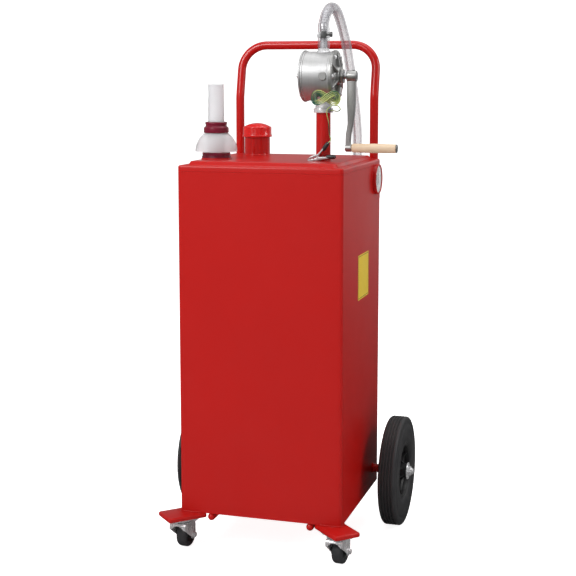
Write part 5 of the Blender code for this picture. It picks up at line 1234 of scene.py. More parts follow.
class CADDY_OT_rear_wheels(Operator):
    """Model a rear wheel with its nut and split pin, and copy it to both sides"""
    bl_idname = "caddy.rear_wheels"
    bl_label = "Rear wheels"

    def execute(self, context):
        tread = lathe("tyre", tyre_outline(), None, 120, closed=True)
        middle = wheel_centre()
        nut = castle_nut()
        pin = cotter_pin()
        for side, suffix in ((-1, "left"), (1, "right")):
            where = along_x(centre("tyre_" + suffix), side)
            nut_x = low("axle_nut_right").x * side
            nut_at = along_x((nut_x, where.translation.y, where.translation.z), side)
            wheel = "wheel_" + suffix
            mount(copy_to(tread, "tyre_tread_" + suffix, where), "tyre_rubber", wheel,
                  "tyre_" + suffix, angle=50.0)
            mount(copy_to(middle, "wheel_centre_" + suffix, where), "black_plastic",
                  wheel, "rim_" + suffix)
            mount(copy_to(nut, "castle_nut_" + suffix, nut_at), "zinc_plate", "caddy",
                  "axle_nut_" + suffix)
            pin_at = nut_at @ turned(math.radians(90.0))
            mount(copy_to(pin, "cotter_pin_" + suffix, pin_at), "zinc_plate", "caddy",
                  slot="axle_nut_" + suffix)
        drop(tread, middle, nut, pin)
        end = high("axle").x
        radius = across("axle").z / 2
        half = [(0.0, end), (radius - 0.0012, end), (radius, end - 0.0012)]
        rod = lathe("axle_rod", half + mirrored(half), along_x(centre("axle")), 40)
        mount(rod, "zinc_plate", "caddy", "axle")
        return {'FINISHED'}


# The handle

def handle_tube():
    """Two legs that lean back above the knee, and a top bar, from one bent tube."""
    bottom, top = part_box("handle")
    radius = sizes().tube_radius
    x = top.x - radius
    near = bottom.y + radius
    far = top.y - radius
    crest = top.z - radius
    knee = crest - 0.135
    corners = [(-x, near, bottom.z), (-x, near, knee), (-x, far, crest), (x, far, crest),
               (x, near, knee), (x, near, bottom.z)]
    bar = bent_rod("handle_tube", rounded_path(corners, [0.06, 0.065, 0.065, 0.06], 16),
                   radius, 8)
    edit(bar)
    pick('FACE', lambda face: face.normal.z < -0.9 and len(face.verts) > 4)
    bpy.ops.mesh.inset(thickness=radius * 0.14)
    extrude((0, 0, 0.05))
    bpy.ops.object.mode_set(mode='OBJECT')
    mount(bar, "red_tube_coat", "caddy", "handle")


def back_bracket():
    """A folded channel across the tank's back, its ears outside the handle's legs."""
    bottom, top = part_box("handle_bracket")
    sheet = 0.003
    ear_back = top.y
    front = bottom.y
    half = top.x
    inner = half - sheet
    outline = [
        (-half, ear_back), (-half, front), (half, front), (half, ear_back), (inner, ear_back),
        (inner, front + sheet), (-inner, front + sheet), (-inner, ear_back)]
    channel = plate("back_bracket", outline, top.z - bottom.z, at((0, 0, bottom.z)))
    edit(channel)
    pick('EDGE', lambda edge: sheet * 0.9
         < abs((edge.verts[0].co - edge.verts[1].co).x) < sheet * 1.1
         and min(point.co.y for point in edge.verts) > ear_back - MERGE)
    bpy.ops.mesh.bevel(offset=0.008, segments=5, affect='EDGES')
    bpy.ops.object.mode_set(mode='OBJECT')
    soften(channel, 0.0006, 2)
    mount(channel, "red_powder_coat", "caddy", "handle_bracket")


def handle_bolts():
    for side, suffix in ((-1, "left"), (1, "right")):
        name = "handle_bolt_" + suffix
        middle = centre(name)
        outside = high("handle_bolt_right").x
        inside = low("handle_bolt_right").x
        ear = high("handle_bracket").x
        place = along_x((0, middle.y, middle.z), side)
        head = outside - ear - 0.0008
        pieces = [lathe("shank", ring_outline(0.0, 0.004, inside, outside), None, 28)]
        for start, tall in ((ear + 0.001, head), (inside + 0.002, head * 0.95)):
            pieces.append(hex_bar("hex", 0.0085, tall, at((0, 0, start)), 0.0007, 3))
        pieces.append(lathe("washer", ring_outline(0.0042, 0.0098, ear + 0.0002, ear + 0.0012),
                            None, 40, closed=True))
        bolt = gather("hex_bolt_" + suffix, pieces)
        settle(bolt, place)
        mount(bolt, "zinc_plate", "caddy", name)


class CADDY_OT_handle(Operator):
    """Model the bent handle, its bracket and bolts"""
    bl_idname = "caddy.handle"
    bl_label = "Handle"

    def execute(self, context):
        handle_tube()
        back_bracket()
        handle_bolts()
        return {'FINISHED'}


# The filler

def foot_weld(radius):
    """The part of a tube's profile where it stands on the lid, with the bead round it."""
    bead = sizes().bead
    panel = high("tank_top").z
    return [*arc((radius + bead, panel + bead), bead * 0.9, 180, 270, 6),
            (radius + bead, panel), (radius, panel - OVERRUN)]


class CADDY_OT_filler(Operator):
    """Model the filler neck and its domed cap"""
    bl_idname = "caddy.filler"
    bl_label = "Filler"

    def execute(self, context):
        neck_low, neck_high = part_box("filler_neck")
        radius = (neck_high.x - neck_low.x) / 2 - sizes().bead
        bore = radius - 0.0025
        where = at((centre("filler_neck").x, centre("filler_neck").y, 0))
        profile = [(bore, neck_high.z), (bore + 0.0008, neck_high.z + 0.0002),
                   (radius - 0.0008, neck_high.z), (radius, neck_high.z - 0.0008),
                   *foot_weld(radius), (radius, neck_low.z), (bore, neck_low.z)]
        neck = lathe("neck_tube", profile, where, 72, closed=True)
        mount(neck, "red_tube_coat", "caddy", "filler_neck")

        cap_low, cap_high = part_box("filler_cap")
        lip = (cap_high.x - cap_low.x) / 2
        outer = lip - 0.0013
        inner = outer - 0.003
        crown = 0.011
        sphere = (outer ** 2 + crown ** 2) / (2 * crown)
        half_angle = math.degrees(math.asin((outer - 0.003) / sphere))
        top = cap_high.z
        dome = arc((0.0, top - sphere), sphere, 90, 90 - half_angle, 12)
        edge_z = dome[-1][1]
        rounding = arc((outer - 0.003, edge_z - 0.0032), 0.003, 78, 0, 6)
        ceiling = cap_low.z + 0.0245
        profile = [
            *dome, *rounding, (outer, cap_low.z + 0.0062),
            *arc((outer - 0.0002, cap_low.z + 0.004), 0.0016, 70, 0, 4), (lip, cap_low.z + 0.0008),
            (lip - 0.0008, cap_low.z), (inner, cap_low.z), (inner, ceiling), (0.0, ceiling)]
        cap = lathe("screw_cap", profile, where, 96)
        mount(cap, "red_cap_enamel", "cap", "filler_cap")
        repaint("filler_gasket", "tyre_rubber")
        return {'FINISHED'}


# The float gauge

def gauge_turned(name, profile, look, node_name, closed=True):
    spot = centre("gauge_collar")
    piece = lathe(name, profile, at((spot.x, spot.y, 0)), 88, closed=closed)
    mount(piece, look, "caddy", node_name)


def gauge_bung():
    bottom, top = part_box("gauge_bung")
    radius = (top.x - bottom.x) / 2
    gauge_turned("bung_ring", [
        (0.0262, top.z), (radius - 0.0015, top.z), (radius - 0.0004, top.z - 0.0005),
        (radius, top.z - 0.0015), (radius + 0.0012, bottom.z), (0.0262, bottom.z)],
        "red_powder_coat", "gauge_bung")


def gauge_base():
    """Screwed base with a foot and a groove."""
    bottom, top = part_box("gauge_base")
    foot = high("gauge_bung").z + 0.0003
    radius = (top.x - bottom.x) / 2
    waist = radius - 0.0012
    spigot = 0.0257
    bore = 0.0222
    profile = [
        (bore, top.z), (waist - 0.0006, top.z), (waist, top.z - 0.0006), (waist, foot + 0.0058),
        (waist - 0.0009, foot + 0.0053), (waist - 0.0009, foot + 0.0045),
        (radius - 0.0003, foot + 0.004), (radius, foot + 0.0034), (radius, foot + 0.0004),
        (radius - 0.0004, foot), (spigot, foot), (spigot, bottom.z), (0.0023, bottom.z),
        (0.0023, bottom.z + 0.003), (bore, bottom.z + 0.003)]
    gauge_turned("threaded_base", profile, "burgundy_plastic", "gauge_base")


def gauge_dome():
    """Milky splash dome with a rolled rim."""
    bottom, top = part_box("gauge_dome")
    radius = (top.x - bottom.x) / 2 * 0.93
    crest = 0.028
    wall = 0.0018
    rim = top.z - 0.044
    reach = math.acos(crest / radius)
    outer = []
    inner = []
    for step in range(19):
        turn = reach * step / 18
        rise = (top.z - rim) * math.sin(turn) / math.sin(reach)
        outer.append((radius * math.cos(turn), rim + rise))
        inner.append((radius * math.cos(turn) - wall, rim + rise - wall * step / 18))
    collar = 0.0203
    skirt = collar + wall
    profile = [(collar, top.z), *reversed(outer), (radius - wall / 2, rim - 0.0005), *inner[:-1],
               (skirt, top.z - wall), (skirt, bottom.z), (collar, bottom.z)]
    gauge_turned("splash_dome", profile, "frosted_plastic", "gauge_dome")


def gauge_collar():
    """Stepped clamp nut with a rolled lower edge."""
    bottom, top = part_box("gauge_collar")
    radius = (top.x - bottom.x) / 2
    neck = radius - 0.0035
    step = bottom.z + 0.0135
    profile = [
        (0.0203, top.z), (neck - 0.0022, top.z),
        *arc((neck - 0.0022, top.z - 0.002), 0.002, 90, 0, 4), (neck - 0.0002, top.z - 0.0045),
        (neck - 0.0012, top.z - 0.0056), (neck - 0.0012, step + 0.003),
        (neck - 0.0002, step + 0.002), (neck + 0.0012, step + 0.0006),
        *arc((radius - 0.002, step - 0.0018), 0.002, 80, 0, 4),
        *arc((radius - 0.0016, bottom.z + 0.0018), 0.0016, 0, -80, 4), (radius - 0.003, bottom.z),
        (0.0203, bottom.z)]
    gauge_turned("clamp_nut", profile, "burgundy_plastic", "gauge_collar")


def gauge_tube():
    """Sight tube with a closed, slightly raised end."""
    bottom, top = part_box("sight_tube")
    radius = (top.x - bottom.x) / 2
    narrow = radius - 0.001
    wall = 0.0018
    knee = high("gauge_collar").z
    profile = [
        (0.0, top.z - 0.0006), (narrow - 0.0034, top.z - 0.0006), (narrow - 0.0028, top.z),
        *arc((narrow - 0.0012, top.z - 0.0012), 0.0012, 90, 0, 4), (narrow, top.z - 0.004),
        (narrow - 0.0003, top.z - 0.0048), (radius, knee), (radius, bottom.z),
        (radius - wall, bottom.z), (radius - wall, knee), (narrow - wall, top.z - 0.0048),
        (narrow - wall, top.z - wall - 0.0006), (0.0, top.z - wall - 0.0006)]
    gauge_turned("sight_glass", profile, "frosted_plastic", "sight_tube", closed=False)


class CADDY_OT_gauge(Operator):
    """Model the float gauge from its bung to the sight tube"""
    bl_idname = "caddy.gauge"
    bl_label = "Float gauge"

    def execute(self, context):
        gauge_bung()
        gauge_base()
        gauge_dome()
        gauge_collar()
        gauge_tube()
        repaint("gauge_float", "burgundy_plastic")
        return {'FINISHED'}


# The level dial

class CADDY_OT_dial(Operator):
    """Model the round level dial with its bezel, scale and lens, and finish its needle"""
    bl_idname = "caddy.dial"
    bl_label = "Level dial"

    def execute(self, context):
        housing_low, housing_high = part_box("dial_housing")
        middle = centre("dial_housing")
        face_x = high("dial_face").x
        radius = (housing_high.z - housing_low.z) / 2
        wall = high("tank_shell").x
        front = housing_high.x
        inner = radius - 0.0045
        where = along_x((0, middle.y, middle.z))
        floor = low("dial_face").x - 0.0003
        bezel = [(0.0, floor), (inner, floor), (inner, front - 0.0012),
                 *arc((inner + 0.0022, front - 0.0018), 0.0018, 160, 20, 8),
                 *arc((radius - 0.0028, front - 0.0034), 0.0028, 70, 0, 6),
                 (radius, wall + 0.0008), (radius + 0.0004, wall + 0.0002), (0.01, wall + 0.0002),
                 (0.01, housing_low.x), (0.0, housing_low.x)]
        mount(lathe("dial_bezel", bezel, where, 96), "red_powder_coat", "caddy", "dial_housing")
        card = lathe("dial_card", ring_outline(0.0, inner - 0.0004, floor + 0.0002, face_x),
                     where, 72)
        mount(card, "dial_card", "caddy", "dial_face")
        self.scale(where, face_x, inner)
        lens_low, lens_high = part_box("dial_lens")
        lens = [(0.0, lens_high.x), (inner * 0.5, lens_high.x - 0.0001),
                (inner - 0.0004, lens_high.x - 0.0005), (inner - 0.0004, lens_low.x),
                (0.0, lens_low.x)]
        mount(lathe("dial_glass", lens, where, 72), "clear_plastic", "caddy", "dial_lens")
        repaint("dial_needle", "black_plastic")
        return {'FINISHED'}

    def scale(self, where, face_x, inner):
        """Nine plain strokes over the upper arc, the ends and the middle longer."""
        strokes = []
        for index in range(9):
            long = index % 4 == 0
            reach = 0.0075 if long else 0.0045
            half = 0.0007 if long else 0.0004
            turn = turned(math.radians(-72.0 + 18.0 * index))
            strokes.append(block("stroke", (inner - 0.003 - reach, -half, face_x),
                                 (inner - 0.003, half, face_x + 0.00012), turn))
        marks = gather("dial_scale", strokes)
        settle(marks, where)
        mount(marks, "label_border", "caddy", slot="dial_face")


# The pump

def pump_axis(x=0.0):
    """A frame on the shaft's axis, local Z along +X and local X up."""
    spot = centre("pump_rear_cover")
    return along_x((x, spot.y, spot.z))


def pipe_axis():
    spot = centre("standpipe")
    return at((spot.x, spot.y, 0))


def standpipe():
    bottom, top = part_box("standpipe")
    radius = across("standpipe").x / 2 - sizes().bead
    bore = radius - 0.0025
    profile = [(bore, top.z), (radius, top.z), *foot_weld(radius), (radius, bottom.z),
               (bore, bottom.z)]
    mount(lathe("riser_pipe", profile, pipe_axis(), 64, closed=True), "red_tube_coat",
          "caddy", "standpipe")
    repaint("suction_tube", "bare_steel")


def union_nut():
    bottom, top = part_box("inlet_collar")
    radius = (top.x - bottom.x) / 2
    profile = [(0.0129, top.z), (radius - 0.0012, top.z), (radius - 0.0003, top.z - 0.0006),
               (radius, top.z - 0.0016), (radius, top.z - 0.003), (radius - 0.001, top.z - 0.0036),
               (radius - 0.001, bottom.z + 0.003), (radius, bottom.z + 0.0022),
               (radius, bottom.z + 0.0008), (radius - 0.0008, bottom.z),
               (0.0176, bottom.z), (0.0176, bottom.z + 0.0018), (0.0129, bottom.z + 0.0018)]
    mount(lathe("union_nut", profile, pipe_axis(), 64, closed=True), "zinc_plate",
          "caddy", "inlet_collar")


def pump_drum():
    """The drum between the covers, turned smooth, with a land at each end."""
    left = high("pump_rear_cover").x + 0.0003
    right = low("pump_front_cover").x - 0.0003
    radius = 0.058
    bore = 0.05
    profile = [(bore, right), (radius + 0.0012, right), (radius + 0.0012, right - 0.0035),
               (radius, right - 0.0047), (radius, left + 0.0047), (radius + 0.0012, left + 0.0035),
               (radius + 0.0012, left), (bore, left)]
    return lathe("pump_drum", profile, pump_axis(), 128, closed=True)


def pump_ports():
    """The inlet socket below and the outlet boss above, as cast."""
    axis_z = centre("pump_rear_cover").z
    bottom = low("pump_body").z
    inside = 0.054
    socket = lathe("socket", [
        (0.0129, axis_z - 0.05), (0.0222, axis_z - inside),
        *arc((0.0222 + 0.0006, axis_z - inside - 0.006), 0.004, 150, 180, 3),
        (0.0188, bottom + 0.0045), (0.0196, bottom + 0.0036), (0.0196, bottom + 0.0006),
        (0.019, bottom), (0.0129, bottom)], pipe_axis(), 64, closed=True)
    boss = lathe("boss", [
        (0.0, axis_z + 0.0655), (0.0118, axis_z + 0.0655), (0.0132, axis_z + 0.064),
        (0.0142, axis_z + 0.06), (0.0165, axis_z + 0.0575), (0.0185, axis_z + inside),
        (0.0, axis_z + inside)], pipe_axis(), 64)
    return gather("pump_ports", [socket, boss])


def outlet_barb():
    """The long ridged hose tail that shows through the hose."""
    points = smooth_path(hose_knots()[:6], TAIL_PITCH / 6)
    count = round(TAIL_REACH / TAIL_PITCH) * 6
    smooth = round((HOSE_FOOT + HOSE_LAP) / TAIL_PITCH) * 6
    radii = []
    for index in range(count):
        share = index % 6 / 5
        ridge = 0.0 if index < smooth else TAIL_RIDGE * (1 - share)
        radii.append(TAIL_RADIUS - TAIL_RIDGE + ridge)
    return swept("hose_tail", points[:count], radii, 32, 0.0065)


def cover_screws(x):
    """Cap screws with washers round a cover."""
    radius = 0.0505
    head = hex_bar("screw", 0.004, 0.0034, at((radius, 0, x)), 0.0005)
    washer = lathe("washer", ring_outline(0.0, 0.0052, x, x + 0.0009), at((radius, 0, 0)), 28)
    stub = lathe("stub", [(0.0, x + 0.0046), (0.0021, x + 0.0046), (0.0024, x + 0.0042),
                          (0.0024, x), (0.0, x)], at((radius, 0, 0)), 16)
    one = gather("cover_screw", [head, washer, stub])
    count = sizes().cover_screws
    return all_round(one, count, math.pi / count)


def rear_cover():
    bottom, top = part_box("pump_rear_cover")
    right = top.x
    left = bottom.x
    radius = (top.z - bottom.z) / 2
    profile = [
        (0.0, right), (radius - 0.0008, right), (radius, right - 0.0008), (radius, left + 0.0022),
        (radius - 0.0006, left + 0.001), (radius - 0.0018, left + 0.0002), (radius - 0.003, left),
        (0.044, left), (0.042, left + 0.0008), (0.04, left + 0.0024), (0.016, left + 0.0024),
        (0.015, left + 0.0016), (0.0138, left + 0.0008), (0.0, left + 0.0008)]
    mount(lathe("back_cover", profile, pump_axis(), 112), "turned_aluminium", "caddy",
          "pump_rear_cover")
    screws = cover_screws(0.0)
    settle(screws, pump_axis(left) @ turned(math.pi, 'X'))
    mount(screws, "zinc_plate", "caddy", slot="pump_rear_cover")


def front_cover():
    """Ribbed end cover with its gland boss."""
    bottom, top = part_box("pump_front_cover")
    left = bottom.x
    right = top.x
    radius = (top.z - bottom.z) / 2
    face = left + 0.0062
    bore = 0.0068
    gland = 0.0225
    profile = [
        (bore, right), (gland - 0.003, right),
        *arc((gland - 0.003, right - 0.002), 0.002, 80, 10, 4), (gland, face + 0.003),
        (gland + 0.0024, face + 0.0006), (gland + 0.004, face), (0.0455, face),
        (0.0475, face + 0.0016), (radius - 0.003, face + 0.0016), (radius - 0.0012, face + 0.0008),
        (radius, face - 0.0008), (radius, left + 0.0006), (radius - 0.0006, left), (bore, left)]
    disc = lathe("disc", profile, None, 112, closed=True)
    rib = plate("rib", [
        (gland - 0.002, face - 0.001), (0.056, face - 0.001), (0.056, face + 0.003),
        (gland + 0.001, right - 0.0012), (gland - 0.002, right - 0.0012)], 0.0046,
        frame_at((0, 0.0023, 0), (0, -1, 0), (1, 0, 0)))
    soften(rib, 0.0012, 3)
    ribs = all_round(rib, 6)
    cover = gather("ribbed_cover", [disc, ribs])
    settle(cover, pump_axis())
    mount(cover, "cast_aluminium", "caddy", "pump_front_cover")
    screws = cover_screws(face + 0.0016)
    settle(screws, pump_axis())
    mount(screws, "zinc_plate", "caddy", slot="pump_front_cover")


def gland_nut():
    bottom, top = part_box("gland_nut")
    hexagon = hex_bar("gland_hex", 0.016, top.x - bottom.x, at((0, 0, bottom.x)), 0.0012, 3)
    bore = ring_outline(0.0, 0.0068, bottom.x - OVERRUN, top.x + OVERRUN)
    cut(hexagon, lathe("bore", bore, None, 40))
    settle(hexagon, pump_axis())
    mount(hexagon, "cast_aluminium", "caddy", "gland_nut")


def relief_plug():
    """The hex plug with its washer on the drum's front."""
    bottom = low("pump_body").y
    drum = centre("pump_rear_cover").y - 0.058
    middle_x = centre("standpipe").x + 0.013
    place = frame_at((middle_x, drum + 0.002, centre("pump_rear_cover").z), (0, -1, 0), (1, 0, 0))
    tall = drum - bottom + 0.002
    boss = lathe("boss", [
        (0.0, 0.0045), (0.0088, 0.0045), (0.0096, 0.0038), (0.0102, 0.0), (0.0, 0.0)], None, 40)
    hexagon = hex_bar("hex", 0.006, tall - 0.0035, at((0, 0, 0.0035)), 0.0008, 3)
    plug = gather("drain_plug", [boss, hexagon])
    settle(plug, place)
    mount(plug, "cast_aluminium", "caddy", slot="pump_body")


class CADDY_OT_pump(Operator):
    """Model the rotary pump on its standpipe"""
    bl_idname = "caddy.pump"
    bl_label = "Pump"

    def execute(self, context):
        standpipe()
        union_nut()
        mount(pump_drum(), "turned_aluminium", "caddy", "pump_body")
        mount(pump_ports(), "zinc_plate", "caddy", slot="pump_body")
        mount(outlet_barb(), "zinc_plate", "caddy", slot="pump_body")
        rear_cover()
        front_cover()
        gland_nut()
        relief_plug()
        repaint("pump_rotor", "bare_steel")
        return {'FINISHED'}


# The crank

def crank_lever():
    """Tapered lever with a jog, an eye for the grip and a barrel hub on the shaft."""
    bottom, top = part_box("crank_arm")
    spot = centre("pump_rear_cover")
    hub_radius = top.z - spot.z
    hub_half = 0.012
    eye = 0.0092
    reach = spot.z - bottom.z - 0.0105
    left = ((0.0, -0.009), (0.06, -0.0108), (0.4, -0.0108), (0.56, -0.0095), (0.66, -0.0092),
            (0.73, -0.011), (0.8, -0.0132), (0.9, -0.014), (1.06, -0.014))
    right = ((0.0, 0.009), (0.06, 0.0092), (0.4, 0.0088), (0.56, 0.0064), (0.66, 0.0036),
             (0.73, 0.0012), (0.8, -0.001), (0.9, -0.0022), (1.06, -0.0026))
    side = [(x, -reach * share) for share, x in (*left, *reversed(right))]
    slab = 4 * hub_radius
    lever = plate("crank_lever", side, slab, frame_at((0, slab / 2, 0), (0, -1, 0)))
    half = 0.0066
    joins = math.degrees(math.acos(half * 0.9 / eye))
    front = [(half, 0.0), *arc((0.0, -reach), eye, joins, -180 - joins, 20), (-half, 0.0)]
    trim = plate("trim", front, slab, frame_at((-slab / 2, 0, 0), (1, 0, 0), (0, 1, 0)))
    shape_with(lever, trim, 'INTERSECT')
    soften(lever, 0.0014, 3, 50.0)
    hub = lathe("hub", [(0.0068, hub_half), (hub_radius - 0.0022, hub_half),
                        *arc((hub_radius - 0.0022, hub_half - 0.0022), 0.0022, 80, 0, 4),
                        *arc((hub_radius - 0.0022, 0.0022 - hub_half), 0.0022, 0, -80, 4),
                        (hub_radius - 0.0022, -hub_half), (0.0068, -hub_half)],
                along_x((0, 0, 0)), 56, closed=True)
    screw = hex_bar("set_screw", 0.0034, 0.003, at((0.004, 0, hub_radius - 0.001)), 0.0004)
    near = -0.0146
    far = low("crank_grip").x - (top.x - hub_half) - 0.0008
    boss = lathe("eye", [
        (0.0, near), (eye - 0.0012, near), (eye, near + 0.0012), (eye, far - 0.0012),
        (eye - 0.0012, far), (0.0, far)], along_x((0, 0, -reach)), 40)
    lever = gather("crank_lever", [lever, hub, screw, boss])
    settle(lever, at((top.x - hub_half, spot.y, spot.z)))
    mount(lever, "cast_aluminium", "crank", "crank_arm")


def wooden_grip():
    bottom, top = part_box("crank_grip")
    middle = centre("crank_grip")
    length = top.x - bottom.x
    belly = (top.z - bottom.z) / 2
    ends = belly - 0.0008
    side = [(ends + (belly - ends) * math.sin(math.pi * step / 12),
             length - 0.0024 - (length - 0.0048) * step / 12) for step in range(13)]
    profile = [(0.0062, length - 0.0004), (0.007, length), (ends - 0.0024, length),
               *arc((ends - 0.0024, length - 0.0024), 0.0024, 75, 10, 4), *side,
               *arc((ends - 0.0024, 0.0024), 0.0024, -10, -75, 4), (ends - 0.0024, 0.0),
               (0.0046, 0.0), (0.0046, length - 0.006), (0.0062, length - 0.006)]
    grip = lathe("wooden_grip", profile, along_x((bottom.x, middle.y, middle.z)), 64, closed=True)
    mount(grip, "pale_wood", "grip", "crank_grip")


def grip_ferrule():
    """The steel washer and the rolled spindle end that hold the grip on."""
    top = high("crank_grip")
    middle = centre("crank_grip")
    belly = across("crank_grip").z / 2
    ring = lathe("grip_ferrule", [
        (0.0, 0.0006), (0.0036, 0.0006), (0.0046, 0.0016), (belly - 0.0014, 0.0016),
        (belly - 0.0008, 0.001), (belly - 0.0008, 0.0002), (0.0, 0.0002)],
        along_x((top.x, middle.y, middle.z)), 48)
    mount(ring, "dark_steel", "crank", slot="grip_spindle")


class CADDY_OT_crank(Operator):
    """Model the crank lever and its wooden grip"""
    bl_idname = "caddy.crank"
    bl_label = "Crank"

    def execute(self, context):
        crank_lever()
        wooden_grip()
        grip_ferrule()
        repaint("grip_spindle", "zinc_plate")
        return {'FINISHED'}


# The hose and its clamp

HOSE_LAP = 0.022           # how much of the hose tail the clamp holds
HOSE_FOOT = 0.0225         # how far the hose reaches down past the clamp
HOSE_SWELL = 0.0142        # hose radius over the hose tail
TAIL_REACH = 0.09         # length of the ridged hose tail
TAIL_PITCH = 0.0064
TAIL_RADIUS = 0.0093
TAIL_RIDGE = 0.0014
HOSE_BEHIND = 0.0365       # from the lid's back edge to the hanging hose's middle line
NOZZLE_X = -0.0725         # where the hose comes up again, with the nozzle on it


def hose_knots():
    """The hose's own middle line, from the outlet over the back to the nozzle."""
    pipe = centre("standpipe")
    x = pipe.x
    y = pipe.y
    out = high("pump_body").z - HOSE_LAP
    behind = high("tank_top").y + HOSE_BEHIND
    down_x = 0.1325
    loop_z = 0.3
    foot = 0.62
    knots = [
        (x, y, out - HOSE_FOOT), (x, y, out), (x, y, out + HOSE_LAP), (x, y + 0.0015, out + 0.035),
        (x + 0.0015, y + 0.0195, out + 0.06), (x + 0.003, y + 0.0595, out + 0.075),
        (x + 0.004, y + 0.1145, out + 0.064), (x + 0.005, y + 0.1845, out + 0.005),
        (x + 0.008, y + 0.222, out - 0.062), (x + 0.011, y + 0.262, out - 0.15),
        (down_x, y + 0.2895, out - 0.234), (down_x, behind, out - 0.32)]
    for height in (0.8, 0.64, 0.48):
        knots.append((down_x, behind, height))
    radius = (down_x - NOZZLE_X) / 2
    middle = (down_x + NOZZLE_X) / 2
    for degrees in range(0, 181, 30):
        turn = math.radians(degrees)
        knots.append((middle + radius * math.cos(turn), behind,
                      loop_z - radius * math.sin(turn)))
    knots += [(NOZZLE_X, behind, (loop_z + foot) / 2), (NOZZLE_X, behind, foot)]
    return knots


def hose_tube():
    own = sizes()
    points = smooth_path(hose_knots(), own.hose_radius * 0.4)
    radii = []
    for point in points:
        share = min(max((point - points[0]).length - HOSE_FOOT, 0.0) / HOSE_LAP, 2.0) - 1.0
        share = max(share, 0.0)
        near = share < 1.0 and point.z > points[0].z - MERGE
        swell = HOSE_SWELL + (own.hose_radius - HOSE_SWELL) * share * share * (3 - 2 * share)
        radii.append(swell if near else own.hose_radius)
    tube = swept("hose_tube", points, radii, 40, own.hose_bore)
    mount(tube, "clear_hose", "caddy", "hose", angle=70.0)
    return tube, points


def band_clamp():
    """Worm-drive band with its housing, screw and thumb wings."""
    spot = centre("standpipe")
    middle_z = centre("hose_clamp").z - 0.002
    half = 0.0065
    inner = HOSE_SWELL + 0.0002
    outer = inner + 0.001
    band = lathe("band", [
        (inner, half), (outer + 0.0003, half), (outer + 0.0003, half - 0.0008),
        (outer, half - 0.0012), (outer, 0.0012 - half), (outer + 0.0003, 0.0008 - half),
        (outer + 0.0003, -half), (inner, -half)], None, 56, closed=True)
    screw_y = -(outer + 0.0042)
    slot_cut = block("notch", (outer - 0.0006, -0.0004, -half * 0.55),
                     (outer + 0.001, 0.0004, half * 0.55))
    notches = [copy_to(slot_cut, "notch_cut", turned(math.radians(angle)))
               for angle in range(-50, 71, 8)]
    drop(slot_cut)
    cut(band, gather("notches", notches))
    housing = soften(block("housing", (-0.006, screw_y - 0.0046, -half * 1.25),
                           (0.0078, -inner, half * 1.25)), 0.0014, 3)
    threads = [(radius, 0.0078 - 0.0011 * index) for index in range(6)
               for radius in (0.004, 0.0032)]
    screw = lathe("screw", [
        (0.0, 0.0205), (0.004, 0.0205), (0.0046, 0.0196), (0.0046, 0.015), (0.0026, 0.0144),
        (0.0026, 0.009), *threads, (0.0, 0.0)], along_x((0, screw_y, 0)), 28)
    wing_at = along_x((0.018, screw_y, 0)) @ frame_at((0, 0, 0.0009), (0, 1, 0), (0, 0, 1))
    wing = plate("wing", rounded_rectangle(0.0064, 0.013, 0.0026), 0.0022, wing_at)
    soften(wing, 0.0006, 2)
    tongue = soften(block("tongue", (-0.015, screw_y + 0.0024, -half * 0.8),
                          (-0.004, screw_y + 0.0036, half * 0.8)), 0.0005, 2)
    case = gather("clamp_housing", [housing, screw, wing])
    clamp = gather("band_clamp", [band, tongue])
    place = at((spot.x, spot.y, middle_z)) @ turned(math.radians(12.0))
    settle(clamp, place)
    settle(case, place)
    mount(clamp, "zinc_plate", "caddy", "hose_clamp")
    mount(case, "dark_steel", "caddy", slot="hose_clamp")
    return [clamp, case]


class CADDY_OT_hose(Operator):
    """Model the clear hose, its clamp and the nozzle that it ends in"""
    bl_idname = "caddy.hose"
    bl_label = "Hose and nozzle"

    def execute(self, context):
        tube, points = hose_tube()
        clamp = band_clamp()
        nozzle_casting()
        nozzle_tube()
        squeeze_lever()
        stow_hook()
        return {'FINISHED'}


# The nozzle

NOZZLE_TOP = 0.193         # top of the casting, from its lower end


def nozzle_axis():
    return at((NOZZLE_X, high("tank_top").y + HOSE_BEHIND, low("nozzle_body").z))


def nozzle_casting():
    """Inlet swivel, stock, valve head and the bent guard round the trigger."""
    stock = 0.03
    head = 0.135
    top = NOZZLE_TOP
    inlet = 0.0145
    stock_radius = 0.0125
    head_radius = 0.0215
    profile = [
        (0.0, top), (0.0135, top), (0.016, top - 0.0012), (head_radius - 0.001, top - 0.0052),
        (head_radius, top - 0.0075), (head_radius, head + 0.0075),
        (head_radius - 0.0022, head + 0.0035), (stock_radius + 0.003, head - 0.002),
        (stock_radius, head - 0.0065), (stock_radius - 0.0008, head * 0.62),
        (stock_radius, stock + 0.009), (inlet - 0.0012, stock + 0.003), (inlet, stock),
        (inlet, stock - 0.005), (inlet - 0.0014, stock - 0.0062), (inlet - 0.0014, 0.017),
        (inlet, 0.016), (inlet, 0.002), (inlet - 0.002, 0.0), (0.0, 0.0)]
    body = lathe("body", profile, None, 64)
    guard_low = stock + 0.007
    guard_top = head + 0.029
    corners = [(-stock_radius / 2, 0, guard_low), (-0.052, 0, guard_low), (-0.052, 0, guard_top),
               (-head_radius / 2, 0, guard_top)]
    guard = bent_rod("guard", rounded_path(corners, [0.014, 0.014], 10), 0.0034, 5)
    cap = lathe("cap", [
        (0.0, head_radius + 0.014), (0.011, head_radius + 0.014), (0.0135, head_radius + 0.0128),
        (0.0145, head_radius + 0.0105), (0.0165, head_radius), (0.0165, head_radius - 0.006),
        (0.0, head_radius - 0.006)], along_x((0, 0, guard_top)), 48)
    ear = soften(block("ear", (-0.031, -0.0025, head - 0.012), (0.0, 0.0025, head + 0.008)),
                 0.0012, 3)
    casting = gather("nozzle_casting", [body, guard, cap, ear])
    settle(casting, nozzle_axis())
    mount(casting, "cast_aluminium", "caddy", "nozzle_body")


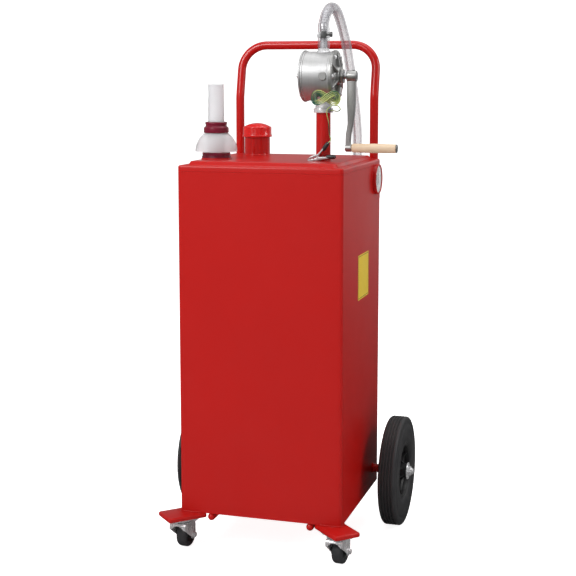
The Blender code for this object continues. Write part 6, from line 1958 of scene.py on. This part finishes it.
def nozzle_tube():
    """The outlet tube, bent away from the stock, with its bore."""
    low_z = NOZZLE_TOP - 0.0157
    bend = 0.06
    turn = math.radians(55.0)
    corner = NOZZLE_TOP + 0.018 + bend * math.tan(turn / 2)
    reach = 0.05 + bend * math.tan(turn / 2)
    tip = (reach * math.sin(turn), 0.0, corner + reach * math.cos(turn))
    path = rounded_path([(0, 0, low_z), (0, 0, corner), tip], [bend], 16)
    place = nozzle_axis()
    points = smooth_path([place @ point for point in path], 0.004)
    spout = swept("outlet_tube", points, [0.0105] * len(points), 40, 0.0091)
    mount(spout, "bare_steel", "caddy", "nozzle_spout", angle=60.0)


def squeeze_lever():
    """The black lever inside the guard, on its pin under the valve head."""
    pivot = 0.127
    out = 0.027
    thick = 0.0025
    length = 0.078
    side = 0.008
    outline = [
        (-out - side, pivot + side / 2), (-out - side, pivot - side),
        (-out - side - 0.001, pivot - length * 0.3), (-out - 3 * thick, pivot - length * 0.6),
        (-out - side, pivot - length + 0.004),
        *arc((-out - side + thick / 2, pivot - length), thick, 170, 350, 8),
        (-out + thick, pivot - length * 0.6), (-out + thick * 0.6, pivot - length * 0.3),
        (-out + side / 2, pivot - side), (-out + side / 2, pivot + side / 2)]
    lever = plate("squeeze_lever", outline, 0.014, frame_at((0, 0.007, 0), (0, -1, 0)))
    slot_cut = block("slot", (-out - side - OVERRUN, -0.0028, pivot - 2 * side),
                     (-out + side, 0.0028, pivot + side))
    cut(lever, slot_cut)
    soften(lever, 0.0011, 3, 50.0)
    pin = lathe("pin", ring_outline(0.0, 0.0018, -0.0076, 0.0076),
                frame_at((-out, 0, pivot), (0, 1, 0)), 20)
    lever = gather("squeeze_lever", [lever, pin])
    settle(lever, nozzle_axis())
    mount(lever, "black_plastic", "trigger", "nozzle_trigger")


def stow_hook():
    """The rod hook on its foot plate, where the nozzle's guard hangs."""
    bottom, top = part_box("nozzle_hook")
    x = (bottom.x + top.x) / 2
    foot_high = bottom.z + 0.042
    foot = soften(block("foot", (bottom.x, bottom.y, bottom.z),
                        (top.x, bottom.y + 0.003, foot_high)), 0.0012, 3)
    z = foot_high - 0.014
    tip = top.y - 0.004
    bar = bent_rod("bar", rounded_path([(x, bottom.y + 0.001, z), (x, tip, z),
                                        (x, tip, top.z)], [0.008], 10), 0.004, 6)
    hook = gather("stow_hook", [foot, bar])
    mount(hook, "red_tube_coat", "caddy", "nozzle_hook")
    heads = []
    for height in (bottom.z + 0.008, foot_high - 0.005):
        if abs(height - z) > 0.006:
            heads.append(lathe("rivet", [(0.0, 0.0018), (0.0018, 0.0015), (0.0032, 0.0004),
                                         (0.0034, 0.0), (0.0, 0.0)],
                               frame_at((x, bottom.y + 0.003, height), (0, 1, 0)), 24))
    rivets = gather("hook_rivets", heads)
    mount(rivets, "zinc_plate", "caddy", slot="nozzle_hook")


# The earthing lead

HANK_TURNS = 8             # figures of eight, four in each of two layers
HANK_POINTS = 44
HANK_REACH = 0.0285        # length of a lobe's middle strand
HANK_DEEP = 0.0102         # half height of a lobe's middle strand
HANK_CROSS = 1.25          # how far the crossing strands part, in pitches
HANK_LAYER = 1.2           # step between the two layers, in pitches
HANK_SWAP = 0.12           # share of a turn in which the wire changes layer
WIRE_SLIM = 0.00025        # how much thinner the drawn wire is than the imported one
CLIP_PIN = (-0.006, -0.0262, 0.9563548)     # X and Y from the standpipe's axis, and height
CLIP_TILT = 14.0           # degrees by which the clip's own line hangs turned
CLIP_HALF = 0.0045         # half width of a pressed half
GRIP_TURN = 26.0           # degrees between the clip's own line and a grip, closed
GRIP_REACH = 0.042         # from the pin to a grip's end
SLEEVE = 0.0054            # radius of the vinyl sleeves


def hank_points():
    """A butterfly hank: the wire spirals across one layer and back across the next."""
    pitch = 2 * sizes().wire_radius + 0.0008
    points = []
    layer = HANK_TURNS / 2
    for index in range(HANK_TURNS * HANK_POINTS + 1):
        turn = index / HANK_POINTS
        angle = math.radians(135.0) + turn * TAU
        swap = min(max((turn - layer) / HANK_SWAP, 0.0), 1.0)
        swap = swap * swap * (3 - 2 * swap)
        out = layer / 2 - turn
        if turn > layer + HANK_SWAP:
            out = turn - 1.5 * layer - 2 * HANK_SWAP
        along = Vector((math.cos(angle) * HANK_REACH, 0.0,
                        2 * math.cos(2 * angle) * HANK_DEEP)).normalized()
        side = Vector((-along.z, 0.0, along.x))
        middle = Vector((math.sin(angle) * HANK_REACH, 0.0, math.sin(2 * angle) * HANK_DEEP))
        deep = pitch * (HANK_LAYER * (0.5 - swap) - HANK_CROSS * math.cos(angle))
        points.append(middle + side * (out * pitch) + Vector((0.0, deep, 0.0)))
    return points


def lug_place():
    """The ring terminal's frame: its axis points out of the union nut."""
    pipe = centre("standpipe")
    turn = math.radians(-38.0)
    ahead = Vector((math.cos(turn), math.sin(turn), 0.0))
    height = high("standpipe").z + 0.0043
    return Vector((pipe.x, pipe.y, height)), ahead


def clip_pin():
    """The clip's pin, from the lower half's place."""
    pipe = centre("standpipe")
    return Vector((pipe.x + CLIP_PIN[0], pipe.y + CLIP_PIN[1], CLIP_PIN[2]))


def clip_grip_end():
    lean = math.radians(2 * CLIP_TILT + GRIP_TURN)
    reach = GRIP_REACH + 0.0006
    return clip_pin() + Vector((reach * math.cos(lean), 0.0, reach * math.sin(lean)))


def lead_paths():
    """Middle lines of the lead with its hank, and of the tail down to the clip."""
    radius = sizes().wire_radius
    pipe = centre("standpipe")
    shaft = centre("pump_rear_cover").z
    middle = Vector((pipe.x + 0.0235, pipe.y - 0.0635, shaft - 0.05))
    turns = [middle + point for point in hank_points()]
    spot, ahead = lug_place()
    start = spot + ahead * 0.0296
    first = turns[0]
    lead = smooth_path([start, start + ahead * 0.007, first + Vector((0.002, 0.013, -0.014)),
                        first + Vector((0.0115, 0.0045, -0.0095)),
                        first + Vector((0.008, 0.0006, -0.0018)), first], radius * 1.5)
    whole = lead + turns[1:]
    away = (whole[-1] - whole[-2]).normalized()
    begin = whole[-1] + away * 0.0006
    grip = clip_grip_end()
    drop_x = pipe.x + 0.01725 + 2 * radius
    drop_y = pipe.y + CLIP_PIN[1] + 0.006
    knots = [
        begin, begin + away * 0.007 + Vector((0, 0, -0.0008)),
        (pipe.x + 0.024, begin.y + 0.004, begin.z - 0.014),
        (drop_x + 0.001, drop_y - 0.012, begin.z - 0.042), (drop_x, drop_y, begin.z - 0.068),
        (grip.x + 0.006, grip.y + 0.001, grip.z + 0.008), grip]
    return whole, smooth_path(knots, radius * 1.5)


def ring_terminal():
    """Tinned ring terminal under a pan-head screw."""
    spot, ahead = lug_place()
    place = frame_at(spot + ahead * 0.0243, ahead, (0, 0, 1))
    ring = lathe("ring", [(0.003, 0.0011), (0.006, 0.0011), (0.0065, 0.0006), (0.0065, 0.0),
                          (0.003, 0.0)], None, 40, closed=True)
    screw = lathe("screw", [(0.0, 0.0044), (0.0022, 0.0043), (0.0034, 0.0034), (0.0038, 0.0022),
                            (0.0038, 0.0011), (0.0, 0.0011)], None, 32)
    cross = [block("cross", (-0.0024, -0.0004, 0.0034), (0.0024, 0.0004, 0.006)),
             block("cross", (-0.0004, -0.0024, 0.0034), (0.0004, 0.0024, 0.006))]
    cut(screw, *cross)
    lug = gather("ring_terminal", [ring, screw])
    settle(lug, place)
    return mount(lug, "bare_steel", "caddy", "earth_lug")


def clip_outline(upper):
    """One pressed half of the clip: toothed jaw, belly at the pin and a grip."""
    flip = 1 if upper else -1
    nose = 0.0256
    deep = 0.0072
    sheet = 0.0022
    lean = math.radians(GRIP_TURN) + flip * math.radians(CLIP_TILT)
    grip = Vector((math.cos(lean), flip * math.sin(lean)))
    out = Vector((-grip.y, grip.x)) * flip
    heel = nose * 0.2
    swing = math.tan(math.radians(2 * CLIP_TILT)) * heel if upper else 0.0
    gap = flip * 0.0003
    teeth = []
    for index in range(5):
        x = -nose * (0.97 - 0.09 * index)
        teeth += [(x, flip * 0.0014), (x + nose * 0.045, gap)]
    outline = [
        (-nose, gap), (-nose, flip * sheet * 1.2), (-nose * 0.8, flip * sheet * 1.7),
        (-nose * 0.52, flip * deep * 0.86), (-nose * 0.3, flip * deep), (nose * 0.1, flip * deep),
        tuple(grip * GRIP_REACH + out * sheet * 0.5), tuple(grip * GRIP_REACH - out * sheet * 0.5),
        tuple(grip * (GRIP_REACH * 0.3) - out * sheet * 0.2), (heel, gap + swing), (0.0, gap),
        (-nose * 0.3, gap), (-nose * 0.4, flip * sheet), *reversed(teeth)]
    return outline, grip


def clip_half(upper):
    outline, grip = clip_outline(upper)
    name = "clip_upper_jaw" if upper else "clip_lower_jaw"
    hung = at(clip_pin()) @ turned(-math.radians(CLIP_TILT), 'Y')
    place = hung @ frame_at((0, CLIP_HALF, 0), (0, -1, 0))
    jaw = plate(name, outline, 2 * CLIP_HALF, place)
    soften(jaw, 0.0004, 2, 50.0)
    return jaw, grip, place


def grip_sleeve(name, grip, place):
    """The dipped vinyl sleeve over a grip's outer half."""
    start = Vector((*(grip * 0.0195), CLIP_HALF))
    end = Vector((*(grip * (GRIP_REACH + 0.0015)), CLIP_HALF))
    points = [place @ start.lerp(end, share / 10) for share in range(11)]
    radii = [SLEEVE * (0.78 + 0.22 * math.sin(math.pi * share / 10)) for share in range(11)]
    radii[0] = SLEEVE * 0.66
    radii[-1] = SLEEVE * 0.5
    return swept(name, points, radii, 24)


class CADDY_OT_earthing(Operator):
    """Model the earthing lead, its terminal and the spring clip"""
    bl_idname = "caddy.earthing"
    bl_label = "Earthing lead"

    def execute(self, context):
        radius = sizes().wire_radius - WIRE_SLIM
        hank_line, tail_line = lead_paths()
        lug = ring_terminal()
        self.clip()
        hank = swept("earth_wire", hank_line, [radius] * len(hank_line), 12)
        mount(hank, "earth_sheath", "caddy", "earth_hank", angle=80.0)
        tail = swept("earth_wire_tail", tail_line, [radius] * len(tail_line), 12)
        mount(tail, "earth_sheath", "caddy", "earth_tail", angle=80.0)
        return {'FINISHED'}

    def clip(self):
        for upper, body, node_name in ((False, "caddy", "clip_lower"),
                                       (True, "clip_jaw", "clip_upper")):
            jaw, grip, place = clip_half(upper)
            sheath = grip_sleeve(node_name + "_sleeve", grip, place)
            mount(jaw, "bare_steel", body, node_name)
            mount(sheath, "black_plastic", body, slot=node_name, angle=60.0)
        pin = lathe("clip_rivet", [
            (0.0, 0.0062), (0.0016, 0.006), (0.0022, 0.0052), (0.0022, -0.0052), (0.0016, -0.006),
            (0.0, -0.0062)], frame_at(clip_pin(), (0, 1, 0)), 24)
        mount(pin, "zinc_plate", "caddy", slot="clip_lower")


# The blank label

class CADDY_OT_label(Operator):
    """Stick a blank yellow label on the right side of the tank"""
    bl_idname = "caddy.label"
    bl_label = "Label"

    def execute(self, context):
        width = 0.107
        height = 0.11
        margin = 0.006
        line = 0.0012
        place = along_x((high("tank_shell").x, 0.006, 0.662))
        sheet = plate("blank_label", rounded_rectangle(height, width, 0.003), 0.0002,
                      place @ at((0, 0, 0.0001)))
        mount(sheet, "label_vinyl", "caddy", slot="tank_shell")
        width -= margin
        height -= margin
        border = plate("label_frame", rounded_rectangle(height, width, 0.002), 0.00005,
                       place @ at((0, 0, 0.0003)))
        hole = rounded_rectangle(height - 2 * line, width - 2 * line, line)
        cut(border, plate("inner", hole, OVERRUN, place @ at((0, 0, -OVERRUN / 2))))
        mount(border, "label_border", "caddy", slot="tank_shell")
        return {'FINISHED'}


# The stage: floor, backdrop, lamps and camera

CAMERA_PLACE = (0.9155, -2.9893, 1.1444)
CAMERA_TURN = 16.83        # degrees to the left of straight back
CAMERA_DIP = 7.15          # degrees below level
CAMERA_LENS = 79.17        # mm on a 36 mm wide sensor
CAMERA_SHIFT = -0.09
GLOSS_GLOW = 0.27          # how bright the far floor and the room look in glossy pieces
ROOM_LIGHT = 0.32          # what the room adds to the lamps


def ray_kinds(tree):
    """Masks for what the camera sees directly or through clear pieces, and for reflections."""
    path = node(tree, 'ShaderNodeLightPath')
    seen = maths(tree, 'MAXIMUM', path.outputs["Is Camera Ray"],
                 path.outputs["Is Transmission Ray"])
    return seen, path.outputs["Is Glossy Ray"]


def stage_finish():
    """Pale floor that stays nearly white to the camera and keeps a faint shadow."""
    made = bpy.data.materials.new("pale_floor")
    made.use_nodes = True
    tree = made.node_tree
    shader = tree.nodes["Principled BSDF"]
    set_inputs(shader, {"Roughness": 0.9, "Specular IOR Level": 0.1,
                        "Emission Color": (1.0, 1.0, 1.0, 1.0)})
    seen, glossy = ray_kinds(tree)
    tree.links.new(mix(tree, glossy, paint().floor, (0.06, 0.06, 0.06, 1.0)),
                   shader.inputs["Base Color"])
    place = object_place(tree)
    far = node(tree, 'ShaderNodeSeparateXYZ', {0: place}).outputs["Y"]
    glow = maths(tree, 'MULTIPLY', seen, spread(tree, far, 0.9, 1.0, 0.6, 3.0))
    away = node(tree, 'ShaderNodeVectorMath', {0: place}, operation='LENGTH').outputs["Value"]
    sheen = maths(tree, 'MULTIPLY', glossy, spread(tree, away, 0.0, GLOSS_GLOW, 1.6, 7.0))
    tree.links.new(maths(tree, 'ADD', glow, sheen), shader.inputs["Emission Strength"])
    return made


def floor_sweep():
    """A floor that curves up into a backdrop."""
    deselect()
    bpy.ops.mesh.primitive_plane_add(size=1.0, location=(0, 0, 0))
    sweep = named("floor_sweep")
    sweep.scale = (24.0, 14.0, 1.0)
    settle(sweep, at((0, 0, -0.0005)))
    edit(sweep)
    pick('EDGE', lambda edge: all(point.co.y > 6.9 for point in edge.verts))
    for step in range(8):
        turn = math.radians(90.0 * (step + 0.5) / 8)
        extrude((0, 0.6 * math.cos(turn), 0.6 * math.sin(turn)))
    extrude((0, 0, 9.0))
    bpy.ops.object.mode_set(mode='OBJECT')
    take(sweep)
    bpy.ops.object.shade_smooth()
    sweep.data.materials.append(stage_finish())


def world_light():
    world = bpy.data.worlds.new("studio") if not bpy.data.worlds else bpy.data.worlds[0]
    bpy.context.scene.world = world
    world.use_nodes = True
    tree = world.node_tree
    tree.nodes.clear()
    seen, glossy = ray_kinds(tree)
    sheen = maths(tree, 'MULTIPLY', glossy, GLOSS_GLOW)
    strength = maths(tree, 'MAXIMUM', maths(tree, 'MAXIMUM', seen, sheen), ROOM_LIGHT)
    background = node(tree, 'ShaderNodeBackground', {"Strength": strength})
    background.inputs["Color"].default_value = (1.0, 1.0, 1.0, 1.0)
    output = node(tree, 'ShaderNodeOutputWorld')
    tree.links.new(background.outputs[0], output.inputs["Surface"])


def panel_lamp(name, place, target, width, height, power):
    deselect()
    bpy.ops.object.light_add(type='AREA', location=place)
    lamp = bpy.context.object
    lamp.name = name
    lamp.data.shape = 'RECTANGLE'
    lamp.data.size = width
    lamp.data.size_y = height
    lamp.data.energy = power
    lamp.visible_camera = False
    lamp.rotation_euler = (Vector(target) - Vector(place)).to_track_quat('-Z', 'Y').to_euler()


def photo_camera():
    deselect()
    bpy.ops.object.camera_add(location=CAMERA_PLACE)
    camera = bpy.context.object
    camera.name = "photo_camera"
    camera.rotation_euler = (math.radians(90.0 - CAMERA_DIP), 0.0, math.radians(CAMERA_TURN))
    camera.data.lens = CAMERA_LENS
    camera.data.shift_y = CAMERA_SHIFT
    camera.data.clip_end = 60.0
    bpy.context.scene.camera = camera


class CADDY_OT_stage(Operator):
    """Lay the pale floor, set the studio lamps and place the camera"""
    bl_idname = "caddy.stage"
    bl_label = "Stage"

    def execute(self, context):
        floor_sweep()
        world_light()
        panel_lamp("key_panel", (-1.5, -2.5, 3.0), (0.0, 0.0, 0.7), 1.8, 1.2, 78.0)
        panel_lamp("side_panel", (2.9, 0.4, 2.3), (0.1, 0.0, 0.9), 1.2, 1.2, 26.0)
        panel_lamp("top_panel", (0.2, 0.3, 3.2), (0.0, 0.0, 0.9), 2.4, 2.4, 34.0)
        panel_lamp("front_panel", (-1.0, -3.3, 1.9), (0.0, -0.2, 1.0), 2.4, 1.6, 10.0)
        panel_lamp("rear_panel", (1.0, 2.6, 1.7), (0.2, 0.0, 0.9), 1.5, 1.7, 4.0)
        photo_camera()
        context.scene.view_settings.view_transform = 'Standard'
        return {'FINISHED'}


# The add-on's panel and registration

OPERATORS = (CADDY_OT_stage, CADDY_OT_hose, CADDY_OT_earthing, CADDY_OT_tank,
             CADDY_OT_underframe, CADDY_OT_casters, CADDY_OT_rear_wheels, CADDY_OT_handle,
             CADDY_OT_filler, CADDY_OT_gauge, CADDY_OT_dial, CADDY_OT_pump, CADDY_OT_crank,
             CADDY_OT_label)


class CADDY_PT_panel(Panel):
    """Lists the pieces of the caddy in the sidebar"""
    bl_label = "Fuel caddy"
    bl_idname = "CADDY_PT_panel"
    bl_space_type = 'VIEW_3D'
    bl_region_type = 'UI'
    bl_category = "Caddy"

    def draw(self, context):
        for operator in OPERATORS:
            self.layout.operator(operator.bl_idname)
        for group in (context.scene.caddy_sizes, context.scene.caddy_colours):
            for key in group.__annotations__:
                self.layout.prop(group, key)


CLASSES = (CaddyColours, CaddySizes, *OPERATORS, CADDY_PT_panel)


def register():
    for each in CLASSES:
        bpy.utils.register_class(each)
    bpy.types.Scene.caddy_colours = PointerProperty(type=CaddyColours)
    bpy.types.Scene.caddy_sizes = PointerProperty(type=CaddySizes)


def unregister():
    del bpy.types.Scene.caddy_sizes
    del bpy.types.Scene.caddy_colours
    for each in reversed(CLASSES):
        bpy.utils.unregister_class(each)


def main():
    register()
    build_groups()
    build_finishes()
    for operator in OPERATORS:
        group, action = operator.bl_idname.split(".")
        getattr(getattr(bpy.ops, group), action)()
    deselect()


if __name__ == "__main__":
    main()
